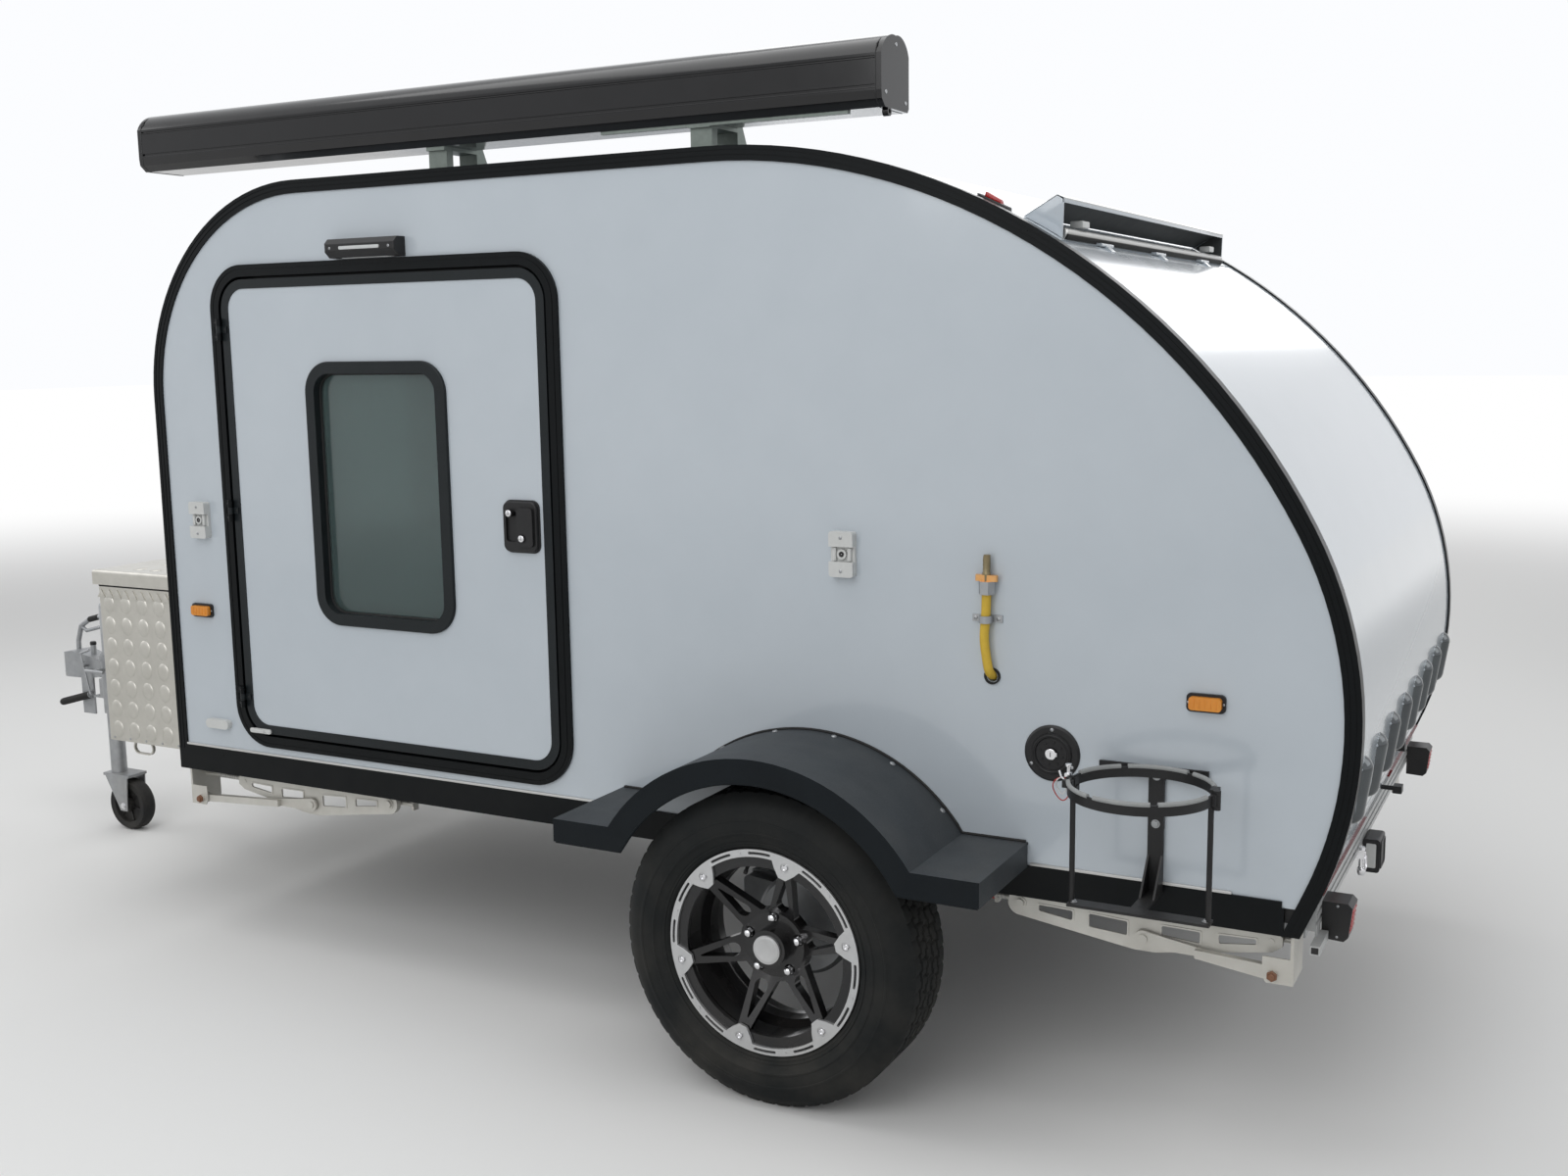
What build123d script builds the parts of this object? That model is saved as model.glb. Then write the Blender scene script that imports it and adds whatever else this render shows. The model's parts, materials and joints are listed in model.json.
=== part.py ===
from build123d import *
import math
import os

# Millimetres. +X runs forward to the coupling, +Y to the trailer's left, +Z up from the ground.
# The origin is on the ground, at the middle of the trailer's length and width.

# Overall sizes, with lengths counted from the axle
nose_reach = 3190.0          # forward to the nose of the coupling
tail_reach = 1068.0          # back to the crests of the tail's swages
body_width = 1500.0          # over the edge trims
roof_z = 1877.0              # top of the edge trims
front_reach = 1825.0         # forward to the front wall
panel_bottom_z = 482.0       # bottom edge of the side walls
axle_x = (tail_reach - nose_reach) / 2
half_width = body_width / 2
front_x = axle_x + front_reach

# Side outline of the body: upright front, round front corner, level roof, long falling tail
front_radius = 500.0
crown_reach = 222.0          # the level roof ends this far ahead of the axle
crown_radius = 1349.0
crown_turn = 62.0            # degrees that the first tail arc turns down
tail_radius = 766.0
tail_turn = 113.1            # degrees turned down where the straight tuck-under starts

# Walls and panels
wall = 30.0
skin = 30.0
trim_proud = 4.0
trim_band = 30.0
trim_groove = 1.2            # depth of the grooves along the edge trim
trim_grooves = [(8.0, 10.0), (18.0, 20.0)]   # each groove's outer and inner edge
sill_drop = 52.0             # the sill hangs this far below the side wall
floor_thick = 30.0
gap = 6.0                    # clearance round whatever opens
pin_play = 0.3               # play between a pin and its bore
wall_y = half_width - trim_proud
inner_y = wall_y - wall
sill_z = panel_bottom_z - sill_drop

# Door
door_setback = 218.0         # behind the front wall
door_rear = 590.0            # rear edge of the frame, ahead of the axle
door_low = 517.0
door_high = 1691.0
door_frame_band = 22.0
door_corner = 105.0
door_proud = 8.0
leaf_thick = 26.0
leaf_edge_band = 22.0
leaf_setback = 2.0           # the leaf's edging lies this far inside the frame's face
panel_setback = 2.0          # and the panel this far inside its edging
jamb = 6.0
stop_wide = 14.0
stop_thick = 5.0
hinge_stand = 14.0           # hinge axis outboard of the side wall
hinge_heights = (640.0, 1104.0, 1540.0)
hinge_radius = 6.0
hinge_pin = 2.5
hinge_leaf = 3.0             # thickness of a hinge's plate
hinge_plate = 20.0
knuckle_half = 7.7           # the door's knuckle, between the frame's two
knuckle_end = 26.0

# Window in the door, placed by shares of the door's length
window_rear_share = 0.304
window_front_share = 0.288
window_low = 842.0
window_high = 1462.0
window_corner = 72.0
window_band = 28.0
window_proud = 6.0
window_sleeve = 8.0          # wall of the frame where it passes through the leaf
glass_thick = 4.0

# Door handle
handle_from_edge = (68.0, 158.0)   # ahead of the frame's rear edge
handle_z = (1044.0, 1155.0)
handle_proud = 12.0
handle_corner = 16.0
paddle_proud = 19.0
lock_proud = 22.0
lock_radius = 9.0

# Hatch
hatch_turn = 32.0            # degrees down the crown arc to its hinge
hatch_low_z = 590.0
hatch_hinge_rise = 4.0       # hinge axis above the roof's skin
hatch_hinge_radius = 3.6
hatch_hinge_pin = 1.6
hatch_hinge_rows = 3
hatch_hinge_long = 80.0
swage_count = 8
swage_radius = 24.0
swage_low_z = 652.0
swage_high_z = 732.0
swage_margin = 45.0          # from the hatch's side to the first swage
knob_z = 615.0
knob_radius = 11.0
knob_proud = 16.0

# Wheels and axle
tyre_radius = 317.5
tyre_width = 195.0
wheel_stand = 235.0          # outer side of the tyre beyond the edge trim
rim_flange_radius = 208.0
bead_radius = 190.0
bead_half = 73.7
tread_half = 68.0
ring_bolt_radius = 187.0
ring_face = 85.0             # outer face of the bolted ring, from the wheel's middle
ring_thick = 6.0
ring_bolt_turn = 46.5        # degrees from forward up to the first ring bolt
ring_inner_radius = 193.0
stud_circle = 57.15
stud_count = 5
spoke_count = 6
spoke_thick = 22.0
beam = 64.0
beam_lead = 150.0            # the axle beam stands ahead of the wheel centres
stub_radius = 17.0
wheel_y = half_width + wheel_stand - tyre_width / 2

# Fender
fender_radius = 395.0
fender_half = 461.0
fender_step_z = 539.0
fender_width = 262.0
fender_skirt = 48.0
fender_thick = 5.0

# Frame under the floor
rail_y = 560.0
rail_wide = 50.0
rail_high = 80.0
frame_top_z = panel_bottom_z - floor_thick
frame_low_z = frame_top_z - rail_high
cross_high = 40.0
cross_half = 690.0           # the crossmembers' ends, from the centre plane
tube_wide = 45.0             # side tubes, two side by side at each end of the frame
tube_wall = 3.0

# Toolbox
toolbox_gap = 58.0
toolbox_long = 355.0
toolbox_wide = 1260.0
toolbox_low_z = 434.0
toolbox_high_z = 862.0
toolbox_sheet = 3.0
lid_high = 40.0
lid_over = 8.0               # the lid overhangs the box's front and sides
lid_hinge_radius = 4.0
lid_hinge_back = 8.0         # hinge axis behind the box

# Jockey wheel
jockey_setback = 450.0       # behind the nose of the coupling
jockey_y = 200.0
jockey_trail = 50.0
jockey_wheel_radius = 80.0
jockey_wheel_width = 46.0
jockey_sleeve_radius = 30.0
jockey_tube_radius = 24.0
jockey_top_z = 720.0

# Corner steadies. Runs are counted from the strut's bolt towards the middle of the trailer.
steady_bolt_z = 350.0
steady_pivot_rise = 22.0     # pivot between strut and leg, above the bolt
steady_screw_rise = 52.0     # screw, inner end of the leg and foot, above the bolt
steady_end_setback = 36.0    # the end plate stands this far beyond the bolt
rear_bolt_reach = 920.0      # behind the axle
front_bolt_setback = 53.0    # behind the front wall
# Run of the pivot, run of the leg's inner end, and the strut's height by the pivot and at the bolt
steady_rows = {"rear": (242.0, 487.0, 16.0, 28.0), "front": (360.0, 605.0, 17.0, 17.0)}
leg_face_y = 709.0
leg_sheet = 3.0
leg_deep = 13.0
leg_lip = 1.5
leg_long = 478.0             # inner bolt to foot
strut_y = (717.0, 731.0)
strut_eye_y = (713.0, 719.0)
strut_eye_radius = 16.0
strut_eye_long = 100.0
steady_pin = 6.0
screw_y = 686.0
screw_radius = 6.0


def at(reach):
    """X of a point that lies this far ahead of the axle."""
    return axle_x + reach


def span(low, high):
    """Middle and length of a stretch."""
    return (low + high) / 2, high - low


def inward(stretch, amount):
    """A stretch made shorter by amount at both ends."""
    return stretch[0] + amount, stretch[1] - amount


def about(middle, half):
    """The stretch that reaches half to either side of a middle."""
    return middle - half, middle + half


def block(x, y, z, mode=Mode.ADD):
    """Add or cut a box that fills three (low, high) stretches."""
    (cx, lx), (cy, ly), (cz, lz) = span(*x), span(*y), span(*z)
    with Locations((cx, cy, cz)):
        Box(lx, ly, lz, mode=mode)


def rod(start, end, radius, mode=Mode.ADD):
    """Add or cut a round bar between two points."""
    line = Vector(*end) - Vector(*start)
    with BuildSketch(Plane(origin=start, z_dir=line)) as face:
        Circle(radius)
    extrude(face.sketch, amount=line.length, mode=mode)


def side_shape(y, corners, radius=0.0):
    """Sketch in an upright plane at y of a closed outline of (x, z) corners, rounded by any radius given."""
    with BuildSketch(Plane.XZ.offset(-y)) as shape:
        with BuildLine():
            Polyline(*corners, close=True)
        make_face()
        if radius:
            fillet(shape.vertices(), radius)
    return shape.sketch


def side_disc(y, place, radius):
    """Sketch of a disc in an upright plane at y, centred on (x, z)."""
    with BuildSketch(Plane.XZ.offset(-y)) as disc:
        with Locations(place):
            Circle(radius)
    return disc.sketch


def cross_plane(x, y, z):
    """Plane square to the trailer's length, with its own X along Y and its own Y upright."""
    return Plane(origin=(x, y, z), x_dir=(0, 1, 0), z_dir=(1, 0, 0))


def level_shape(z, corners):
    """Sketch in a level plane at z of a closed outline of (x, y) corners."""
    with BuildSketch(Plane.XY.offset(z)) as shape:
        with BuildLine():
            Polyline(*corners, close=True)
        make_face()
    return shape.sketch


def mirrored(part):
    """The same piece on the other side of the centre plane."""
    with BuildPart() as other:
        mirror(part, about=Plane.XZ)
    return other.part


def turned_profile(corners):
    """Solid of revolution about the Y axis, from (radius, y) corners."""
    with BuildPart() as solid:
        with BuildSketch(Plane.XY):
            with BuildLine():
                Polyline(*corners, close=True)
            make_face()
        revolve(axis=Axis.Y)
    return solid.part


def placed(part, x, y, z, turn=0.0):
    """A copy of a piece moved to a point, turned about its own upright axis."""
    return Pos(x, y, z) * Rot(0, 0, turn) * part


def arc_point(centre, radius, turn):
    """Point on an arc of the tail, where turn is counted from the top."""
    a = math.radians(turn)
    return centre[0] - radius * math.sin(a), centre[1] + radius * math.cos(a)


crown_centre = (at(crown_reach), roof_z - crown_radius)
tail_centre = arc_point(crown_centre, crown_radius - tail_radius, crown_turn)
front_centre = (front_x - front_radius, roof_z - front_radius)


def outline_points(inset, low_z):
    """Corners of the side outline, drawn in by inset and cut level at low_z."""
    crown_end = arc_point(crown_centre, crown_radius - inset, crown_turn)
    tail_end = arc_point(tail_centre, tail_radius - inset, tail_turn)
    slope = math.radians(tail_turn)
    run = (tail_end[1] - low_z) / math.sin(slope)
    tail_foot = (tail_end[0] - run * math.cos(slope), low_z)
    return crown_end, tail_end, tail_foot


def tail_skin_x(z, inset):
    """X of the tail's outline at height z, below the crown arc and drawn in by inset."""
    tail_end = outline_points(inset, z)[1]
    if z < tail_end[1]:
        return outline_points(inset, z)[2][0]
    rise = z - tail_centre[1]
    radius = tail_radius - inset
    return tail_centre[0] - math.sqrt(radius * radius - rise * rise)


def side_outline(y, inset=0.0, low_z=sill_z):
    """Sketch of the body's side outline in an upright plane at y."""
    crown_end, tail_end, tail_foot = outline_points(inset, low_z)
    with BuildSketch(Plane.XZ.offset(-y)) as outline:
        with BuildLine():
            front = Line((front_x - inset, low_z), (front_x - inset, front_centre[1]))
            corner = CenterArc(front_centre, front_radius - inset, 0, 90)
            roof = Line(corner @ 1, (crown_centre[0], roof_z - inset))
            CenterArc(crown_centre, crown_radius - inset, 90, crown_turn)
            tail = CenterArc(tail_centre, tail_radius - inset, 90 + crown_turn, tail_turn - crown_turn)
            Line(tail @ 1, tail_foot)
            Line(tail_foot, front @ 0)
        make_face()
    return outline.sketch


def band(y, width, outer_inset, inner_inset, low_z):
    """Solid strip that follows the body's outline, from y inwards by width."""
    with BuildPart() as strip:
        extrude(side_outline(y, outer_inset, low_z), amount=width)
        extrude(side_outline(y, inner_inset, low_z), amount=width, mode=Mode.SUBTRACT)
    return strip.part


def wedge_below(turn):
    """Block of space on the tail side of the line square to the crown arc at this turn."""
    reach = 3000.0
    margin = 100.0
    top = arc_point(crown_centre, crown_radius + 2 * margin, turn)
    foot = arc_point(crown_centre, 3 * margin, turn)
    low_z = -5 * margin
    corners = [top, (top[0] - reach, top[1]), (top[0] - reach, low_z), (foot[0], low_z), foot]
    with BuildPart() as wedge:
        extrude(side_shape(half_width + margin, corners), amount=body_width + 2 * margin)
    return wedge.part


def rounded_hole(y, x_span, z_span, radius, depth):
    """Upright block with rounded corners, seen from the side, from y inwards by depth."""
    (cx, lx), (cz, lz) = span(*x_span), span(*z_span)
    with BuildPart() as hole:
        with BuildSketch(Plane.XZ.offset(-y)):
            with Locations((cx, cz)):
                RectangleRounded(lx, lz, radius)
        extrude(amount=depth)
    return hole.part


def door_block(y, x_span, z_span, radius, depth):
    """Upright block with round upper corners and square lower ones."""
    (cx, lx), (cz, lz) = span(*x_span), span(*z_span)
    with BuildPart() as leaf:
        with BuildSketch(Plane.XZ.offset(-y)) as face:
            with Locations((cx, cz)):
                Rectangle(lx, lz)
            fillet(face.vertices().group_by(Axis.Z)[-1], radius)
        extrude(amount=depth)
    return leaf.part


# Side walls
door_x = (at(door_rear), at(front_reach - door_setback))
door_z = (door_low, door_high)
door_long = door_x[1] - door_x[0]
filler_place = (at(-507), 719.0)
filler_radius = 54.0         # over the flange
filler_body = 46.0
hose_exit = (at(-387), 856.0)
grommet_hole = 10.0
wall_hole = door_block(wall_y + gap, inward(door_x, door_frame_band), inward(door_z, door_frame_band),
                       door_corner - door_frame_band, wall + 2 * gap)
with BuildPart() as side_wall:
    extrude(side_outline(wall_y, trim_proud, panel_bottom_z), amount=wall)
    add(wall_hole, mode=Mode.SUBTRACT)
with BuildPart() as side_wall_left:
    add(side_wall.part)
    extrude(side_disc(wall_y, filler_place, filler_body), amount=wall, mode=Mode.SUBTRACT)
    extrude(side_disc(wall_y, hose_exit, grommet_hole), amount=wall, mode=Mode.SUBTRACT)

# Door frame: a flange on the wall, a jamb that lines the opening, a stop and the fixed hinge knuckles
opening = door_frame_band + jamb
leaf_x = inward(door_x, opening + gap)
leaf_z = inward(door_z, opening + gap)
leaf_corner = door_corner - opening - gap
leaf_face = wall_y + door_proud - leaf_setback
hinge_place = (leaf_x[1] + gap / 2, wall_y + hinge_stand)
flange_mark = door_block(wall_y + door_proud + 1, inward(door_x, door_frame_band / 2 - 1),
                         inward(door_z, door_frame_band / 2 - 1), door_corner - door_frame_band / 2 + 1, 2)
flange_core = door_block(wall_y + door_proud + 2, inward(door_x, door_frame_band / 2 + 1),
                         inward(door_z, door_frame_band / 2 + 1), door_corner - door_frame_band / 2 - 1, 4)
with BuildPart() as flange_groove:
    add(flange_mark)
    add(flange_core, mode=Mode.SUBTRACT)
with BuildPart() as door_frame:
    add(door_block(wall_y + door_proud, door_x, door_z, door_corner, door_proud))
    add(door_block(wall_y, inward(door_x, door_frame_band), inward(door_z, door_frame_band),
                   door_corner - door_frame_band, wall))
    add(door_block(wall_y + hinge_stand, inward(door_x, opening), inward(door_z, opening),
                   door_corner - opening, wall + 2 * hinge_stand), mode=Mode.SUBTRACT)
    add(flange_groove.part, mode=Mode.SUBTRACT)
with BuildPart() as door_stop:
    add(door_block(wall_y - wall + stop_thick, inward(door_x, opening), inward(door_z, opening),
                   door_corner - opening, stop_thick))
    add(door_block(wall_y, inward(door_x, opening + stop_wide), inward(door_z, opening + stop_wide),
                   door_corner - opening - stop_wide, 2 * wall), mode=Mode.SUBTRACT)


def knuckle(place, z_span, direction, face_y):
    """Hinge barrel about an upright axis at (x, y), with a plate that runs along X to its leaf."""
    x, y = place
    x_far = x + direction * hinge_plate
    with BuildPart() as barrel:
        rod((x, y, z_span[0]), (x, y, z_span[1]), hinge_radius)
        block(sorted((x, x_far)), (face_y, face_y + hinge_leaf), z_span)
    return barrel.part


with BuildPart() as frame_knuckles:
    for z in hinge_heights:
        outer = about(z, knuckle_end)
        inner = about(z, knuckle_half + pin_play)
        for ends in ((outer[0], inner[0]), (inner[1], outer[1])):
            add(knuckle(hinge_place, ends, 1, wall_y + door_proud))
        rod((*hinge_place, z - knuckle_end), (*hinge_place, z + knuckle_end), hinge_pin)
with BuildPart() as door_frames:
    add(door_frame.part)
    add(door_stop.part)
    add(frame_knuckles.part)
    mirror(about=Plane.XZ)

# Door leaf, its black edging, window frame, glass and handle
window_x = (door_x[0] + window_rear_share * door_long, door_x[1] - window_front_share * door_long)
window_z = (window_low, window_high)
sleeve_x = inward(window_x, window_band - window_sleeve)
sleeve_z = inward(window_z, window_band - window_sleeve)
sleeve_corner = window_corner - window_band + window_sleeve
pane_x = inward(window_x, window_band)
pane_z = inward(window_z, window_band)
pane_corner = window_corner - window_band
with BuildPart() as door_leaf:
    add(door_block(leaf_face - panel_setback, inward(leaf_x, leaf_edge_band), inward(leaf_z, leaf_edge_band),
                   leaf_corner - leaf_edge_band, leaf_thick - 2 * panel_setback))
    add(rounded_hole(leaf_face + gap, sleeve_x, sleeve_z, sleeve_corner, 2 * leaf_thick), mode=Mode.SUBTRACT)
with BuildPart() as door_edging:
    add(door_block(leaf_face, leaf_x, leaf_z, leaf_corner, leaf_thick))
    add(door_block(leaf_face + gap, inward(leaf_x, leaf_edge_band), inward(leaf_z, leaf_edge_band),
                   leaf_corner - leaf_edge_band, leaf_thick + 2 * gap), mode=Mode.SUBTRACT)
    for z in hinge_heights:
        add(knuckle(hinge_place, about(z, knuckle_half), -1, leaf_face))
        rod((*hinge_place, z - knuckle_end), (*hinge_place, z + knuckle_end), hinge_pin + pin_play,
            mode=Mode.SUBTRACT)
with BuildPart() as window_rim:
    add(rounded_hole(leaf_face + window_proud, window_x, window_z, window_corner,
                     window_proud + panel_setback))
    fillet(window_rim.faces().sort_by(Axis.Y)[-1].edges(), window_proud / 2)
with BuildPart() as window_frame:
    add(window_rim.part)
    add(rounded_hole(leaf_face, sleeve_x, sleeve_z, sleeve_corner, leaf_thick))
    add(rounded_hole(leaf_face + 2 * window_proud, pane_x, pane_z, pane_corner, 2 * leaf_thick),
        mode=Mode.SUBTRACT)
with BuildPart() as door_trims:
    add(door_edging.part)
    add(window_frame.part)
with BuildPart() as door_glass:
    add(rounded_hole(leaf_face - leaf_thick + 2 * glass_thick, pane_x, pane_z, pane_corner, glass_thick))
handle_x = (door_x[0] + handle_from_edge[0], door_x[0] + handle_from_edge[1])
handle_back = leaf_face - panel_setback
paddle_x = (handle_x[0] + 6, handle_x[0] + 48)
with BuildPart() as door_handle:
    add(rounded_hole(handle_back + handle_proud, handle_x, handle_z, handle_corner, handle_proud))
    fillet(door_handle.faces().sort_by(Axis.Y)[-1].edges(), 3)
    add(rounded_hole(handle_back + handle_proud, (handle_x[0] + 50, handle_x[1] - 8), inward(handle_z, 22),
                     handle_corner / 2, handle_proud / 2), mode=Mode.SUBTRACT)
    add(rounded_hole(handle_back + paddle_proud, paddle_x, inward(handle_z, 13), handle_corner / 2,
                     handle_proud))
    for x, z in ((handle_x[0] + 67, handle_z[1] - 25), (handle_x[0] + 35, handle_z[0] + 31)):
        rod((x, handle_back, z), (x, handle_back + lock_proud, z), lock_radius)

# Roof, front wall, hatch and the fixed apron under it
shell_wide = 2 * inner_y
roof_shell = band(inner_y, shell_wide, trim_proud, trim_proud + skin, panel_bottom_z)
hatch_skin_radius = crown_radius - trim_proud
hatch_gap_turn = math.degrees(gap / crown_radius)
hatch_axis = arc_point(crown_centre, hatch_skin_radius + hatch_hinge_rise, hatch_turn + hatch_gap_turn / 2)


def hatch_hinges(fixed):
    """Hinge pieces on the hatch's axis: the roof's end knuckles and pin, or the hatch's middle knuckles."""
    slope = math.radians(hatch_turn + hatch_gap_turn / 2)
    side = 1 if fixed else -1
    x0, z0 = hatch_axis

    def by_hinge(along, up):
        return (x0 + side * along * math.cos(slope) - up * math.sin(slope),
                z0 + side * along * math.sin(slope) + up * math.cos(slope))

    skin_up = -hatch_hinge_rise - pin_play
    corners = [by_hinge(0, 1.5), by_hinge(hinge_plate, skin_up + 2), by_hinge(hinge_plate, skin_up),
               by_hinge(gap / 2 + 0.5, skin_up), by_hinge(0, -2)]
    third = hatch_hinge_long / 3
    with BuildPart() as barrels:
        for i in range(hatch_hinge_rows):
            middle = (i - (hatch_hinge_rows - 1) / 2) * 2 * inner_y / (hatch_hinge_rows + 0.5)
            stretches = [(middle - hatch_hinge_long / 2, middle - third / 2 - pin_play),
                         (middle + third / 2 + pin_play, middle + hatch_hinge_long / 2)]
            for low, high in stretches if fixed else [about(middle, third / 2)]:
                rod((x0, low, z0), (x0, high, z0), hatch_hinge_radius)
                extrude(side_shape(high, corners), amount=high - low)
            pin = hatch_hinge_pin if fixed else hatch_hinge_pin + pin_play
            rod((x0, middle - hatch_hinge_long / 2, z0), (x0, middle + hatch_hinge_long / 2, z0), pin,
                mode=Mode.ADD if fixed else Mode.SUBTRACT)
    return barrels.part


with BuildPart() as roof:
    add(roof_shell)
    add(wedge_below(hatch_turn), mode=Mode.SUBTRACT)
    add(hatch_hinges(True))
hatch_shell = band(inner_y - gap, shell_wide - 2 * gap, trim_proud, trim_proud + skin, panel_bottom_z)
with BuildPart() as hatch:
    add(hatch_shell)
    add(wedge_below(hatch_turn + hatch_gap_turn), mode=Mode.INTERSECT)
    split(bisect_by=Plane.XY.offset(hatch_low_z), keep=Keep.TOP)
with BuildPart() as apron:
    add(roof_shell)
    add(wedge_below(hatch_turn), mode=Mode.INTERSECT)
    split(bisect_by=Plane.XY.offset(hatch_low_z - gap), keep=Keep.BOTTOM)

# Half-round swages across the hatch's foot, with domed ends, and the hatch's turning knob
swage_pitch = 2 * (inner_y - gap - swage_margin) / (swage_count - 1)
swage_bulge = tail_skin_x(swage_high_z, trim_proud) - at(-tail_reach)
swage_ends = [(tail_skin_x(z, trim_proud) + swage_radius - swage_bulge, z)
              for z in (swage_low_z, swage_high_z)]
with BuildPart() as swages:
    for i in range(swage_count):
        y = (i - (swage_count - 1) / 2) * swage_pitch
        (x0, z0), (x1, z1) = swage_ends
        rod((x0, y, z0), (x1, y, z1), swage_radius)
        for x, z in swage_ends:
            with Locations((x, y, z)):
                Sphere(swage_radius)
with BuildPart() as hatch_swages:
    add(swages.part)
    extrude(side_outline(half_width, trim_proud + skin / 2), amount=body_width, mode=Mode.SUBTRACT)
knob_x = tail_skin_x(knob_z, trim_proud)
with BuildPart() as hatch_panel:
    add(hatch.part)
    add(hatch_swages.part)
    add(hatch_hinges(False))
    rod((knob_x + skin / 2, 0, knob_z), (knob_x - knob_proud, 0, knob_z), knob_radius)

# Floor, and the mattress that lies on it
bulkhead_x = at(-60)
cabin_front_x = front_x - trim_proud - skin
mattress_thick = 100.0
mattress_gap = 12.0
floor_tail_x = at(-960)
with BuildPart() as floor:
    block((floor_tail_x, cabin_front_x), about(0, half_width - 3 * trim_proud),
          (frame_top_z, panel_bottom_z))
with BuildPart() as mattress:
    block((bulkhead_x + 2 * mattress_gap, cabin_front_x - mattress_gap), about(0, inner_y - mattress_gap),
          (panel_bottom_z + pin_play, panel_bottom_z + mattress_thick))

# Bulkhead between cabin and galley, with the galley's counter, shelf and cheeks
galley_deep = 430.0
counter_z = 880.0
board = 18.0
shelf_z = 1330.0
bulkhead_top_z = 1790.0
with BuildPart() as bulkhead:
    block((bulkhead_x, bulkhead_x + board), about(0, inner_y), (panel_bottom_z, bulkhead_top_z))
with BuildPart() as galley:
    block((bulkhead_x - galley_deep, bulkhead_x), about(0, inner_y), (counter_z, counter_z + 25))
    block((bulkhead_x - 250, bulkhead_x), about(0, inner_y), (shelf_z, shelf_z + board))
    for y in (-300, 300):
        block((bulkhead_x - galley_deep + 30, bulkhead_x), about(y, board / 2), (panel_bottom_z, counter_z))

# Edge trim round the outline, and the sill along the foot of each wall
sill_foot = outline_points(trim_band, sill_z)[2][0]
sill_lip = 12.0
with BuildPart() as edge_trims:
    add(band(half_width, trim_proud, 0, trim_band, sill_z))
    add(band(half_width, trim_band, 0, trim_proud, sill_z))
    for outer, inner in trim_grooves:
        add(band(half_width, trim_groove, outer, inner, sill_z), mode=Mode.SUBTRACT)
    block((sill_foot, front_x - trim_band), (wall_y, half_width),
          (panel_bottom_z, panel_bottom_z + sill_lip))
    block((sill_foot - trim_proud, front_x - trim_proud), (half_width - sill_lip, half_width),
          (sill_z, panel_bottom_z))
    mirror(about=Plane.XZ)

# Fenders
arch_centre = (axle_x, tyre_radius)


def fender_outline(inset):
    """Side outline of the fender: a step, an arch round the wheel and a step."""
    radius = fender_radius - inset
    step_z = fender_step_z - inset
    half = math.sqrt(radius ** 2 - (step_z - tyre_radius) ** 2)
    return radius, step_z, math.degrees(math.acos(half / radius))


def fender_band(y, width, outer_inset, inner_inset):
    """Strip between two fender outlines, from y inwards by width."""
    r0, z0, t0 = fender_outline(outer_inset)
    r1, z1, t1 = fender_outline(inner_inset)
    with BuildPart() as strip:
        with BuildSketch(Plane.XZ.offset(-y)):
            with BuildLine():
                upper = CenterArc(arch_centre, r0, t0, 180 - 2 * t0)
                lower = CenterArc(arch_centre, r1, t1, 180 - 2 * t1)
                Polyline(upper @ 0, (axle_x + fender_half, z0), (axle_x + fender_half, z1), lower @ 0)
                Polyline(upper @ 1, (axle_x - fender_half, z0), (axle_x - fender_half, z1), lower @ 1)
            make_face()
        extrude(amount=width)
    return strip.part


with BuildPart() as fenders:
    add(fender_band(wall_y + fender_width, fender_width, 0, fender_thick))
    add(fender_band(wall_y + fender_width, fender_thick, 0, fender_skirt))
    for x in (axle_x - fender_half, axle_x + fender_half - fender_thick):
        block((x, x + fender_thick), (half_width, wall_y + fender_width),
              (fender_step_z - fender_skirt, fender_step_z))
    mirror(about=Plane.XZ)

# Frame: side rails, crossmembers, open side tubes and the drawbar
cross_z = (frame_top_z - cross_high, frame_top_z)
rear_cross_x = (floor_tail_x + 10, floor_tail_x + 10 + cross_high)
front_cross_x = (front_x - 23 - cross_high, front_x - 23)
middle_cross_x = [about(at(reach), cross_high / 2) for reach in (-360, 420, 1216)]
tube_stretches = ((rear_cross_x[1], middle_cross_x[0][0]), (front_x - 885, front_cross_x[0]))
drawbar_root = front_x - 575
drawbar_tip = at(nose_reach - 230)
drawbar_root_y = (rail_y - 20, rail_y + 20)
drawbar_tip_y = (20.0, 75.0)
tip_plate_x = (drawbar_tip - 100, drawbar_tip + 50)
tip_plate_half = 60.0
tip_plate_thick = 6.0


def drawbar_face_y(x):
    """Y of the drawbar's outer face at x."""
    share = (x - drawbar_root) / (drawbar_tip - drawbar_root)
    return drawbar_root_y[1] + share * (drawbar_tip_y[1] - drawbar_root_y[1])


drawbar_corners = [(drawbar_root, drawbar_root_y[0]), (drawbar_tip, drawbar_tip_y[0]),
                   (drawbar_tip, drawbar_tip_y[1]), (drawbar_root, drawbar_root_y[1])]
with BuildPart() as frame_rails:
    block((rear_cross_x[0], front_cross_x[1]), about(rail_y, rail_wide / 2), (frame_low_z, frame_top_z))
    mirror(about=Plane.XZ)
with BuildPart() as drawbar_arms:
    extrude(level_shape(frame_low_z, drawbar_corners), amount=toolbox_low_z - frame_low_z)
    mirror(about=Plane.XZ)
    add(frame_rails.part, mode=Mode.SUBTRACT)
with BuildPart() as crossmembers:
    for stretch in (rear_cross_x, front_cross_x, *middle_cross_x):
        block(stretch, about(0, cross_half), cross_z)
    add(frame_rails.part, mode=Mode.SUBTRACT)
    add(drawbar_arms.part, mode=Mode.SUBTRACT)
side_tubes = []
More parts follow.
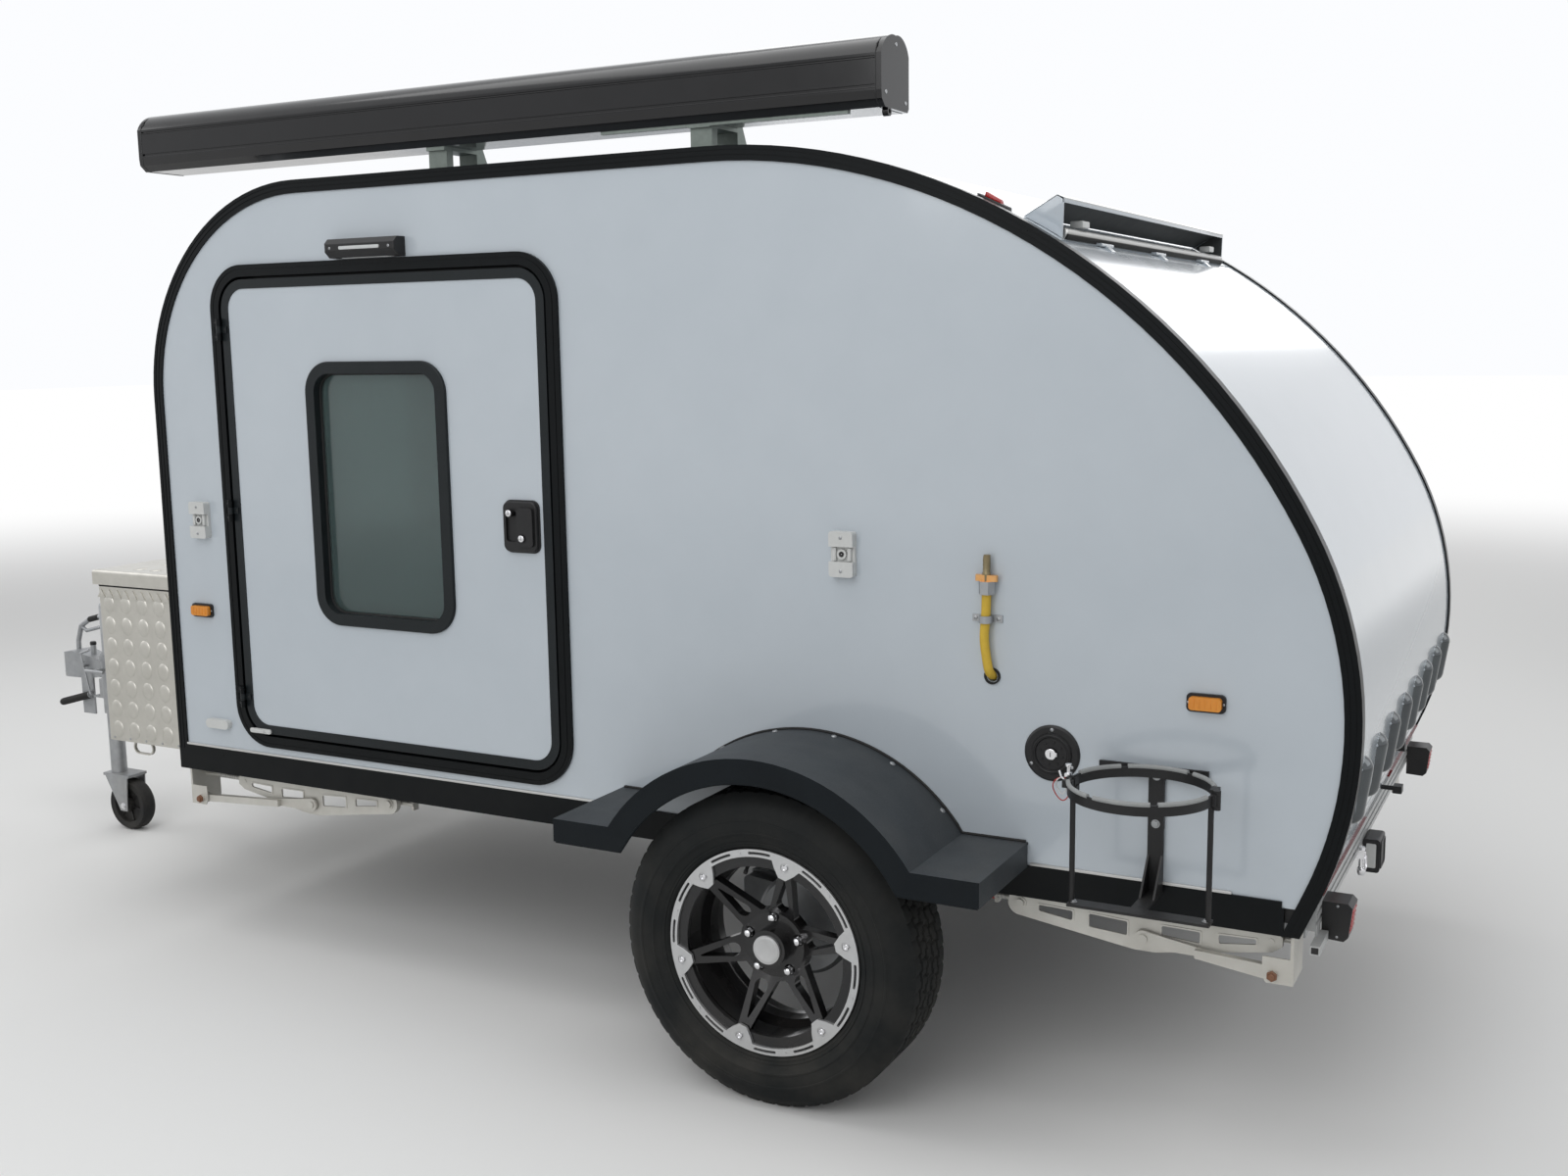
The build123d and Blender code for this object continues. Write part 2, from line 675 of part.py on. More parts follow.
for outer_y in (cross_half, cross_half - tube_wide):
    tube_y = (outer_y - tube_wide, outer_y)
    with BuildPart() as tube_row:
        for stretch in tube_stretches:
            block(stretch, tube_y, cross_z)
            block(stretch, inward(tube_y, tube_wall), inward(cross_z, tube_wall), mode=Mode.SUBTRACT)
        mirror(about=Plane.XZ)
    side_tubes += tube_row.part.solids()
with BuildPart() as tip_plate:
    block(tip_plate_x, about(0, tip_plate_half), (frame_low_z - tip_plate_thick, frame_low_z))
frame_bars = [bar for group in (frame_rails, drawbar_arms, crossmembers, tip_plate)
              for bar in group.part.solids()]
chassis = Compound(children=frame_bars + side_tubes)

# Axle: beam, trailing arms, stubs and brake drums
beam_z = frame_low_z - beam / 2
beam_x = at(beam_lead)
arm_thick = 32.0
arm_corner = 12.0
stub_y = (wheel_y - 207.5, wheel_y + 27.5)
stub_inner_y = stub_y[0]
drum_radius = 105.0
drum_y = (wheel_y - 142.5, wheel_y - 87.5)
arm_nose = beam / 2 + 2
arm_tail = 28.0
arm_corners = [(beam_x + arm_nose, beam_z - beam / 2), (beam_x + arm_nose, beam_z + beam / 2),
               (axle_x - arm_tail, tyre_radius + arm_tail), (axle_x - arm_tail, tyre_radius - arm_tail)]
with BuildPart() as axle:
    block(about(beam_x, beam / 2), (0, stub_inner_y), about(beam_z, beam / 2))
    extrude(side_shape(stub_inner_y + arm_thick, arm_corners, arm_corner), amount=arm_thick)
    rod((axle_x, stub_y[0], tyre_radius), (axle_x, stub_y[1], tyre_radius), stub_radius)
    rod((axle_x, drum_y[0], tyre_radius), (axle_x, drum_y[1], tyre_radius), drum_radius)
    chamfer(axle.edges().filter_by(GeomType.CIRCLE).sort_by(SortBy.RADIUS)[-2:], beam / 8)
    mirror(about=Plane.XZ)

# Tyre: beads, straight sidewalls, round shoulders and a level tread
half_tyre = tyre_width / 2
sidewall_corners = [(bead_radius, bead_half), (rim_flange_radius - 2, bead_half),
                    (rim_flange_radius + 6, 86), (250, half_tyre), (270, half_tyre - 0.5)]
shoulder = (tyre_radius - 13, tread_half + 14)
with BuildPart() as tyre:
    with BuildSketch(Plane.XY):
        with BuildLine():
            for side in (-1, 1):
                sidewall = Polyline(*[(r, side * y) for r, y in sidewall_corners])
                ThreePointArc(sidewall @ 1, (shoulder[0], side * shoulder[1]),
                              (tyre_radius, side * tread_half))
            Line((bead_radius, -bead_half), (bead_radius, bead_half))
            Line((tyre_radius, -tread_half), (tyre_radius, tread_half))
        make_face()
    revolve(axis=Axis.Y)

# Wheel: barrel, dished hub with six split spokes, lug pockets with nuts, and the centre boss
rim_face = ring_face - ring_thick
hub_radius = 72.0
hub_face = 34.0
hub_back = 5.0
dish_inner = 66.0
dish_outer = 178.0
barrel_corners = [(bead_radius - pin_play, -78), (bead_radius - pin_play, bead_half + pin_play),
                  (rim_flange_radius - 3, bead_half + pin_play), (rim_flange_radius - 3, rim_face),
                  (172, rim_face), (172, 70), (176, 60), (176, 20), (165, 0), (165, -30), (176, -50),
                  (180, -78)]
dish_corners = [(dish_outer, rim_face), (dish_inner, hub_face), (dish_inner, hub_face - spoke_thick),
                (dish_outer, rim_face - spoke_thick)]
boss_radius = 38.0
boss_face = 62.0
cap_radius = 29.0
cap_thick = 5.0
lug_pocket = 11.5
lug_floor = 20.0
lug_nut = 9.5
lug_nut_face = hub_face + 4
spoke_root = hub_radius + 2    # the spokes' foot circle
spoke_fillet = 6.0
spoke_arm = [(180, -12), (180, 12), (60, 29), (60, -29)]
spoke_split = [(152, -1.5), (152, 1.5), (90, 14), (90, -14)]
with BuildSketch(Plane.XZ.offset(-ring_face)) as spokes:
    Circle(spoke_root)
    with PolarLocations(0, spoke_count, start_angle=ring_bolt_turn):
        Polygon(*spoke_arm, align=None)
    fillet(spokes.vertices().filter_by(lambda v: math.hypot(v.X, v.Y) < spoke_root + 1), spoke_fillet)
    with PolarLocations(0, spoke_count, start_angle=ring_bolt_turn):
        Polygon(*spoke_split, align=None, mode=Mode.SUBTRACT)
    with PolarLocations(spoke_split[2][0], spoke_count, start_angle=ring_bolt_turn):
        Circle(spoke_split[2][1], mode=Mode.SUBTRACT)
with BuildPart() as spoke_layer:
    add(turned_profile(dish_corners))
    extrude(spokes.sketch, amount=ring_face, mode=Mode.INTERSECT)
with BuildPart() as rim:
    add(turned_profile(barrel_corners))
    add(spoke_layer.part)
    extrude(side_disc(hub_face, (0, 0), hub_radius), amount=hub_face - hub_back)
    with BuildSketch(Plane.XZ.offset(-hub_face)):
        with PolarLocations(stud_circle, stud_count, start_angle=90):
            Circle(lug_pocket)
    extrude(amount=hub_face - lug_floor, mode=Mode.SUBTRACT)
    with BuildSketch(Plane.XZ.offset(-lug_nut_face)):
        with PolarLocations(stud_circle, stud_count, start_angle=90):
            RegularPolygon(lug_nut, 6)
    extrude(amount=lug_nut_face - lug_floor)
    extrude(side_disc(boss_face, (0, 0), boss_radius), amount=boss_face - hub_back)
    extrude(side_disc(hub_face, (0, 0), stub_radius + pin_play), amount=hub_face, mode=Mode.SUBTRACT)

# Bolted ring on the wheel's face, with six pointed bosses, their bolts, slots and dots, and the hub cap
boss_root = ring_inner_radius + 3
boss_shape = [(boss_root, -34), (boss_root, 34), (178, 22), (163, 8), (163, -8), (178, -22)]
slot_radius = 200.5
slot_half = 2.6
slot_turns = ((11.0, 23.5), (36.5, 49.0))
dot_turn = 30.0
dot_radius = 3.5
bolt_recess = 9.5
bolt_head = 6.0
head_proud = 1.5
slot_arcs = [CenterArc((0, 0), slot_radius, ring_bolt_turn + i * 60 + low, high - low)
             for i in range(spoke_count) for low, high in slot_turns]
with BuildPart() as wheel_ring:
    with BuildSketch(Plane.XZ.offset(-ring_face)):
        Circle(rim_flange_radius)
        Circle(ring_inner_radius, mode=Mode.SUBTRACT)
        with PolarLocations(0, spoke_count, start_angle=ring_bolt_turn):
            Polygon(*boss_shape, align=None)
        for arc in slot_arcs:
            SlotArc(arc, 2 * slot_half, mode=Mode.SUBTRACT)
    extrude(amount=ring_thick)
    with BuildSketch(Plane.XZ.offset(-ring_face)):
        with PolarLocations(ring_bolt_radius, spoke_count, start_angle=ring_bolt_turn):
            Circle(bolt_recess)
            Circle(bolt_head, mode=Mode.SUBTRACT)
    extrude(amount=ring_thick / 3, mode=Mode.SUBTRACT)
    with BuildSketch(Plane.XZ.offset(-ring_face - head_proud)):
        with PolarLocations(slot_radius, spoke_count, start_angle=ring_bolt_turn + dot_turn):
            Circle(dot_radius)
        with PolarLocations(ring_bolt_radius, spoke_count, start_angle=ring_bolt_turn):
            RegularPolygon(bolt_head, 6)
    extrude(amount=ring_thick)
    extrude(side_disc(boss_face + cap_thick, (0, 0), cap_radius), amount=cap_thick)
wheel_parts = {}
for side, y, turn in (("left", wheel_y, 0), ("right", -wheel_y, 180)):
    for name, piece in (("tyre", tyre), ("rim", rim), ("wheel_ring", wheel_ring)):
        wheel_parts[name + "_" + side] = placed(piece.part, axle_x, y, tyre_radius, turn)

# Awning case on two roof brackets
awning_x = (at(-150), front_x + 25)
awning_deep = 130.0
awning_high = 137.0
awning_y = (wall_y - 155, wall_y - 155 + awning_deep)
awning_low_z = roof_z + 52
awning_cap = 12.0
groove_deep = 3.5
groove_rows = ((36.0, 41.0), (88.0, 93.0))
crank_eye = 9.0
crank_place = (awning_y[1] - 38, awning_low_z - 6)


def awning_profile(x, grooved):
    """Sketch of the case's section in an upright plane across the trailer at x."""
    face = []
    for low, high in groove_rows if grooved else ():
        floor_y = awning_deep - groove_deep
        face += [(awning_deep, low), (floor_y, low), (floor_y, high), (awning_deep, high)]
    with BuildSketch(cross_plane(x, awning_y[0], awning_low_z)) as profile:
        with BuildLine():
            front = Polyline((0, 8), (6, 0), (112, 0), (128, 14), (awning_deep, 30), *face,
                             (awning_deep, 98))
            crest = ThreePointArc(front @ 1, (106, 127), (62, awning_high))
            back = ThreePointArc(crest @ 1, (18, 129), (0, 104))
            Line(back @ 1, front @ 0)
        make_face()
    return profile.sketch


with BuildPart() as awning_case:
    extrude(awning_profile(awning_x[0] + awning_cap, True),
            amount=awning_x[1] - awning_x[0] - 2 * awning_cap)
    for x in (awning_x[0], awning_x[1] - awning_cap):
        extrude(awning_profile(x, False), amount=awning_cap)
    for radius, mode in ((crank_eye, Mode.ADD), (crank_eye / 2, Mode.SUBTRACT)):
        rod((awning_x[0], *crank_place), (awning_x[0] + awning_cap, *crank_place), radius, mode=mode)
bracket_wide = 50.0
bracket_sheet = 8.0
bracket_reaches = (262.0, 940.0)
gusset_corners = [(0, 0), (-44, 0), (0, 90)]
awning_rail_x = (at(-70), at(500))
post_y = awning_y[0] - 12
shelf_y = awning_y[1] - 20
roof_skin_z = roof_z - trim_proud
with BuildPart() as awning_brackets:
    for reach in bracket_reaches:
        x = about(at(reach), bracket_wide / 2)
        block(x, (awning_y[0] - 60, shelf_y), (roof_skin_z, roof_skin_z + bracket_sheet))
        block(x, (post_y, post_y + bracket_sheet), (roof_skin_z, awning_low_z + awning_high - 40))
        block(x, (post_y, shelf_y), (awning_low_z - bracket_sheet, awning_low_z))
        block(x, (shelf_y - 30, shelf_y - bracket_sheet), (roof_skin_z, awning_low_z))
        for edge in (x[0], x[1] - bracket_sheet / 2):
            with BuildSketch(cross_plane(edge, post_y, roof_skin_z)):
                Polygon(*gusset_corners, align=None)
            extrude(amount=bracket_sheet / 2)
    block(awning_rail_x, (shelf_y - 12, shelf_y), (awning_low_z - 6, awning_low_z))

# Hood over the hatch's hinge, open towards the tail
hood_half = 650.0
hood_sheet = 3.0
hood_root = arc_point(crown_centre, crown_radius - trim_proud, hatch_turn - 4.1)
hood_ridge = (hatch_axis[0] + 23, hatch_axis[1] + 83)
hood_lip = (hatch_axis[0] + 10, hatch_axis[1] + 77)
hood_foot = (hatch_axis[0] + 8, hatch_axis[1] - 8)
lip_foot = (hood_lip[0], hood_lip[1] - 9)
hood_corners = [hood_root, hood_ridge, hood_lip, lip_foot, hood_foot]
hood_hollow = [(hood_root[0], hood_root[1] - hood_sheet), (hood_ridge[0], hood_ridge[1] - hood_sheet),
               (hood_lip[0] + hood_sheet, hood_lip[1] - hood_sheet), (lip_foot[0] + hood_sheet, lip_foot[1]),
               (lip_foot[0] - 20, lip_foot[1]), (hood_foot[0] - 20, hood_foot[1] - 20),
               (hood_root[0], hood_root[1] - 60)]
stay_x = (hood_foot[0] + 14, hood_foot[0] + 54)
stay_half = 15.0
with BuildPart() as hood:
    extrude(side_shape(hood_half, hood_corners), amount=2 * hood_half)
    extrude(side_shape(hood_half - hood_sheet, hood_hollow), amount=2 * (hood_half - hood_sheet),
            mode=Mode.SUBTRACT)
    for y in (-hood_half / 3, hood_half / 3):
        block(stay_x, about(y, stay_half), (hood_foot[1], hood_ridge[1] - 16))
    extrude(side_outline(half_width, trim_proud), amount=body_width, mode=Mode.SUBTRACT)

# Toolbox on the drawbar, with its lid on barrel hinges and a ring under its floor
box_x = (front_x + toolbox_gap, front_x + toolbox_gap + toolbox_long)
box_half = toolbox_wide / 2
lid_z = (toolbox_high_z + gap, toolbox_high_z + gap + lid_high)
lid_axis = (box_x[0] - lid_hinge_back, toolbox_high_z + lid_hinge_radius)
lid_strap = 20.0
lid_knuckle = 20.0           # half the length of the lid's knuckle
lid_hinge_ys = (-box_half + 170, box_half - 170)
lid_strap_x = (lid_axis[0] + 3, box_x[0])
ring_bar = 4.0
tie_ring = (76.0, 38.0)
box_corner = 10.0
with BuildPart() as toolbox:
    block(box_x, about(0, box_half), (toolbox_low_z, toolbox_high_z))
    fillet(toolbox.edges().filter_by(Axis.Z), box_corner)
    block(inward(box_x, toolbox_sheet), about(0, box_half - toolbox_sheet),
          (toolbox_low_z + toolbox_sheet, toolbox_high_z + gap), mode=Mode.SUBTRACT)
    for y in lid_hinge_ys:
        outer = about(y, 2 * lid_knuckle)
        inner = about(y, lid_knuckle + pin_play)
        for ends in ((outer[0], inner[0]), (inner[1], outer[1])):
            rod((lid_axis[0], ends[0], lid_axis[1]), (lid_axis[0], ends[1], lid_axis[1]), lid_hinge_radius)
            block(lid_strap_x, ends, (lid_axis[1] - lid_strap, lid_axis[1]))
        rod((lid_axis[0], outer[0], lid_axis[1]), (lid_axis[0], outer[1], lid_axis[1]), lid_hinge_radius / 2)
    with BuildSketch(Plane.XZ.offset(-box_half + box_corner)):
        with Locations((box_x[1] - 121, toolbox_low_z + ring_bar - tie_ring[1] / 2)):
            SlotOverall(*tie_ring)
            SlotOverall(tie_ring[0] - 2 * ring_bar, tie_ring[1] - 2 * ring_bar, mode=Mode.SUBTRACT)
    extrude(amount=2 * ring_bar)
with BuildPart() as toolbox_lid:
    block((box_x[0], box_x[1] + lid_over), about(0, box_half + lid_over), lid_z)
    fillet(toolbox_lid.faces().sort_by(Axis.Z)[-1].edges(), lid_over)
    block(inward(box_x, toolbox_sheet), about(0, box_half - toolbox_sheet),
          (lid_z[0] - gap, lid_z[1] - 2 * toolbox_sheet), mode=Mode.SUBTRACT)
    for y in lid_hinge_ys:
        rod((lid_axis[0], y - lid_knuckle, lid_axis[1]), (lid_axis[0], y + lid_knuckle, lid_axis[1]),
            lid_hinge_radius)
        block(lid_strap_x, about(y, lid_knuckle), (lid_axis[1], lid_z[0] + lid_strap))
        rod((lid_axis[0], y - lid_knuckle, lid_axis[1]), (lid_axis[0], y + lid_knuckle, lid_axis[1]),
            lid_hinge_radius / 2 + pin_play, mode=Mode.SUBTRACT)

# Coupling: shaft on the drawbar's tip, head over the ball, handle, and the handbrake's rod and grip
ball_x = at(nose_reach - 42)
ball_radius = 25.4
ball_z = 444.0
head_low_z = 420.0
head_top_z = 508.0
head_radius = 42.0
shaft_x = (ball_x - 300, ball_x - 138)
shaft_half = 30.0
shaft_top_z = 486.0
shoe_thick = 10.0            # foot of the shaft, bolted on the drawbar's tip
handle_radius = 8.0
link_radius = 6.0
screw_cap = (ball_x - 80, 9.0, 50.0)   # X, radius and height of the screw on the shaft
lever_y = 48.0
lever_radius = 4.0
grip_radius = 11.0
hanger_x = (ball_x - 108, ball_x - 51)
hanger_sheet = 6.0
boss_spots = ((ball_x - 83, 467), (ball_x - 90, 365))
head_side = [(shaft_x[1], toolbox_low_z - 6), (shaft_x[1], shaft_top_z), (ball_x - 20, head_top_z),
             (ball_x + 22, head_top_z - 6), (ball_x + head_radius, 474),
             (ball_x + head_radius, toolbox_low_z), (ball_x + 32, head_low_z), (ball_x - 96, head_low_z)]
grip_ends = [(ball_x - 108, 369), (ball_x + head_radius - grip_radius, 332)]
rod_points = [(ball_x - 118, 520), (ball_x - 75, 506), (ball_x - 83, 467), (ball_x - 108, 369)]
handle_points = [(ball_x - 8, 500), (ball_x - 10, 537), (ball_x - 29, 588), (ball_x - 71, 612),
                 (ball_x - 119, 624)]
link_points = [handle_points[2], (ball_x - 54, 573), (ball_x - 115, 588)]


def bent_bar(points, y, radius):
    """Add a round bar along (x, z) points in an upright plane at y, with round corners."""
    for start, end in zip(points, points[1:]):
        rod((start[0], y, start[1]), (end[0], y, end[1]), radius)
        with Locations((end[0], y, end[1])):
            Sphere(radius)


head_plan = [(shaft_x[1], -shaft_half), (ball_x, -head_radius), (ball_x, head_radius),
             (shaft_x[1], shaft_half)]
with BuildPart() as coupling_head:
    extrude(level_shape(head_low_z, head_plan), amount=head_top_z - head_low_z)
    with BuildSketch(Plane.XY.offset(head_low_z)):
        with Locations((ball_x, 0)):
            Circle(head_radius)
    extrude(amount=head_top_z - head_low_z)
    extrude(side_shape(2 * head_radius, head_side), amount=4 * head_radius, mode=Mode.INTERSECT)
with BuildPart() as coupling:
    add(coupling_head.part)
    block(shaft_x, about(0, shaft_half), (toolbox_low_z, shaft_top_z))
    block((drawbar_tip - 60, drawbar_tip + 40), about(0, tip_plate_half - 4),
          (toolbox_low_z, toolbox_low_z + shoe_thick))
    with Locations((ball_x, 0, ball_z)):
        Sphere(ball_radius, mode=Mode.SUBTRACT)
    rod((ball_x, 0, head_low_z - 10), (ball_x, 0, ball_z), ball_radius, mode=Mode.SUBTRACT)
    bent_bar(handle_points, 0, handle_radius)
    bent_bar(link_points, 0, link_radius)
    rod((screw_cap[0], 0, shaft_top_z), (screw_cap[0], 0, shaft_top_z + screw_cap[2]), screw_cap[1])
    bent_bar(rod_points, lever_y, lever_radius)
    bent_bar(grip_ends, lever_y, grip_radius)
    block(hanger_x, (shaft_half - 2, shaft_half - 2 + hanger_sheet), (300, toolbox_low_z + 20))
    for x, z in boss_spots:
        rod((x, shaft_half, z), (x, lever_y + lever_radius, z), handle_radius)

# Jockey wheel: sleeve on the drawbar, sliding tube with its crank, swivelling fork and wheel
jockey_x = at(nose_reach - jockey_setback)
jockey_axle_x = jockey_x - jockey_trail
fork_top_z = 2 * jockey_wheel_radius + 12
fork_sheet = 4.0
fork_plate_z = fork_top_z + 2 * fork_sheet
fork_half = jockey_wheel_width / 2 + 13
jockey_pin = 6.0
sleeve_z = (frame_low_z, frame_low_z + 190)
sleeve_bore = jockey_tube_radius + 1
clamp_screw_z = sleeve_z[1] - 50
tommy_y = jockey_y + jockey_sleeve_radius + 34
clamp_x = about(jockey_x, jockey_sleeve_radius)
clamp_corners = [(clamp_x[0], drawbar_face_y(clamp_x[0])), (clamp_x[1], drawbar_face_y(clamp_x[1])),
                 (clamp_x[1], jockey_y - jockey_sleeve_radius + 3),
                 (clamp_x[0], jockey_y - jockey_sleeve_radius + 3)]
with BuildPart() as jockey_sleeve:
    rod((jockey_x, jockey_y, sleeve_z[0]), (jockey_x, jockey_y, sleeve_z[1]), jockey_sleeve_radius)
    rod((jockey_x, jockey_y, sleeve_z[1] - 24), (jockey_x, jockey_y, sleeve_z[1] - 6),
        jockey_sleeve_radius + 5)
    extrude(level_shape(frame_low_z + 4, clamp_corners), amount=50)
    rod((jockey_x, jockey_y, sleeve_z[0]), (jockey_x, jockey_y, sleeve_z[1]), sleeve_bore,
        mode=Mode.SUBTRACT)
    rod((jockey_x, jockey_y + sleeve_bore + 1, clamp_screw_z), (jockey_x, tommy_y, clamp_screw_z), 6)
    rod((jockey_x - 40, tommy_y, clamp_screw_z), (jockey_x + 40, tommy_y, clamp_screw_z), 5)
crank_z = jockey_top_z + 18
crank_long = 84.0
crank_radius = 7.0
with BuildPart() as jockey_tube:
    rod((jockey_x, jockey_y, fork_plate_z + pin_play), (jockey_x, jockey_y, jockey_top_z),
        jockey_tube_radius)
    fillet(jockey_tube.faces().sort_by(Axis.Z)[-1].edges(), 8)
    rod((jockey_x, jockey_y, jockey_top_z - 5), (jockey_x, jockey_y, crank_z + crank_radius), crank_radius)
    rod((jockey_x, jockey_y, crank_z), (jockey_x + crank_long, jockey_y, crank_z), crank_radius - 1)
    rod((jockey_x + crank_long, jockey_y, crank_z - crank_radius),
        (jockey_x + crank_long, jockey_y, crank_z + 62), crank_radius + 1)
blade_corners = [(jockey_axle_x - 16, jockey_wheel_radius - 16),
                 (jockey_axle_x + 14, jockey_wheel_radius - 16),
                 (jockey_x + 28, fork_plate_z), (jockey_axle_x - 24, fork_plate_z)]
with BuildPart() as jockey_fork:
    block((jockey_axle_x - 30, jockey_x + 32), about(jockey_y, fork_half), (fork_top_z, fork_plate_z))
    for y in (jockey_y + fork_half, jockey_y - fork_half + fork_sheet):
        extrude(side_shape(y, blade_corners), amount=fork_sheet)
    rod((jockey_axle_x, jockey_y - fork_half - 4, jockey_wheel_radius),
        (jockey_axle_x, jockey_y + fork_half + 4, jockey_wheel_radius), jockey_pin)
half_tread = jockey_wheel_width / 2
wheel_corners = [(jockey_pin + 0.1, -half_tread - 4), (22, -half_tread - 4), (22, -9), (54, -9),
                 (56, -half_tread + 2), (74, -half_tread), (jockey_wheel_radius, -half_tread + 9)]
with BuildPart() as jockey_wheel:
    add(placed(turned_profile(wheel_corners + [(r, -y) for r, y in reversed(wheel_corners)]),
               jockey_axle_x, jockey_y, jockey_wheel_radius))

# Corner steadies: a strut on a bolt, a pressed leg pinned to it, and the screw the leg's inner end follows
leg_outline = [(0, 25), (478, 25), (498, 10), (498, -8), (480, -20), (265, -57), (225, -57), (-3.5, -24.8)]
leg_round = 25.0
leg_notch = (151.0, 8.0)
leg_windows = [[(38, 2), (106, 0), (106, -19), (38, -10)], [(138, 0), (213, -4), (213, -31), (138, -26)],
               [(278, -2), (350, -3), (350, -25), (278, -20)], [(384, -2), (452, 0), (452, -10), (384, -19)]]
screw_z = steady_bolt_z + steady_screw_rise
tube_inner_y = cross_half - tube_wide
hub_round = 14.0
washer_round = 13.0
head_round = 9.0
head_thick = 3.0
foot_pin = 6.0


def steady_pieces(bolt_x, side, row):
    """Strut, leg and fixed bracket of a left-hand steady; side is +1 where it runs forward from its bolt."""
    pivot_run, inner_run, pivot_high, bolt_high = row

    def spot(run, up):
        return bolt_x + side * run, steady_bolt_z + up

    def on_leg(along, up):
        return bolt_x + side * (inner_run - along), screw_z + up

    def stretch(low, high):
        return tuple(sorted((bolt_x + side * low, bolt_x + side * high)))

    bolt = spot(0, 0)
    pivot = spot(pivot_run, steady_pivot_rise)
    eye_start = spot(pivot_run - strut_eye_long, steady_pivot_rise * (1 - strut_eye_long / pivot_run))
    bar = [(bolt[0], bolt[1] + bolt_high / 2), (bolt[0], bolt[1] - bolt_high / 2),
           (eye_start[0], eye_start[1] - pivot_high / 2), (eye_start[0], eye_start[1] + pivot_high / 2)]
    eye_x = eye_start[0] - side * 10
    eye = [(eye_x, eye_start[1] + pivot_high / 2), (eye_x, eye_start[1] - pivot_high / 2),
           (pivot[0], pivot[1] - strut_eye_radius), (pivot[0], pivot[1] + strut_eye_radius)]
    eye_thick = strut_eye_y[1] - strut_eye_y[0]
    bar_thick = strut_y[1] - strut_y[0]
    with BuildPart() as strut:
        extrude(side_shape(strut_y[1], bar), amount=bar_thick)
        extrude(side_disc(strut_y[1], bolt, hub_round), amount=bar_thick)
        extrude(side_shape(strut_eye_y[1], eye), amount=eye_thick)
        extrude(side_disc(strut_eye_y[1], pivot, strut_eye_radius), amount=eye_thick)
        for hole in (bolt, pivot):
            extrude(side_disc(strut_y[1], hole, steady_pin + pin_play), amount=2 * bar_thick,
                    mode=Mode.SUBTRACT)
    web_y = leg_face_y - leg_sheet
    with BuildPart() as leg:
        with BuildSketch(Plane.XZ.offset(-leg_face_y)) as plate:
            with BuildLine():
                Polyline(*[on_leg(*point) for point in leg_outline], close=True)
            make_face()
            with Locations(on_leg(0, 0)):
                Circle(leg_round)
            with Locations(on_leg(leg_notch[0], leg_round)):
                Circle(leg_notch[1], mode=Mode.SUBTRACT)
        with BuildSketch(Plane.XZ.offset(-web_y)) as flange:
            add(plate.sketch)
            offset(amount=-leg_sheet, mode=Mode.SUBTRACT)
        extrude(plate.sketch, amount=leg_sheet)
        extrude(flange.sketch, amount=leg_deep - leg_sheet)
        for window in leg_windows:
            corners = [on_leg(*point) for point in window]
            with BuildSketch(Plane.XZ.offset(-leg_face_y - leg_lip)) as lip:
                with BuildLine():
                    Polyline(*corners, close=True)
                make_face()
                offset(amount=leg_sheet)
            extrude(lip.sketch, amount=leg_lip)
            extrude(side_shape(leg_face_y + leg_lip, corners, 4), amount=leg_lip + leg_sheet,
                    mode=Mode.SUBTRACT)
        pin_end_y = strut_eye_y[1] + head_thick
        spacer_end_y = strut_eye_y[0] - pin_play
        extrude(side_disc(spacer_end_y, pivot, head_round), amount=spacer_end_y - web_y)
        extrude(side_disc(pin_end_y, pivot, steady_pin), amount=pin_end_y - web_y)
        extrude(side_disc(pin_end_y, pivot, head_round), amount=head_thick - pin_play)
        extrude(side_disc(leg_face_y + 2, on_leg(0, 0), washer_round), amount=2)
        extrude(side_disc(leg_face_y + 7, on_leg(0, 0), head_round), amount=7)
        extrude(side_disc(web_y, on_leg(0, 0), steady_pin), amount=web_y - screw_y - screw_radius - 1)
        extrude(side_disc(leg_face_y + 1, on_leg(leg_long, 0), foot_pin), amount=leg_deep)
    plate_y = (strut_y[1] + 2, strut_y[1] + 5)
    end_run = (-steady_end_setback, -steady_end_setback + 6)
    hanger_run = (inner_run + 52, inner_run + 60)
    bracket_low = -16.0
    cheek = [(end_run[0], bracket_low), (12, bracket_low), (19, -4), (19, 33), (end_run[0], 33)]
    with BuildPart() as bracket:
        extrude(side_shape(plate_y[1], [spot(*point) for point in cheek]), amount=plate_y[1] - plate_y[0])
        block(stretch(*end_run), (tube_inner_y, plate_y[1]),
              (steady_bolt_z + bracket_low, steady_bolt_z + 90))
        extrude(side_disc(plate_y[1] + 5, bolt, steady_pin), amount=plate_y[1] + 5 - strut_y[0] + 1)
        extrude(side_disc(plate_y[1] + 5, bolt, head_round + 1), amount=5)
        screw = stretch(end_run[1], hanger_run[1])
        rod((screw[0], screw_y, screw_z), (screw[1], screw_y, screw_z), screw_radius)
        block(stretch(*hanger_run), (screw_y - 14, cross_half), (screw_z - 14, cross_z[0]))
    return strut.part, leg.part, bracket.part


steady_parts = {}
bracket_parts = []
for end, bolt_x, side in (("rear", at(-rear_bolt_reach), 1), ("front", front_x - front_bolt_setback, -1)):
    strut, leg, bracket = steady_pieces(bolt_x, side, steady_rows[end])
    for name, piece in (("strut_" + end, strut), ("leg_" + end, leg)):
        steady_parts[name + "_left"] = piece
        steady_parts[name + "_right"] = mirrored(piece)
    bracket_parts += [bracket, mirrored(bracket)]
with BuildPart() as steady_brackets:
    add(bracket_parts)

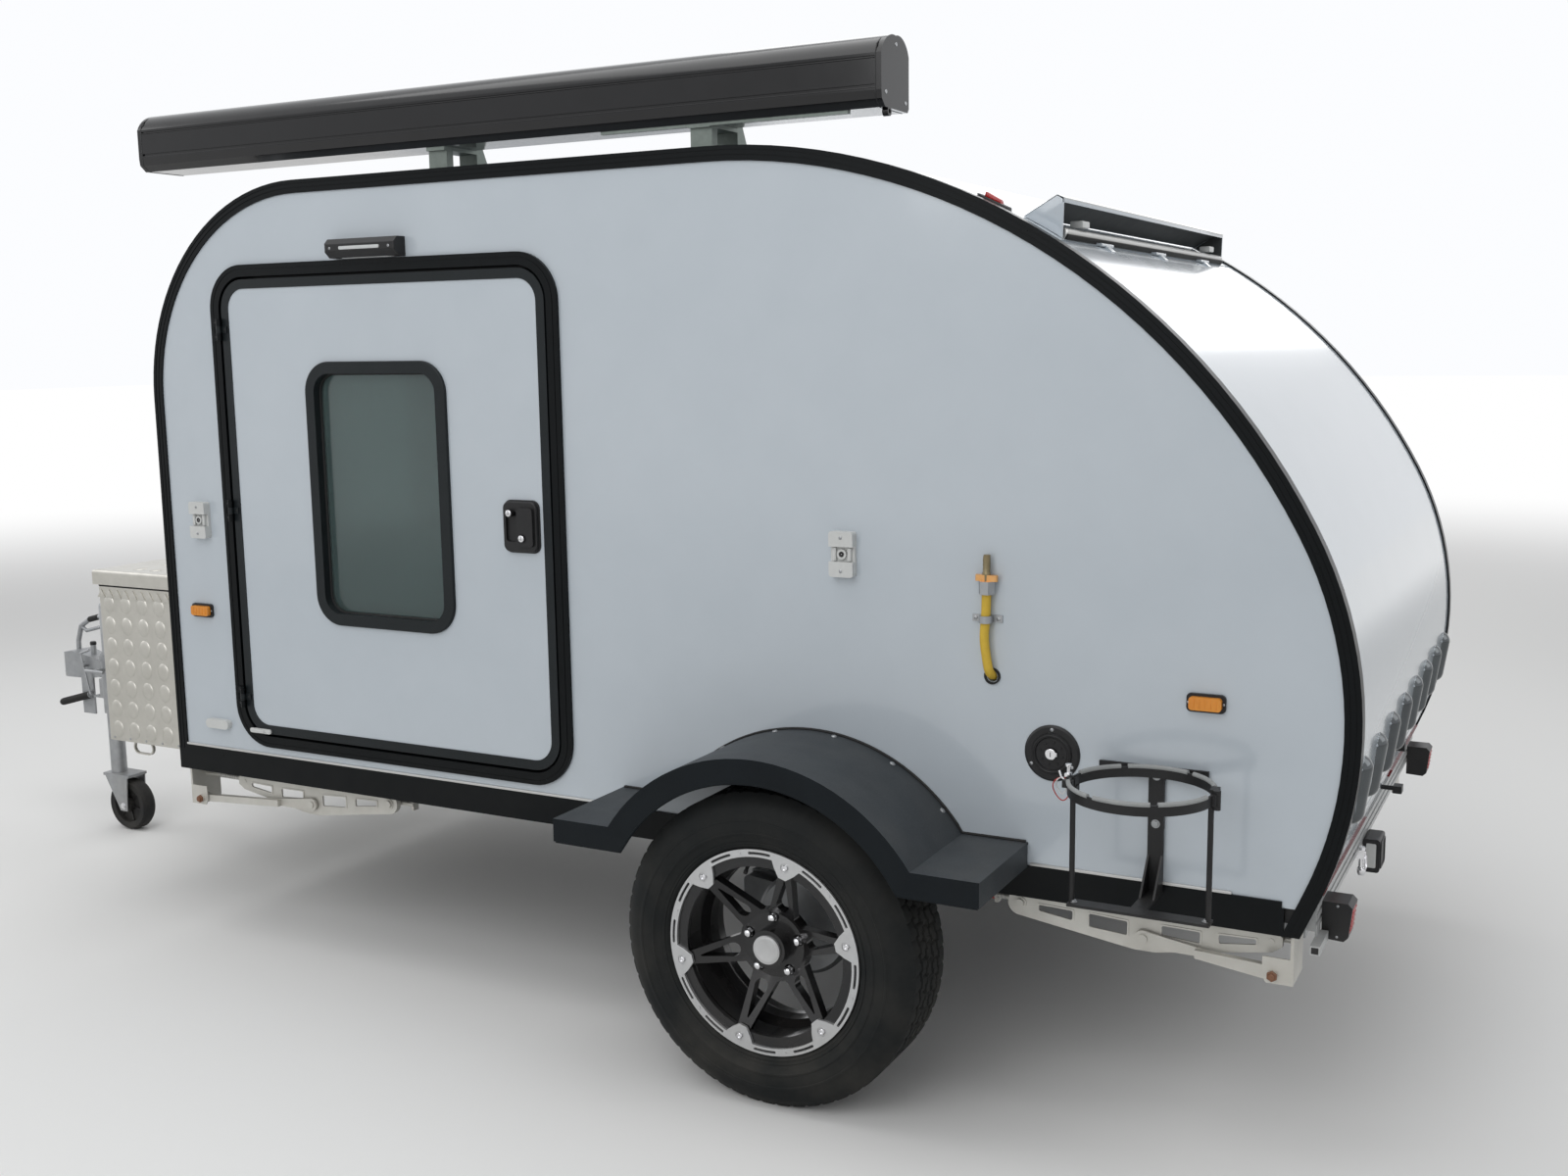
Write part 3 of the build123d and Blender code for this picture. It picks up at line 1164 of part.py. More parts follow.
# Marker lamps at the corners and a porch lamp over each door
marker_places = ((front_x - 118, 848.0), (at(-792), 842.0))
marker_steps = ((6.0, 35.0, 17.0), (16.0, 29.0, 12.0))   # base and lens: how proud, half length, half height
with BuildPart() as marker_lamps:
    for x, z in marker_places:
        for proud, half_long, half_high in marker_steps:
            add(rounded_hole(wall_y + proud, about(x, half_long), about(z, half_high), half_high / 2, proud))
    mirror(about=Plane.XZ)
porch_x = about(sum(door_x) / 2 + 3.5, 102)
porch_z = (door_high + 3, door_high + 45)
porch_proud = 38.0
porch_profile = [(0, porch_z[0]), (0, porch_z[1]), (porch_proud - 12, porch_z[1]),
                 (porch_proud, porch_z[1] - 12), (porch_proud, porch_z[0] + 14),
                 (porch_proud - 16, porch_z[0])]
with BuildPart() as porch_lamps:
    with BuildSketch(cross_plane(porch_x[0], wall_y, 0)):
        Polygon(*porch_profile, align=None)
    extrude(amount=porch_x[1] - porch_x[0])
    fillet(porch_lamps.faces().filter_by(GeomType.PLANE).sort_by(Axis.Y)[-1].edges(), 3)
    block(inward(porch_x, 42), (wall_y + porch_proud - 2, wall_y + porch_proud), about(sum(porch_z) / 2, 4),
          mode=Mode.SUBTRACT)
    mirror(about=Plane.XZ)

# Ridged rail across the tail under the hatch, with a short tube at each end
rail_x = (at(-985), floor_tail_x)
rail_back_x = rail_x[0]
rail_z = (430.0, 480.0)
rail_half = 700.0
rail_sheet = 4.0
ridge = 3.0
ridge_high = 10.0
ridge_pitch = 17.0
end_tube = 17.0
end_tube_y = (660.0, half_width)
end_tube_z = (404.0, 404.0 + end_tube)
with BuildPart() as tail_rails:
    block(rail_x, (0, rail_half), rail_z)
    block((rail_x[0] + rail_sheet, rail_x[1]), (0, rail_half - rail_sheet), inward(rail_z, rail_sheet),
          mode=Mode.SUBTRACT)
    for i in range(3):
        z = rail_z[0] + ridge + i * ridge_pitch
        block((rail_back_x - ridge, rail_back_x), (0, rail_half), (z, z + ridge_high))
    block((rail_back_x - end_tube, rail_back_x), end_tube_y, end_tube_z)
    block((rail_back_x - ridge, rail_back_x), (end_tube_y[0], rail_half), (end_tube_z[0], rail_z[0] + ridge))
    mirror(about=Plane.XZ)

# Tail lamps under the rail and a red strip each side across the apron
strip_y = (200.0, 680.0)
strip_z = (492.0, 508.0)
strip_proud = 5.0
with BuildPart() as lamp_strip:
    add(band(strip_y[1], strip_y[1] - strip_y[0], trim_proud - strip_proud, trim_proud, sill_z))
    block((at(-tail_reach), floor_tail_x), strip_y, strip_z, mode=Mode.INTERSECT)
lamp_y = (590.0, 650.0)
lamp_corners = [(rail_back_x - ridge, 402), (rail_back_x - 42, 400), (rail_back_x - 50, 408),
                (rail_back_x - 56, 464), (rail_back_x - 48, 472), (rail_back_x - ridge, 472)]
with BuildPart() as tail_lamps:
    extrude(side_shape(lamp_y[1], lamp_corners), amount=lamp_y[1] - lamp_y[0])
    add(lamp_strip.part)
    mirror(about=Plane.XZ)

# Fittings in the middle of the tail: toggle, switch box and the T piece that holds the hatch's foot
tee_z = 521.0
tee_x = tail_skin_x(tee_z, trim_proud)
toggle_place = (rail_back_x - 16, 250.0)
switch_x = (rail_back_x - 38, rail_back_x - ridge)
switch_y = (75.0, 150.0)
switch_z = (375.0, 446.0)
with BuildPart() as tail_latch:
    rod((*toggle_place, 400), (*toggle_place, 459), 6)
    block((toggle_place[0] - 6, rail_back_x - ridge), about(toggle_place[1], 10), (436, 454))
    add(rounded_hole(switch_y[1], switch_x, switch_z, 6, switch_y[1] - switch_y[0]))
    rod((tee_x, 0, tee_z), (tee_x - 30, 0, tee_z), 5)
    block((tee_x - 44, tee_x - 26), about(0, 14), about(tee_z, 8))
    extrude(side_outline(half_width, trim_proud, tee_z - 20), amount=body_width, mode=Mode.SUBTRACT)

# Gas bottle holder: post and arm on the side, two rods, and a ring whose outboard half is a gate
ring_centre = (at(-715), half_width + 140)
ring_out = 127.0
ring_sheet = 4.0
ring_z = (699.0, 718.0)
ring_parting = 5.0           # the two halves end this far to either side of the ring's middle
ring_knuckle = 6.5
knuckle_high = (9.0, 6.0)    # fixed knuckles below and above the gate's
gate_axis = (ring_centre[0] - ring_out - 4.5, ring_centre[1])
gate_pin = 3.0
fixed_knuckles = ((ring_z[0] - knuckle_high[0], ring_z[0] - pin_play),
                  (ring_z[1] + pin_play, ring_z[1] + knuckle_high[1]))
post_x = (at(-722), at(-693))
post_y = (half_width, half_width + 6)
base_z = (483.0, 488.0)
base_half = 16.0
arm_z = (base_z[0] - 5, base_z[0])
arm_gusset = [(5, 0), (60, 0), (5, 70)]
holder_rod = 5.0
rod_spots = about(ring_centre[0], ring_out - 5)
latch_x = (rod_spots[1] - 3, rod_spots[1] + 15)
latch_fixed_y = (ring_centre[1] - 22, ring_centre[1] - 3)
latch_gate_y = (ring_centre[1] + ring_parting, ring_centre[1] + 18)
lug_y = (ring_centre[1] - 26, ring_centre[1] - 10)
wing_low_z = ring_z[0] + 1
wing_corners = [(at(-801), wing_low_z), (at(-608), wing_low_z), (at(-600), wing_low_z + 8),
                (at(-600), ring_z[1]), (at(-801), ring_z[1])]
pad_lows = (600.0, 690.0)
with BuildPart() as ring_band:
    with BuildSketch(Plane.XY.offset(ring_z[0])):
        with Locations(ring_centre):
            Circle(ring_out)
            Circle(ring_out - ring_sheet, mode=Mode.SUBTRACT)
    extrude(amount=ring_z[1] - ring_z[0])
with BuildPart() as gas_gate:
    add(ring_band.part)
    split(bisect_by=Plane.XZ.offset(-ring_centre[1] - ring_parting), keep=Keep.BOTTOM)
    rod((*gate_axis, ring_z[0]), (*gate_axis, ring_z[1]), ring_knuckle)
    block((gate_axis[0] - 1, rod_spots[0] - 1), (gate_axis[1], gate_axis[1] + 15), ring_z)
    block(latch_x, latch_gate_y, inward(ring_z, 3))
    rod((*gate_axis, ring_z[0]), (*gate_axis, ring_z[1]), gate_pin + pin_play, mode=Mode.SUBTRACT)
with BuildPart() as gas_holder:
    add(ring_band.part)
    split(bisect_by=Plane.XZ.offset(-ring_centre[1] + ring_parting), keep=Keep.TOP)
    rod((*gate_axis, ring_z[0]), (*gate_axis, ring_z[1]), ring_knuckle + 1, mode=Mode.SUBTRACT)
    for low, high in fixed_knuckles:
        rod((*gate_axis, low), (*gate_axis, high), ring_knuckle)
        block((gate_axis[0], rod_spots[0] + 4), (lug_y[0], gate_axis[1]), (low, high))
    block(about(rod_spots[0], 4), lug_y, (ring_z[0] - 4, ring_z[1] + 3))
    rod((*gate_axis, fixed_knuckles[0][0]), (*gate_axis, fixed_knuckles[1][1]), gate_pin)
    block(about(rod_spots[1], holder_rod), latch_fixed_y, (ring_z[0] - knuckle_high[0], ring_z[0] + 2))
    block(latch_x, latch_fixed_y, inward(ring_z, 2))
    for x in rod_spots:
        rod((x, ring_centre[1], base_z[0]), (x, ring_centre[1], ring_z[0] - 5), holder_rod)
    block((rod_spots[0] - holder_rod, rod_spots[1] + holder_rod), about(ring_centre[1], base_half), base_z)
    block(post_x, (post_y[0], ring_centre[1]), arm_z)
    block(post_x, post_y, (arm_z[0], ring_z[1]))
    block(post_x, (post_y[0], ring_centre[1] - ring_out + ring_sheet), inward(ring_z, 3))
    for z in pad_lows:
        block(post_x, (wall_y, post_y[0]), (z, z + 20))
    for x in (post_x[0], post_x[1] - ring_sheet):
        with BuildSketch(cross_plane(x, post_y[0], arm_z[1] - 1)):
            Polygon(*arm_gusset, align=None)
        extrude(amount=ring_sheet)
    extrude(side_shape(post_y[1], wing_corners), amount=post_y[1] - post_y[0])

# White brackets for the awning's legs, and the door retainers
bracket_half = 26.0
bracket_z = (1032.0, 1122.0)
bracket_notch = (1062.0, 1092.0)
bracket_proud = 20.0
bracket_floor = 8.0
bracket_boss = (10.0, 15.0)  # radius, and how proud it stands
bracket_middle_z = sum(bracket_notch) / 2
retainer_x = about(front_x - 150.5, 38.5)
retainer_z = (549.0, 572.0)
retainer_proud = 14.0
with BuildPart() as wall_brackets:
    for x in (front_x - 137, at(-77)):
        add(rounded_hole(wall_y + bracket_proud, about(x, bracket_half), bracket_z, 6, bracket_proud))
        block(about(x, bracket_half), (wall_y + bracket_floor, wall_y + bracket_proud), bracket_notch,
              mode=Mode.SUBTRACT)
        rod((x, wall_y, bracket_middle_z), (x, wall_y + bracket_boss[1], bracket_middle_z), bracket_boss[0])
    add(rounded_hole(wall_y + retainer_proud, retainer_x, retainer_z, 11, retainer_proud))
    mirror(about=Plane.XZ)

# Water filler: a stepped round cap with a lock, its body through the wall
filler_turn = [(0, -wall), (filler_body, -wall), (filler_body, 0), (filler_radius, 0), (filler_radius, 2),
               (50, 5), (40, 5), (38, 9), (32, 9), (30, 6), (12, 6), (10, 12), (0, 12)]
with BuildPart() as water_filler:
    add(placed(turned_profile(filler_turn), filler_place[0], wall_y, filler_place[1]))

# Gas hose: out through the wall and up to its valve
hose_radius = 9.0
hose_y = wall_y + 14
hose_points = [(at(-387), wall_y - 26, 856), (at(-387), hose_y, 856), (at(-379), hose_y, 896),
               (at(-374), hose_y, 934), (at(-378.5), hose_y, 975), (at(-379), hose_y, 1016)]
hose_runs = [Vector(*end) - Vector(*start) for start, end in zip(hose_points, hose_points[1:])]
hose_radii = [0.45 * min(a.length, b.length) / math.tan(math.radians(a.get_angle(b)) / 2)
              for a, b in zip(hose_runs, hose_runs[1:])]
print("hose bend radii", [round(radius) for radius in hose_radii])
with BuildPart() as gas_hose:
    with BuildLine() as hose_line:
        FilletPolyline(*hose_points, radius=hose_radii)
    with BuildSketch(Plane(origin=hose_points[0], z_dir=hose_runs[0])):
        Circle(hose_radius)
    sweep(path=hose_line.line)
hose_end = Plane(origin=hose_points[-1], x_dir=(1, 0, 0), z_dir=hose_runs[-1])
nut_high = 25.0
nut_across = 27.0
valve_high = 12.0
valve_wing = (44.0, 12.0)
tail_high = 75.0
tail_radius_small = 6.5
clip_x = (at(-407), at(-347))
clip_z = (961.0, 975.0)
clip_sheet = 3.0
clip_centre = (at(-377.7), hose_y)
grommet = (12.0, 16.0)       # inner and outer radius
grommet_thick = 4.0
with BuildPart() as hose_fittings:
    with BuildSketch(hose_end):
        RegularPolygon(nut_across / 2, 6, major_radius=False)
    extrude(amount=nut_high)
    with BuildSketch(hose_end.offset(nut_high)):
        RectangleRounded(*valve_wing, 5)
    extrude(amount=valve_high)
    with BuildSketch(hose_end.offset(nut_high)):
        Circle(tail_radius_small)
    extrude(amount=tail_high - nut_high)
    with BuildSketch(Plane.XY.offset(clip_z[0])):
        with Locations((sum(clip_x) / 2, wall_y + clip_sheet / 2)):
            Rectangle(clip_x[1] - clip_x[0], clip_sheet)
        with Locations(clip_centre):
            Circle(hose_radius + 1 + clip_sheet)
            Circle(hose_radius + 1, mode=Mode.SUBTRACT)
    extrude(amount=clip_z[1] - clip_z[0])
    with BuildSketch(Plane.XZ.offset(-wall_y - grommet_thick)):
        with Locations((hose_exit[0], hose_exit[1] + 1)):
            Circle(grommet[1])
            Circle(grommet[0], mode=Mode.SUBTRACT)
    extrude(amount=grommet_thick)

pieces = {
    "chassis": chassis, "axle": axle.part, "floor": floor.part, "mattress": mattress.part,
    "side_wall_left": side_wall_left.part, "side_wall_right": mirrored(side_wall.part), "roof": roof.part,
    "apron": apron.part, "bulkhead": bulkhead.part, "galley": galley.part, "edge_trims": edge_trims.part,
    "door_frames": door_frames.part, "fenders": fenders.part, "awning_case": awning_case.part,
    "awning_brackets": awning_brackets.part, "hood": hood.part, "toolbox": toolbox.part,
    "toolbox_lid": toolbox_lid.part, "coupling": coupling.part, "jockey_sleeve": jockey_sleeve.part,
    "jockey_tube": jockey_tube.part, "jockey_fork": jockey_fork.part, "jockey_wheel": jockey_wheel.part,
    "steady_brackets": steady_brackets.part, "marker_lamps": marker_lamps.part,
    "porch_lamps": porch_lamps.part, "tail_lamps": tail_lamps.part, "tail_rails": tail_rails.part,
    "tail_latch": tail_latch.part, "gas_holder": gas_holder.part, "gas_gate": gas_gate.part,
    "wall_brackets": wall_brackets.part, "water_filler": water_filler.part, "gas_hose": gas_hose.part,
    "hose_fittings": hose_fittings.part, "hatch_panel": hatch_panel.part,
}
for name, piece in (("door_leaf", door_leaf), ("door_trim", door_trims), ("door_glass", door_glass),
                    ("door_handle", door_handle)):
    pieces[name + "_left"] = piece.part
    pieces[name + "_right"] = mirrored(piece.part)
pieces.update(wheel_parts)
pieces.update(steady_parts)
os.makedirs("parts", exist_ok=True)
for name, piece in pieces.items():
    piece.label = name
    export_step(piece, "parts/" + name + ".step")
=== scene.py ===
"""Looks of a small teardrop trailer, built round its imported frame."""

import json
import logging
import math
from collections.abc import Callable, Iterable
from dataclasses import dataclass, field
from enum import Enum

import bmesh
import bpy
from mathutils import Matrix, Vector

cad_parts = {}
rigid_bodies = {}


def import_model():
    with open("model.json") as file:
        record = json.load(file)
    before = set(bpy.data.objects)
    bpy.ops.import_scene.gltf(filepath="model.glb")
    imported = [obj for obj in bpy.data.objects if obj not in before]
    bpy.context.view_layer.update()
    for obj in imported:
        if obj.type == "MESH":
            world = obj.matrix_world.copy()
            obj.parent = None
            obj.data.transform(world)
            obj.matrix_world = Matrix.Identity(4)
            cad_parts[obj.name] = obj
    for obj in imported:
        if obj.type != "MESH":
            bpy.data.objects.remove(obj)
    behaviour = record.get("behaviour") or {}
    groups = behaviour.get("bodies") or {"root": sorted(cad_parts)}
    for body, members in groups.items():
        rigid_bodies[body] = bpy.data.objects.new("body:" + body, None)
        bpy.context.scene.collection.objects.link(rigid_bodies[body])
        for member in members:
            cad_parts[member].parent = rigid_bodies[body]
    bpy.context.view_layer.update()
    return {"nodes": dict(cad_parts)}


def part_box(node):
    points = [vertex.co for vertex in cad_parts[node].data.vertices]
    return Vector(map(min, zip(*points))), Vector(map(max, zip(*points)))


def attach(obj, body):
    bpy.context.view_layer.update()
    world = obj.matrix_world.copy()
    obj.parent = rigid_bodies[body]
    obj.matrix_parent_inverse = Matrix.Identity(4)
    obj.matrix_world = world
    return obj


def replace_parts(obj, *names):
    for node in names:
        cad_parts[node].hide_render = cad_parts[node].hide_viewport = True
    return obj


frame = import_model()
LOG = logging.getLogger("trailer")

Colour = tuple[float, float, float]
Point = tuple[float, float, float]
Flat = tuple[float, float]
Profile = tuple[Flat, ...]
Mesh = bpy.types.Object
Ring = list[bmesh.types.BMVert]
Socket = bpy.types.NodeSocket

AXLE_X = -1.061
FRONT_X = 0.764
WALL_Y = 0.746
HALF_WIDTH = 0.750

UP: Point = (0.0, 0.0, 1.0)
OUT: Point = (0.0, 1.0, 0.0)
BACK: Point = (-1.0, 0.0, 0.0)

# The way to each side of the trailer, left before right.
WAYS = (1.0, -1.0)

# Largest angles in degrees that are shaded smooth on each kind of shape.
HEX, SHEET, TREAD, BUMP, BAR = 24.0, 30.0, 38.0, 40.0, 60.0

# Heads of screws and bolts, as shares of their radius and height.
SCREW_HEAD: Profile = ((0.98, 0.0), (1.0, 0.25), (0.8, 0.75), (0.42, 1.0), (0.34, 0.45), (0.0, 0.4))
WASHER: Profile = ((1.35, 0.0), (1.35, 0.16))
HEX_HEAD: Profile = ((1.0, 0.1), (1.0, 0.86), (0.86, 1.0))


def at(reach: float) -> float:
    """X of a point that lies this far ahead of the axle."""
    return AXLE_X + reach


def about(middle: float, half: float) -> Flat:
    """Low and high end of a span with this middle and half length."""
    return (middle - half, middle + half)


def ordered(one: float, other: float) -> Flat:
    """Both ends of a span, the low one first."""
    return (min(one, other), max(one, other))


def circle(centre: Flat, radius: float, turns: Iterable[float]) -> list[Flat]:
    """Points on a circle at these turns in degrees."""
    angles = [math.radians(turn) for turn in turns]
    return [(centre[0] + radius * math.cos(a), centre[1] + radius * math.sin(a)) for a in angles]


class Grain(Enum):
    """Ways in which a finish varies over its surface, with the grain's stretch along the axes."""

    EVEN = (1.0, 1.0, 1.0)
    BRUSHED = (0.04, 6.0, 6.0)


class NodeBench:
    """Lays out shader nodes in one tree."""

    def __init__(self, tree: bpy.types.NodeTree) -> None:
        """Keeps the tree that the nodes go into."""
        self.tree = tree

    def join(self, start: Socket, end: Socket) -> None:
        """Links one socket to another."""
        self.tree.links.new(start, end)

    def fill(self, node: bpy.types.Node, inputs: dict[object, object]) -> bpy.types.Node:
        """Gives a node's inputs their links and values.

        Args:
            node: the node.
            inputs: a socket, a value or nothing for each input, by its name or number.

        Returns:
            The same node.
        """
        for slot, value in inputs.items():
            if isinstance(value, Socket):
                self.join(value, node.inputs[slot])
            elif value is not None:
                coloured = node.inputs[slot].type == "RGBA"
                node.inputs[slot].default_value = (*value, 1.0) if coloured else value
        return node

    def add(self, kind: str, inputs: dict[object, object] | None = None, **values: object) -> bpy.types.Node:
        """Adds a node.

        Args:
            kind: Blender's name of the node's type.
            inputs: a socket or a value for each input that gets one.
            values: attributes of the node by name.

        Returns:
            The new node.
        """
        node = self.tree.nodes.new(kind)
        for name, value in values.items():
            setattr(node, name, value)
        return self.fill(node, inputs or {})

    def maths(self, operation: str, first: object, second: object, clamp: bool = False) -> Socket:
        """Adds a Math node.

        Args:
            operation: the node's operation.
            first: a socket or a number.
            second: a socket or a number.
            clamp: whether the result is kept between 0 and 1.

        Returns:
            The node's result.
        """
        return self.add("ShaderNodeMath", {0: first, 1: second}, operation=operation,
                        use_clamp=clamp).outputs[0]

    def blend(self, share: object, low: object, high: object) -> Socket:
        """Mixes two colours, share 0 being the first and 1 the second."""
        return self.add("ShaderNodeMix", {0: share, 6: low, 7: high}, data_type="RGBA").outputs[2]

    def noise(self, place: Socket, scale: object, detail: float) -> Socket:
        """Adds noise of this scale and detail."""
        return self.add("ShaderNodeTexNoise", {"Detail": detail, "Vector": place, "Scale": scale}).outputs[0]

    def emboss(self, shader: bpy.types.Node, height: Socket, strength: float, depth: float) -> None:
        """Raises a shader's surface by a height."""
        bump = self.add("ShaderNodeBump", {"Strength": strength, "Distance": depth, "Height": height})
        self.join(bump.outputs[0], shader.inputs["Normal"])


class GroupShelf:
    """Shared node groups, each built once."""

    fine_detail, broad_detail, broad_scale = 4.0, 3.0, 0.06
    fine_share, broad_share = 0.45, 0.55
    mottle_start, mottle_gain, rough_gain = 0.32, 2.8, 3.0
    dust_top, dust_foot, dust_up = 0.7, 0.05, 0.35
    cloud_scale, cloud_detail, cloud_start, cloud_gain = 9.0, 6.0, 0.38, 2.6
    dust_rough = 0.85

    @classmethod
    def group(cls, name: str) -> bpy.types.NodeTree:
        """The group of this name, built when it is first asked for."""
        return bpy.data.node_groups.get(name) or getattr(cls, name)()

    @staticmethod
    def sockets(name: str, inputs: dict[str, tuple[str, object]], outputs: dict[str, str]
                ) -> tuple[NodeBench, bpy.types.NodeOutputs, bpy.types.Node]:
        """Makes an empty group with its sockets.

        Args:
            name: the group's name.
            inputs: socket type and starting value by name.
            outputs: socket type by name.

        Returns:
            A bench on the group's tree, what the group is given, and its output node.
        """
        tree = bpy.data.node_groups.new(name, "ShaderNodeTree")
        for label, (kind, value) in inputs.items():
            socket = tree.interface.new_socket(name=label, in_out="INPUT", socket_type=kind)
            socket.default_value = value
        for label, kind in outputs.items():
            tree.interface.new_socket(name=label, in_out="OUTPUT", socket_type=kind)
        bench = NodeBench(tree)
        return bench, bench.add("NodeGroupInput").outputs, bench.add("NodeGroupOutput")

    @classmethod
    def mottle(cls) -> bpy.types.NodeTree:
        """Builds the fine and broad noise that varies a colour, a roughness and a height.

        Returns:
            The group.
        """
        bench, given, end = cls.sockets(
            "mottle",
            {"Scale": ("NodeSocketFloat", 60.0), "Stretch": ("NodeSocketVector", (1.0, 1.0, 1.0)),
             "Colour": ("NodeSocketColor", (0.5, 0.5, 0.5, 1.0)),
             "Second": ("NodeSocketColor", (0.4, 0.4, 0.4, 1.0)),
             "Roughness": ("NodeSocketFloat", 0.5), "Spread": ("NodeSocketFloat", 0.1)},
            {"Colour": "NodeSocketColor", "Roughness": "NodeSocketFloat", "Height": "NodeSocketFloat"})
        place = bench.add("ShaderNodeTexCoord").outputs["Object"]
        drawn = bench.add("ShaderNodeVectorMath", {0: place, 1: given["Stretch"]}, operation="MULTIPLY")
        fine = bench.noise(drawn.outputs[0], given["Scale"], cls.fine_detail)
        broad = bench.noise(place, bench.maths("MULTIPLY", given["Scale"], cls.broad_scale), cls.broad_detail)
        mixed = bench.maths("ADD", bench.maths("MULTIPLY", fine, cls.fine_share),
                            bench.maths("MULTIPLY", broad, cls.broad_share))
        share = bench.maths("MULTIPLY", bench.maths("SUBTRACT", mixed, cls.mottle_start), cls.mottle_gain,
                            True)
        lift = bench.maths("MULTIPLY", bench.maths("SUBTRACT", mixed, 0.5), given["Spread"])
        gloss = bench.maths("ADD", given["Roughness"], bench.maths("MULTIPLY", lift, cls.rough_gain))
        bench.fill(end, {"Colour": bench.blend(share, given["Colour"], given["Second"]), "Roughness": gloss,
                         "Height": fine})
        return bench.tree

    @classmethod
    def road_dust(cls) -> bpy.types.NodeTree:
        """Builds the pale dust that settles low on the trailer and on upward faces.

        Returns:
            The group.
        """
        bench, given, end = cls.sockets(
            "road_dust",
            {"Colour": ("NodeSocketColor", (0.5, 0.5, 0.5, 1.0)),
             "Dust": ("NodeSocketColor", (0.42, 0.38, 0.32, 1.0)),
             "Roughness": ("NodeSocketFloat", 0.5), "Amount": ("NodeSocketFloat", 0.3)},
            {"Colour": "NodeSocketColor", "Roughness": "NodeSocketFloat"})
        place = bench.add("ShaderNodeTexCoord").outputs["Object"]
        height = bench.add("ShaderNodeSeparateXYZ", {0: place}).outputs["Z"]
        low = bench.add("ShaderNodeMapRange",
                        {"From Min": cls.dust_top, "From Max": cls.dust_foot, "Value": height})
        facing = bench.add("ShaderNodeNewGeometry").outputs["Normal"]
        upward = bench.add("ShaderNodeSeparateXYZ", {0: facing}).outputs["Z"]
        up = bench.maths("MULTIPLY", bench.maths("MAXIMUM", upward, 0.0), cls.dust_up)
        cloud = bench.noise(place, cls.cloud_scale, cls.cloud_detail)
        patch = bench.maths("MULTIPLY", bench.maths("SUBTRACT", cloud, cls.cloud_start), cls.cloud_gain, True)
        where = bench.maths("MULTIPLY", bench.maths("ADD", low.outputs[0], up), patch)
        share = bench.maths("MULTIPLY", where, given["Amount"], True)
        dull = bench.maths("MULTIPLY", bench.maths("SUBTRACT", cls.dust_rough, given["Roughness"]), share)
        bench.fill(end, {"Colour": bench.blend(share, given["Colour"], given["Dust"]),
                         "Roughness": bench.maths("ADD", given["Roughness"], dull)})
        return bench.tree

    @classmethod
    def weave(cls) -> bpy.types.NodeTree:
        """Builds a plain weave: two crossed sets of threads as a height.

        Returns:
            The group.
        """
        bench, given, end = cls.sockets("weave", {"Thread": ("NodeSocketFloat", 0.0016)},
                                        {"Height": "NodeSocketFloat"})
        apart = bench.add("ShaderNodeSeparateXYZ", {0: bench.add("ShaderNodeTexCoord").outputs["Object"]})
        turns = bench.maths("DIVIDE", math.pi, given["Thread"])
        waves = [bench.add("ShaderNodeMath", {0: bench.maths("MULTIPLY", apart.outputs[axis], turns)},
                           operation="SINE").outputs[0] for axis in ("X", "Y")]
        bench.fill(end, {"Height": bench.maths("MULTIPLY", *waves)})
        return bench.tree


BUILT: dict[str, bpy.types.Material] = {}


@dataclass(frozen=True)
class Finish:
    """One surface finish, with its colour, gloss, grain and dust."""

    name: str
    colour: Colour
    second: Colour
    metallic: float = 0.0
    roughness: float = 0.5
    spread: float = 0.06
    scale: float = 60.0
    grain: Grain = Grain.EVEN
    bump: float = 0.0
    bump_depth: float = 0.0004
    coat: float = 0.0
    coat_roughness: float = 0.06
    dust: float = 0.25
    specular: float = 0.5

    def material(self) -> bpy.types.Material:
        """Builds the material, or hands back the one already built.

        Returns:
            The material for this finish.
        """
        if self.name in BUILT:
            return BUILT[self.name]
        made = BUILT[self.name] = bpy.data.materials.new(self.name)
        made.use_nodes = True
        bench = NodeBench(made.node_tree)
        mottle = bench.add("ShaderNodeGroup", {
            "Scale": self.scale, "Stretch": self.grain.value, "Colour": self.colour, "Second": self.second,
            "Roughness": self.roughness, "Spread": self.spread}, node_tree=GroupShelf.group("mottle")).outputs
        dust = bench.add("ShaderNodeGroup", {
            "Amount": self.dust, "Colour": mottle["Colour"], "Roughness": mottle["Roughness"]},
            node_tree=GroupShelf.group("road_dust")).outputs
        shader = bench.fill(made.node_tree.nodes["Principled BSDF"], {
            "Base Color": dust["Colour"], "Roughness": dust["Roughness"], "Metallic": self.metallic,
            "Coat Weight": self.coat, "Coat Roughness": self.coat_roughness,
            "Specular IOR Level": self.specular})
        if self.bump > 0.0:
            bench.emboss(shader, mottle["Height"], self.bump, self.bump_depth)
        self.adjust(bench, shader)
        return made

    def adjust(self, bench: NodeBench, shader: bpy.types.Node) -> None:
        """Adds what a kind of finish has beyond the common nodes."""


@dataclass(frozen=True)
class GlassFinish(Finish):
    """Tinted glazing or a clear lens."""

    clear: float = 0.9
    bending: float = 1.45

    def adjust(self, bench: NodeBench, shader: bpy.types.Node) -> None:
        """Lets light through the shader."""
        bench.fill(shader, {"Transmission Weight": self.clear, "IOR": self.bending})


@dataclass(frozen=True)
class FabricFinish(Finish):
    """Woven cloth with a soft sheen."""

    thread: float = 0.0016
    relief: Flat = (0.7, 0.0006)
    sheen: Flat = (0.3, 0.5)

    def adjust(self, bench: NodeBench, shader: bpy.types.Node) -> None:
        """Adds the weave's height and the sheen."""
        weave = bench.add("ShaderNodeGroup", {"Thread": self.thread}, node_tree=GroupShelf.group("weave"))
        bench.emboss(shader, weave.outputs["Height"], *self.relief)
        bench.fill(shader, {"Sheen Weight": self.sheen[0], "Sheen Roughness": self.sheen[1]})


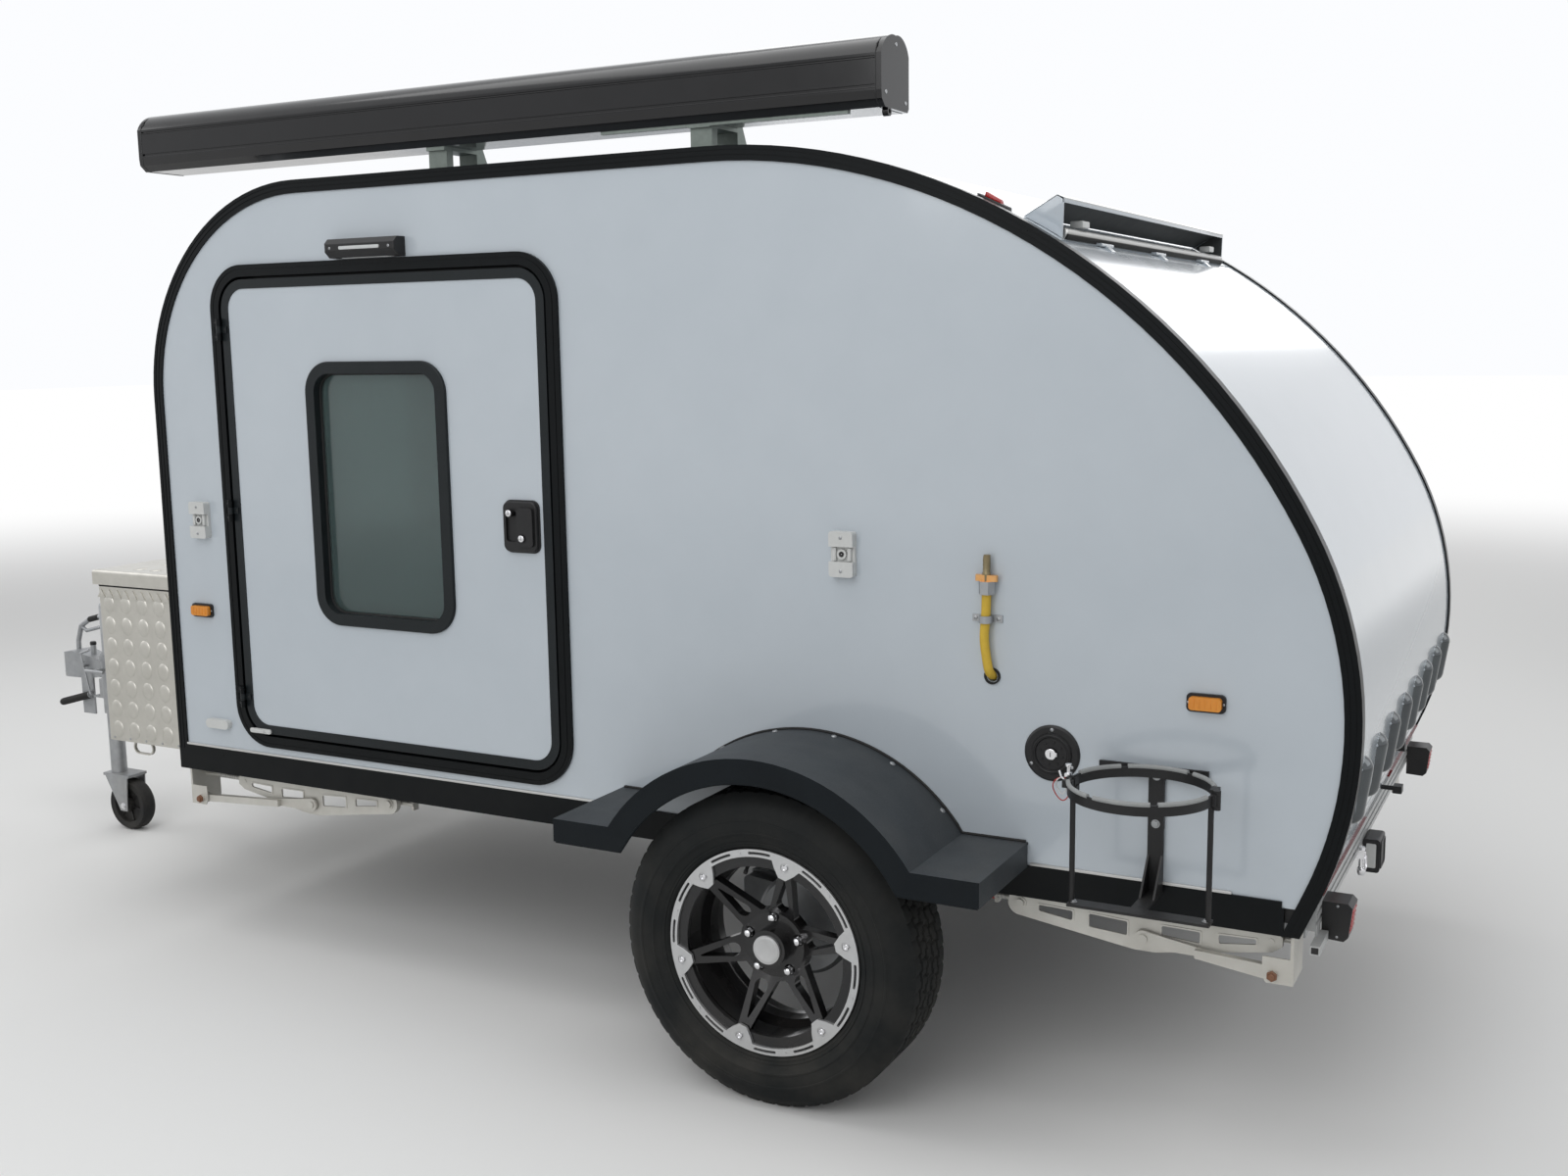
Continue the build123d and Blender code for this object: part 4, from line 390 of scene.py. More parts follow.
GELCOAT = Finish("gelcoat_white", (0.495, 0.545, 0.59), (0.465, 0.515, 0.56), roughness=0.17, coat=0.5,
                 scale=9.0, spread=0.02, dust=0.16)
EDGE_BLACK = Finish("edge_trim_black", (0.0015, 0.0025, 0.003), (0.003, 0.0042, 0.005), roughness=0.3,
                    scale=40.0, dust=0.02, specular=0.13)
FENDER_GREY = Finish("fender_charcoal", (0.040, 0.046, 0.051), (0.031, 0.036, 0.041), roughness=0.52,
                     scale=260.0, bump=0.4, dust=0.08, specular=0.25)
GLASS_TINT = GlassFinish("window_tint", (0.42, 0.56, 0.55), (0.39, 0.53, 0.52), roughness=0.03, spread=0.0,
                         dust=0.0)
FRAME_BLACK = Finish("window_frame_black", (0.008, 0.011, 0.012), (0.012, 0.015, 0.017), roughness=0.42,
                     scale=160.0, bump=0.1, dust=0.03, specular=0.2)
TYRE_RUBBER = Finish("rubber_tread", (0.0065, 0.008, 0.0085), (0.012, 0.013, 0.013), roughness=0.72,
                     scale=90.0, bump=0.3, dust=0.07, specular=0.18)
WHEEL_SILVER = Finish("wheel_silver", (0.56, 0.565, 0.57), (0.48, 0.485, 0.49), metallic=0.7, roughness=0.3,
                      scale=70.0)
WHEEL_BLACK = Finish("wheel_black", (0.006, 0.006, 0.007), (0.010, 0.010, 0.011), roughness=0.2, coat=0.25,
                     scale=50.0, dust=0.04, specular=0.35)
CHROME = Finish("bright_chrome", (0.74, 0.74, 0.75), (0.68, 0.68, 0.70), metallic=1.0, roughness=0.12,
                scale=60.0, dust=0.08)
STEEL_ZINC = Finish("zinc_steel", (0.40, 0.41, 0.42), (0.27, 0.28, 0.29), metallic=0.8, roughness=0.42,
                    scale=38.0, spread=0.1, bump=0.15)
ALUMINIUM = Finish("aluminium_plain", (0.60, 0.60, 0.59), (0.50, 0.50, 0.49), metallic=0.75, roughness=0.34,
                   grain=Grain.BRUSHED)
RAIL_GREY = Finish("rail_mill_grey", (0.46, 0.47, 0.47), (0.38, 0.39, 0.39), metallic=0.35, roughness=0.42,
                   grain=Grain.BRUSHED, scale=50.0)
# Painted reflection: the hatch's swages are pressed in the same pale sheet, and this dark metal colour stands
# in for the darkness they reflect.
SWAGE_PAINTED_REFLECTION = Finish("swage_dark_chrome", (0.11, 0.12, 0.125), (0.08, 0.085, 0.09), metallic=0.9,
                      roughness=0.14, scale=30.0)
STEEL_BLACK = Finish("black_powder_coat", (0.009, 0.009, 0.0095), (0.014, 0.014, 0.015), roughness=0.45,
                     scale=150.0, bump=0.2, dust=0.06, specular=0.3)
AWNING_BLACK = Finish("awning_gloss_black", (0.005, 0.005, 0.0055), (0.008, 0.008, 0.009), roughness=0.16,
                      coat=0.15, scale=20.0, dust=0.05, specular=0.3)
BRACKET_METAL = Finish("bracket_grey_green", (0.20, 0.23, 0.21), (0.14, 0.165, 0.15), metallic=0.5,
                       roughness=0.45, scale=80.0, bump=0.15)
PLASTIC_WHITE = Finish("plastic_white", (0.60, 0.61, 0.60), (0.55, 0.56, 0.55), roughness=0.36, scale=120.0)
PLASTIC_BLACK = Finish("plastic_black", (0.010, 0.010, 0.0105), (0.016, 0.016, 0.017), roughness=0.4,
                       scale=140.0, bump=0.15, dust=0.06, specular=0.3)
RUBBER_GREY = Finish("edging_rubber_grey", (0.30, 0.31, 0.31), (0.24, 0.25, 0.25), roughness=0.62,
                     scale=200.0, bump=0.2)
RUBBER_BLACK = Finish("seal_rubber_black", (0.010, 0.010, 0.0105), (0.017, 0.017, 0.017), roughness=0.66,
                      scale=180.0, bump=0.2, dust=0.08, specular=0.25)
AMBER_LENS = GlassFinish("lens_amber", (0.84, 0.34, 0.045), (0.76, 0.27, 0.03), roughness=0.16, clear=0.12,
                         dust=0.03)
RED_LENS = GlassFinish("lens_red", (0.52, 0.018, 0.018), (0.42, 0.014, 0.014), roughness=0.14, clear=0.12,
                       dust=0.04)
LED_WHITE = GlassFinish("led_diffuser", (0.72, 0.74, 0.74), (0.66, 0.68, 0.68), roughness=0.22, clear=0.2,
                        dust=0.0)
HOSE_YELLOW = Finish("hose_yellow", (0.62, 0.42, 0.035), (0.54, 0.35, 0.03), roughness=0.5, scale=120.0,
                     bump=0.2)
BRASS = Finish("brass_orange", (0.78, 0.44, 0.17), (0.64, 0.33, 0.12), metallic=0.6, roughness=0.3,
               scale=60.0)
BRASS_OLIVE = Finish("brass_olive", (0.25, 0.20, 0.11), (0.17, 0.14, 0.08), metallic=0.7, roughness=0.34,
                     scale=80.0)
RED_PAINT = Finish("red_plastic", (0.40, 0.018, 0.014), (0.33, 0.014, 0.012), roughness=0.35, scale=60.0)
PLY = Finish("birch_ply", (0.52, 0.36, 0.21), (0.42, 0.27, 0.14), roughness=0.5, grain=Grain.BRUSHED,
             scale=20.0)
FABRIC = FabricFinish("mattress_fabric", (0.42, 0.43, 0.45), (0.34, 0.35, 0.37), roughness=0.9, scale=300.0,
                      dust=0.0)
PIPING = Finish("mattress_piping", (0.13, 0.135, 0.145), (0.10, 0.105, 0.115), roughness=0.8, scale=400.0,
                bump=0.4, dust=0.0)
# Painted shade: a darker black on the fenders' outward band and hem, standing in for the shade that falls
# there while the top is lit.
FENDER_BAND_PAINTED_SHADE = Finish("fender_band", (0.007, 0.010, 0.0125), (0.005, 0.007, 0.009), roughness=0.5, scale=260.0,
                     bump=0.4, dust=0.02, specular=0.12)
STRIP_RED = Finish("reflector_red", (0.20, 0.010, 0.012), (0.14, 0.008, 0.010), roughness=0.25, scale=300.0,
                   bump=0.3)
# Painted shade: a dark grey for sheets inside the hood, standing in for the shade under its top and inside
# its cheeks.
HOOD_PAINTED_SHADE_GREY = Finish("hood_lining_grey", (0.045, 0.050, 0.050), (0.032, 0.036, 0.036), roughness=0.55,
                     scale=30.0, dust=0.1)
BOLT_BROWN = Finish("bolt_brown", (0.22, 0.085, 0.035), (0.15, 0.060, 0.028), metallic=0.3, roughness=0.6,
                    scale=120.0, bump=0.3)
STEEL_CREAM = Finish("pressed_steel_pale", (0.62, 0.61, 0.57), (0.50, 0.49, 0.45), metallic=0.45,
                     roughness=0.36, scale=26.0, spread=0.09, bump=0.08, dust=0.35)
CHEQUER = Finish("moulded_box_metal", (0.56, 0.545, 0.50), (0.45, 0.44, 0.40), metallic=0.7, roughness=0.34,
                 scale=34.0, spread=0.08)

NODE_FINISH: dict[str, Finish] = {
    "chassis": STEEL_ZINC, "axle": STEEL_ZINC, "floor": PLASTIC_BLACK, "mattress": FABRIC,
    "side_wall_left": GELCOAT, "side_wall_right": GELCOAT, "roof": GELCOAT, "apron": GELCOAT,
    "hatch_panel": GELCOAT, "bulkhead": PLY, "galley": PLY, "edge_trims": EDGE_BLACK,
    "door_frames": EDGE_BLACK, "door_leaf": GELCOAT, "door_trim": FRAME_BLACK, "door_glass": GLASS_TINT,
    "door_handle": PLASTIC_BLACK,
    "fenders": FENDER_GREY, "awning_case": AWNING_BLACK, "awning_brackets": BRACKET_METAL, "hood": ALUMINIUM,
    "toolbox": CHEQUER, "toolbox_lid": CHEQUER, "coupling": STEEL_ZINC, "jockey": STEEL_ZINC,
    "jockey_wheel": RUBBER_BLACK, "steady_brackets": STEEL_CREAM, "strut": STEEL_CREAM, "leg": STEEL_CREAM,
    "marker_lamps": AMBER_LENS, "porch_lamps": PLASTIC_BLACK, "tail_lamps": PLASTIC_BLACK,
    "tail_rails": RAIL_GREY, "tail_latch": PLASTIC_BLACK, "gas_holder": STEEL_BLACK, "gas_gate": STEEL_BLACK,
    "wall_brackets": PLASTIC_WHITE, "water_filler": PLASTIC_BLACK, "gas_hose": HOSE_YELLOW,
    "hose_fittings": BRASS, "tyre": TYRE_RUBBER, "rim": WHEEL_BLACK, "wheel_ring": WHEEL_SILVER,
}


def finish_of(node: str) -> Finish:
    """Finish of a CAD node, by the longest entry that its name starts with."""
    best = max((key for key in NODE_FINISH if node.startswith(key)), key=len)
    return NODE_FINISH[best]


@dataclass
class Studio:
    """Floor, lights, world and camera."""

    eye: Point = (at(-1.4308), 3.5647, 1.4867)
    right: Point = (-0.88500, -0.46540, -0.01420)
    up: Point = (0.05779, -0.14007, 0.98845)
    look: Point = (0.46206, -0.87392, -0.15085)
    lens: float = 36.67
    floor_half: float = 60.0
    floor_colour: Colour = (0.80, 0.80, 0.79)
    floor_rough: float = 0.9
    fade: Flat = (4.5, 13.0)
    sky: float = 0.34
    sky_colour: Colour = (0.97, 0.98, 1.0)
    aim: Point = (0.0, 0.0, 0.9)
    sensor: float = 36.0
    clip: Flat = (0.05, 400.0)
    lamps: tuple[tuple[str, Point, float, float], ...] = (
        ("key_panel", (-0.8, 5.6, 4.4), 5.0, 150.0), ("top_panel", (0.3, 0.4, 6.2), 5.0, 130.0),
        ("front_panel", (5.8, 1.6, 3.6), 4.0, 60.0), ("rear_panel", (-5.8, -0.6, 3.8), 4.0, 70.0),
        ("far_panel", (0.5, -6.0, 4.4), 5.0, 80.0))

    def build(self) -> None:
        """Makes the whole set."""
        self.make_floor()
        self.make_world()
        self.make_lamps()
        self.make_camera()

    def make_floor(self) -> None:
        """Lays a large pale floor that fades to white far off."""
        mesh = bpy.data.meshes.new("studio_floor")
        half = self.floor_half
        corners = [(-half, -half, 0), (half, -half, 0), (half, half, 0), (-half, half, 0)]
        mesh.from_pydata(corners, [], [(0, 1, 2, 3)])
        floor = bpy.data.objects.new("studio_floor", mesh)
        bpy.context.scene.collection.objects.link(floor)
        made = bpy.data.materials.new("studio_floor")
        made.use_nodes = True
        bench = NodeBench(made.node_tree)
        nodes = made.node_tree.nodes
        plain = bench.fill(nodes["Principled BSDF"],
                           {"Base Color": self.floor_colour, "Roughness": self.floor_rough})
        white = bench.add("ShaderNodeEmission", {"Strength": 1.0})
        place = bench.add("ShaderNodeTexCoord").outputs["Object"]
        far = bench.add("ShaderNodeVectorMath", {0: place}, operation="LENGTH").outputs["Value"]
        fade = bench.add("ShaderNodeMapRange",
                         {"From Min": self.fade[0], "From Max": self.fade[1], "Value": far},
                         interpolation_type="SMOOTHSTEP")
        share = bench.maths("MULTIPLY", fade.outputs[0], self.seen(bench))
        mix = bench.add("ShaderNodeMixShader", {0: share, 1: plain.outputs[0], 2: white.outputs[0]})
        bench.join(mix.outputs[0], nodes["Material Output"].inputs["Surface"])
        floor.data.materials.append(made)

    @staticmethod
    def seen(bench: NodeBench) -> bpy.types.NodeSocket:
        """Tells the rays that show the background, straight, mirrored or through glass.

        Args:
            bench: the bench of the tree that asks.

        Returns:
            1 for such a ray and 0 for the others.
        """
        path = bench.add("ShaderNodeLightPath")
        straight = bench.maths("MAXIMUM", path.outputs["Is Camera Ray"], path.outputs["Is Glossy Ray"])
        return bench.maths("MAXIMUM", straight, path.outputs["Is Transmission Ray"])

    def make_world(self) -> None:
        """Makes even pale surroundings, white where they are seen."""
        world = bpy.data.worlds.new("studio")
        bpy.context.scene.world = world
        world.use_nodes = True
        bench = NodeBench(world.node_tree)
        extra = bench.maths("MULTIPLY", self.seen(bench), 1.0 - self.sky)
        bench.fill(world.node_tree.nodes["Background"],
                   {"Color": self.sky_colour, "Strength": bench.maths("ADD", extra, self.sky)})

    def make_lamps(self) -> None:
        """Hangs soft square panels round the trailer."""
        for name, place, size, power in self.lamps:
            data = bpy.data.lights.new(name, "AREA")
            data.shape, data.size, data.energy = "SQUARE", size, power
            lamp = bpy.data.objects.new(name, data)
            lamp.location = place
            lamp.rotation_mode = "QUATERNION"
            lamp.rotation_quaternion = (Vector(self.aim) - Vector(place)).to_track_quat("-Z", "Y")
            bpy.context.scene.collection.objects.link(lamp)

    def make_camera(self) -> None:
        """Sets the camera at the photograph's angle."""
        data = bpy.data.cameras.new("studio_camera")
        data.sensor_fit, data.sensor_width, data.lens = "HORIZONTAL", self.sensor, self.lens
        data.clip_start, data.clip_end = self.clip
        camera = bpy.data.objects.new("studio_camera", data)
        right, up, look = Vector(self.right), Vector(self.up), Vector(self.look)
        turn = Matrix((right, up, -look)).transposed().normalized()
        camera.matrix_world = Matrix.Translation(self.eye) @ turn.to_4x4()
        bpy.context.scene.collection.objects.link(camera)
        bpy.context.scene.camera = camera


class Side(Enum):
    """Left or right of the trailer."""

    LEFT = 1.0
    RIGHT = -1.0

    @property
    def tag(self) -> str:
        """The word that names of pieces and bodies end in."""
        return self.name.lower()


class Lay(Enum):
    """Planes that an outline is drawn in, with the axis it is pushed out along."""

    SIDE = (0, 2, 1)
    LEVEL = (0, 1, 2)


def rounded(x: Flat, z: Flat, radius: float, steps: int = 5) -> list[Flat]:
    """Outline of a rectangle with round corners.

    Args:
        x: low and high end along the first axis.
        z: low and high end along the second axis.
        radius: radius of the corners.
        steps: points in each corner.

    Returns:
        The outline's points in order.
    """
    corners = ((x[1] - radius, z[1] - radius, 0.0), (x[0] + radius, z[1] - radius, 90.0),
               (x[0] + radius, z[0] + radius, 180.0), (x[1] - radius, z[0] + radius, 270.0))
    outline = []
    for cx, cz, start in corners:
        for i in range(steps):
            a = math.radians(start + 90.0 * i / (steps - 1))
            outline.append((cx + radius * math.cos(a), cz + radius * math.sin(a)))
    return outline


@dataclass
class Forge:
    """Collects shapes in one mesh and hands it over as a finished piece.

    Shapes are given for the left side; a piece for the right side is mirrored when it is handed over.
    """

    name: str
    finish: Finish
    body: str = "trailer"
    side: Side = Side.LEFT
    sharp: float = 0.6
    bm: bmesh.types.BMesh = field(default_factory=bmesh.new)

    def band(self, low: Ring, high: Ring) -> list[bmesh.types.BMFace]:
        """Joins two rings of as many points with a closed band of faces."""
        following = [(k + 1) % len(low) for k in range(len(low))]
        return [self.bm.faces.new((low[k], low[j], high[j], high[k])) for k, j in enumerate(following)]

    def block(self, x: Flat, y: Flat, z: Flat, bevel: float = 0.0008, segments: int = 2) -> "Forge":
        """Adds a block with rounded edges.

        Args:
            x: low and high end along X.
            y: low and high end along Y.
            z: low and high end along Z.
            bevel: width of the rounded edges.
            segments: steps in each rounded edge.

        Returns:
            This forge.
        """
        return self.prism([(x[0], z[0]), (x[1], z[0]), (x[1], z[1]), (x[0], z[1])], Lay.SIDE, y, bevel,
                          segments)

    def prism(self, outline: Iterable[Flat], lay: Lay, depth: Flat, bevel: float = 0.0,
              segments: int = 2) -> "Forge":
        """Adds an outline pushed out between two depths.

        Args:
            outline: points in the plane.
            lay: the plane.
            depth: low and high end along the axis square to it.
            bevel: width of the rounded edges, or 0.
            segments: steps in each rounded edge.

        Returns:
            This forge.
        """
        first, second, along = lay.value
        rings = []
        for d in depth:
            ring = []
            for u, v in outline:
                place = [0.0, 0.0, 0.0]
                place[first], place[second], place[along] = u, v, d
                ring.append(self.bm.verts.new(place))
            rings.append(ring)
        faces = [self.bm.faces.new(rings[0][::-1]), self.bm.faces.new(rings[1]), *self.band(*rings)]
        bmesh.ops.recalc_face_normals(self.bm, faces=faces)
        if bevel > 0.0:
            sharp = [edge for face in faces for edge in face.edges if edge.calc_face_angle(0.0) > self.sharp]
            bmesh.ops.bevel(self.bm, geom=list(dict.fromkeys(sharp)), offset=bevel, segments=segments,
                            profile=0.6, affect="EDGES", clamp_overlap=True)
        return self

    def lathe(self, profile: Iterable[Flat], centre: Point, axis: Point = OUT, steps: int = 32) -> "Forge":
        """Adds a turned shape.

        Args:
            profile: (radius, height) points from the foot to the top.
            centre: where height is 0 on the axis.
            axis: direction of height.
            steps: sides round the axis.

        Returns:
            This forge.
        """
        turn = Vector(axis).to_track_quat("Z", "X").to_matrix()
        rings = []
        for radius, height in profile:
            ring = []
            for i in range(steps if radius > 1e-6 else 1):
                a = 2.0 * math.pi * i / steps
                ring.append(self.bm.verts.new(
                    Vector(centre) + turn @ Vector((radius * math.cos(a), radius * math.sin(a), height))))
            rings.append(ring)
        for low, high in zip(rings, rings[1:]):
            for i in range(steps):
                j = (i + 1) % steps
                corners = [low[i % len(low)], low[j % len(low)], high[j % len(high)], high[i % len(high)]]
                kept = [v for k, v in enumerate(corners) if v not in corners[:k]]
                if len(kept) > 2:
                    self.bm.faces.new(kept)
        for ring, back in ((rings[0], True), (rings[-1], False)):
            if len(ring) > 1:
                self.bm.faces.new(ring[::-1] if back else ring)
        return self

    def tube(self, points: Iterable[Point], radius: float, sides: int = 12, closed: bool = False) -> "Forge":
        """Adds a round bar along a line.

        Args:
            points: the line.
            radius: radius of the bar.
            sides: sides round the bar.
            closed: whether the line comes back to its start.

        Returns:
            This forge.
        """
        line = [Vector(p) for p in points]
        count = len(line)
        rings = []
        normal = None
        for i, p in enumerate(line):
            ahead = line[(i + 1) % count] if closed or i + 1 < count else p
            behind = line[i - 1] if closed or i > 0 else p
            run = (ahead - behind).normalized()
            if normal is None:
                normal = run.orthogonal().normalized()
            normal = (normal - run * normal.dot(run)).normalized()
            other = run.cross(normal)
            turns = [2 * math.pi * k / sides for k in range(sides)]
            spots = [p + radius * (math.cos(a) * normal + math.sin(a) * other) for a in turns]
            rings.append([self.bm.verts.new(spot) for spot in spots])
        for low, high in zip(rings, rings[1:] + rings[:1] if closed else rings[1:]):
            self.band(low, high)
        if not closed:
            self.bm.faces.new(rings[0][::-1])
            self.bm.faces.new(rings[-1])
        return self

    def screw(self, place: Point, radius: float, high: float = 0.0018) -> "Forge":
        """Adds a domed screw head with a round recess, facing out."""
        return self.lathe([(r * radius, h * high) for r, h in SCREW_HEAD], place, OUT, 16)

    def bolt(self, place: Point, radius: float, axis: Point, high: float) -> "Forge":
        """Adds a hexagon head with a chamfered crown on a washer.

        Args:
            place: where the washer lies.
            radius: radius of the hexagon.
            axis: direction that the head points in.
            high: height of the head.

        Returns:
            This forge.
        """
        for profile, steps in ((WASHER, 24), (HEX_HEAD, 6)):
            self.lathe([(r * radius, h * high) for r, h in profile], place, axis, steps)
        return self

    def done(self, smooth: float = 32.0) -> Mesh:
        """Hands the piece over, on its body and in its finish.

        Args:
            smooth: largest angle in degrees that is shaded smooth.

        Returns:
            The finished object.
        """
        bmesh.ops.recalc_face_normals(self.bm, faces=self.bm.faces)
        if self.side is Side.RIGHT:
            for vert in self.bm.verts:
                vert.co.y = -vert.co.y
            bmesh.ops.reverse_faces(self.bm, faces=self.bm.faces)
        mesh = bpy.data.meshes.new(self.name)
        self.bm.to_mesh(mesh)
        self.bm.free()
        mesh.shade_smooth()
        mesh.set_sharp_from_angle(angle=math.radians(smooth))
        mesh.materials.append(self.finish.material())
        made = bpy.data.objects.new(self.name, mesh)
        bpy.context.scene.collection.objects.link(made)
        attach(made, self.body)
        LOG.info("%s: %d faces in %s on %s", self.name, len(mesh.polygons), self.finish.name, self.body)
        return made


def forge(name: str, finish: Finish, side: Side, body: str = "") -> Forge:
    """Starts a piece that exists once on each side; body is the left body's name without its side."""
    return Forge("%s_%s" % (name, side.tag), finish, "%s_%s" % (body, side.tag) if body else "trailer", side)


@dataclass
class Tyre:
    """Road tyre with zigzag grooves, fine shoulder slots and sidewall ribs."""

    side: Side
    centre: Point = (AXLE_X, 0.8875, 0.3175)
    outer: float = 0.3175
    tread_half: float = 0.068
    across: int = 46
    pitches: int = 58
    cells: int = 6
    grooves: tuple[float, ...] = (-0.040, -0.0135, 0.0135, 0.040)
    groove_half: float = 0.0027
    groove_deep: float = 0.0075
    zigzag: float = 0.0032
    shoulder: float = 0.300
    block_edge: float = 0.046
    sipe_band: Flat = (0.018, 0.036)
    middle_rib: float = 0.008
    slot_share: float = 0.12
    block_share: float = 0.3
    sipe_share: float = 0.45
    wall: Profile = (
        (0.1905, 0.0725), (0.206, 0.0735), (0.2125, 0.084), (0.216, 0.0872), (0.2185, 0.0872),
        (0.2195, 0.0892), (0.2235, 0.0905), (0.2245, 0.0893), (0.232, 0.0925), (0.240, 0.0952),
        (0.2412, 0.0968), (0.2440, 0.0970), (0.2452, 0.0958), (0.258, 0.0968), (0.266, 0.0966),
        (0.267, 0.0975), (0.2705, 0.0973), (0.2715, 0.0962), (0.280, 0.0945), (0.288, 0.0918),
        (0.2945, 0.0885), (0.3005, 0.0842), (0.3062, 0.0790), (0.3115, 0.0735))

    def build(self) -> Mesh:
        """Builds the tyre in place of the plain one.

        Returns:
            The finished tyre.
        """
        work = forge("tyre_treaded", TYRE_RUBBER, self.side, "wheel")
        section = self.section()
        steps = self.pitches * self.cells
        rings = []
        for i in range(steps):
            a = 2.0 * math.pi * i / steps
            ring = []
            for radius, y in section:
                r = radius - self.depth(radius, y, i)
                ring.append(work.bm.verts.new((self.centre[0] + r * math.cos(a), self.centre[1] + y,
                                               self.centre[2] + r * math.sin(a))))
            rings.append(ring)
        for low, high in zip(rings, rings[1:] + rings[:1]):
            work.band(low, high)
        made = work.done(TREAD)
        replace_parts(made, "tyre_" + self.side.tag)
        return made

    def section(self) -> list[Flat]:
        """Lays out the closed section: inside face, ribbed sidewalls, shoulders and tread.

        Returns:
            (radius, y) points round the section.
        """
        tread = [(self.outer, self.tread_half - 2.0 * self.tread_half * i / self.across)
                 for i in range(self.across + 1)]
        return [*self.wall, *tread, *((r, -y) for r, y in reversed(self.wall))]

    def depth(self, radius: float, y: float, step: int) -> float:
        """Depth of the pattern at a point of the tread or shoulder.

        Args:
            radius: the section's radius there.
            y: distance from the tyre's middle.
            step: which step round the tyre.

        Returns:
            How far the surface lies below the section.
        """
        phase = step % self.cells
        half = self.cells // 2
        side_step = (step + (half if y < 0 else 0)) % self.cells
        swing = self.zigzag if phase < half else -self.zigzag
        share = 0.0
        if radius < self.outer:
            share = self.slot_share if radius > self.shoulder and side_step == 0 else 0.0
        elif any(abs(y - middle - swing) < self.groove_half for middle in self.grooves):
            share = 1.0
        elif abs(y) > self.block_edge and side_step == 0:
            share = self.block_share
        elif self.sipe_band[0] < abs(y) < self.sipe_band[1] and side_step == 2:
            share = self.sipe_share
        elif abs(y) < self.middle_rib and phase == 4:
            share = self.sipe_share
        return self.groove_deep * share


@dataclass
class WheelDress:
    """Chrome nuts, ring bolts, valve and blank cap of one wheel."""

    side: Side
    centre: Point = (AXLE_X, 0.8875, 0.3175)
    stud_circle: float = 0.05715
    stud_count: int = 5
    nut_hex: Profile = ((0.0102, 0.021), (0.0102, 0.037), (0.008976, 0.0395))
    nut_dome: Profile = ((0.0082, 0.037), (0.0082, 0.043), (0.0068, 0.0465), (0.0038, 0.0485), (0.0, 0.0490))
    bolt_circle: float = 0.187
    bolt_count: int = 6
    bolt_turn: float = 46.5
    bolt_head: Profile = ((0.0058, 0.0855), (0.0060, 0.0875), (0.0052, 0.0886), (0.0030, 0.0888),
                          (0.0028, 0.0866), (0.0, 0.0866))
    cap: Profile = ((0.0265, 0.0668), (0.0265, 0.0678), (0.0245, 0.0684), (0.021, 0.0680), (0.018, 0.0674),
                    (0.0, 0.0672))
    valve_turn: float = 76.5
    valve_foot: Flat = (0.1765, 0.052)
    valve_mouth: Flat = (0.160, 0.078)
    valve_stem: Profile = ((0.0065, 0.0), (0.0045, 0.006), (0.0036, 0.018), (0.0036, 0.024), (0.0042, 0.025),
                           (0.0042, 0.032), (0.0, 0.0328))

    def spot(self, ring: float, degrees: float, out: float = 0.0) -> Point:
        """Point on a circle round the axle, out from the wheel's middle."""
        turn = math.radians(degrees if self.side is Side.LEFT else 180.0 - degrees)
        x, y, z = self.centre
        return (x + ring * math.cos(turn), y + out, z + ring * math.sin(turn))

    def build(self) -> None:
        """Builds the bright parts, the valve and the cap."""
        nuts = forge("lug_nuts", CHROME, self.side, "wheel")
        for i in range(self.stud_count):
            place = self.spot(self.stud_circle, 90.0 + 360.0 / self.stud_count * i)
            nuts.lathe(self.nut_hex, place, steps=6).lathe(self.nut_dome, place, steps=20)
        nuts.done()
        bolts = forge("ring_bolts", CHROME, self.side, "wheel")
        for i in range(self.bolt_count):
            turn = self.bolt_turn + 360.0 / self.bolt_count * i
            bolts.lathe(self.bolt_head, self.spot(self.bolt_circle, turn), steps=20)
        bolts.done()
        face = forge("hub_cap_face", WHEEL_SILVER, self.side, "wheel")
        face.lathe(self.cap, self.centre, steps=48).done(HEX)
        ends = (self.valve_foot, self.valve_mouth)
        foot, mouth = (Vector(self.spot(ring, self.valve_turn, out)) for ring, out in ends)
        valve = forge("tyre_valve", RUBBER_BLACK, self.side, "wheel")
        valve.lathe(self.valve_stem, tuple(foot), tuple((mouth - foot).normalized()), 16).done()


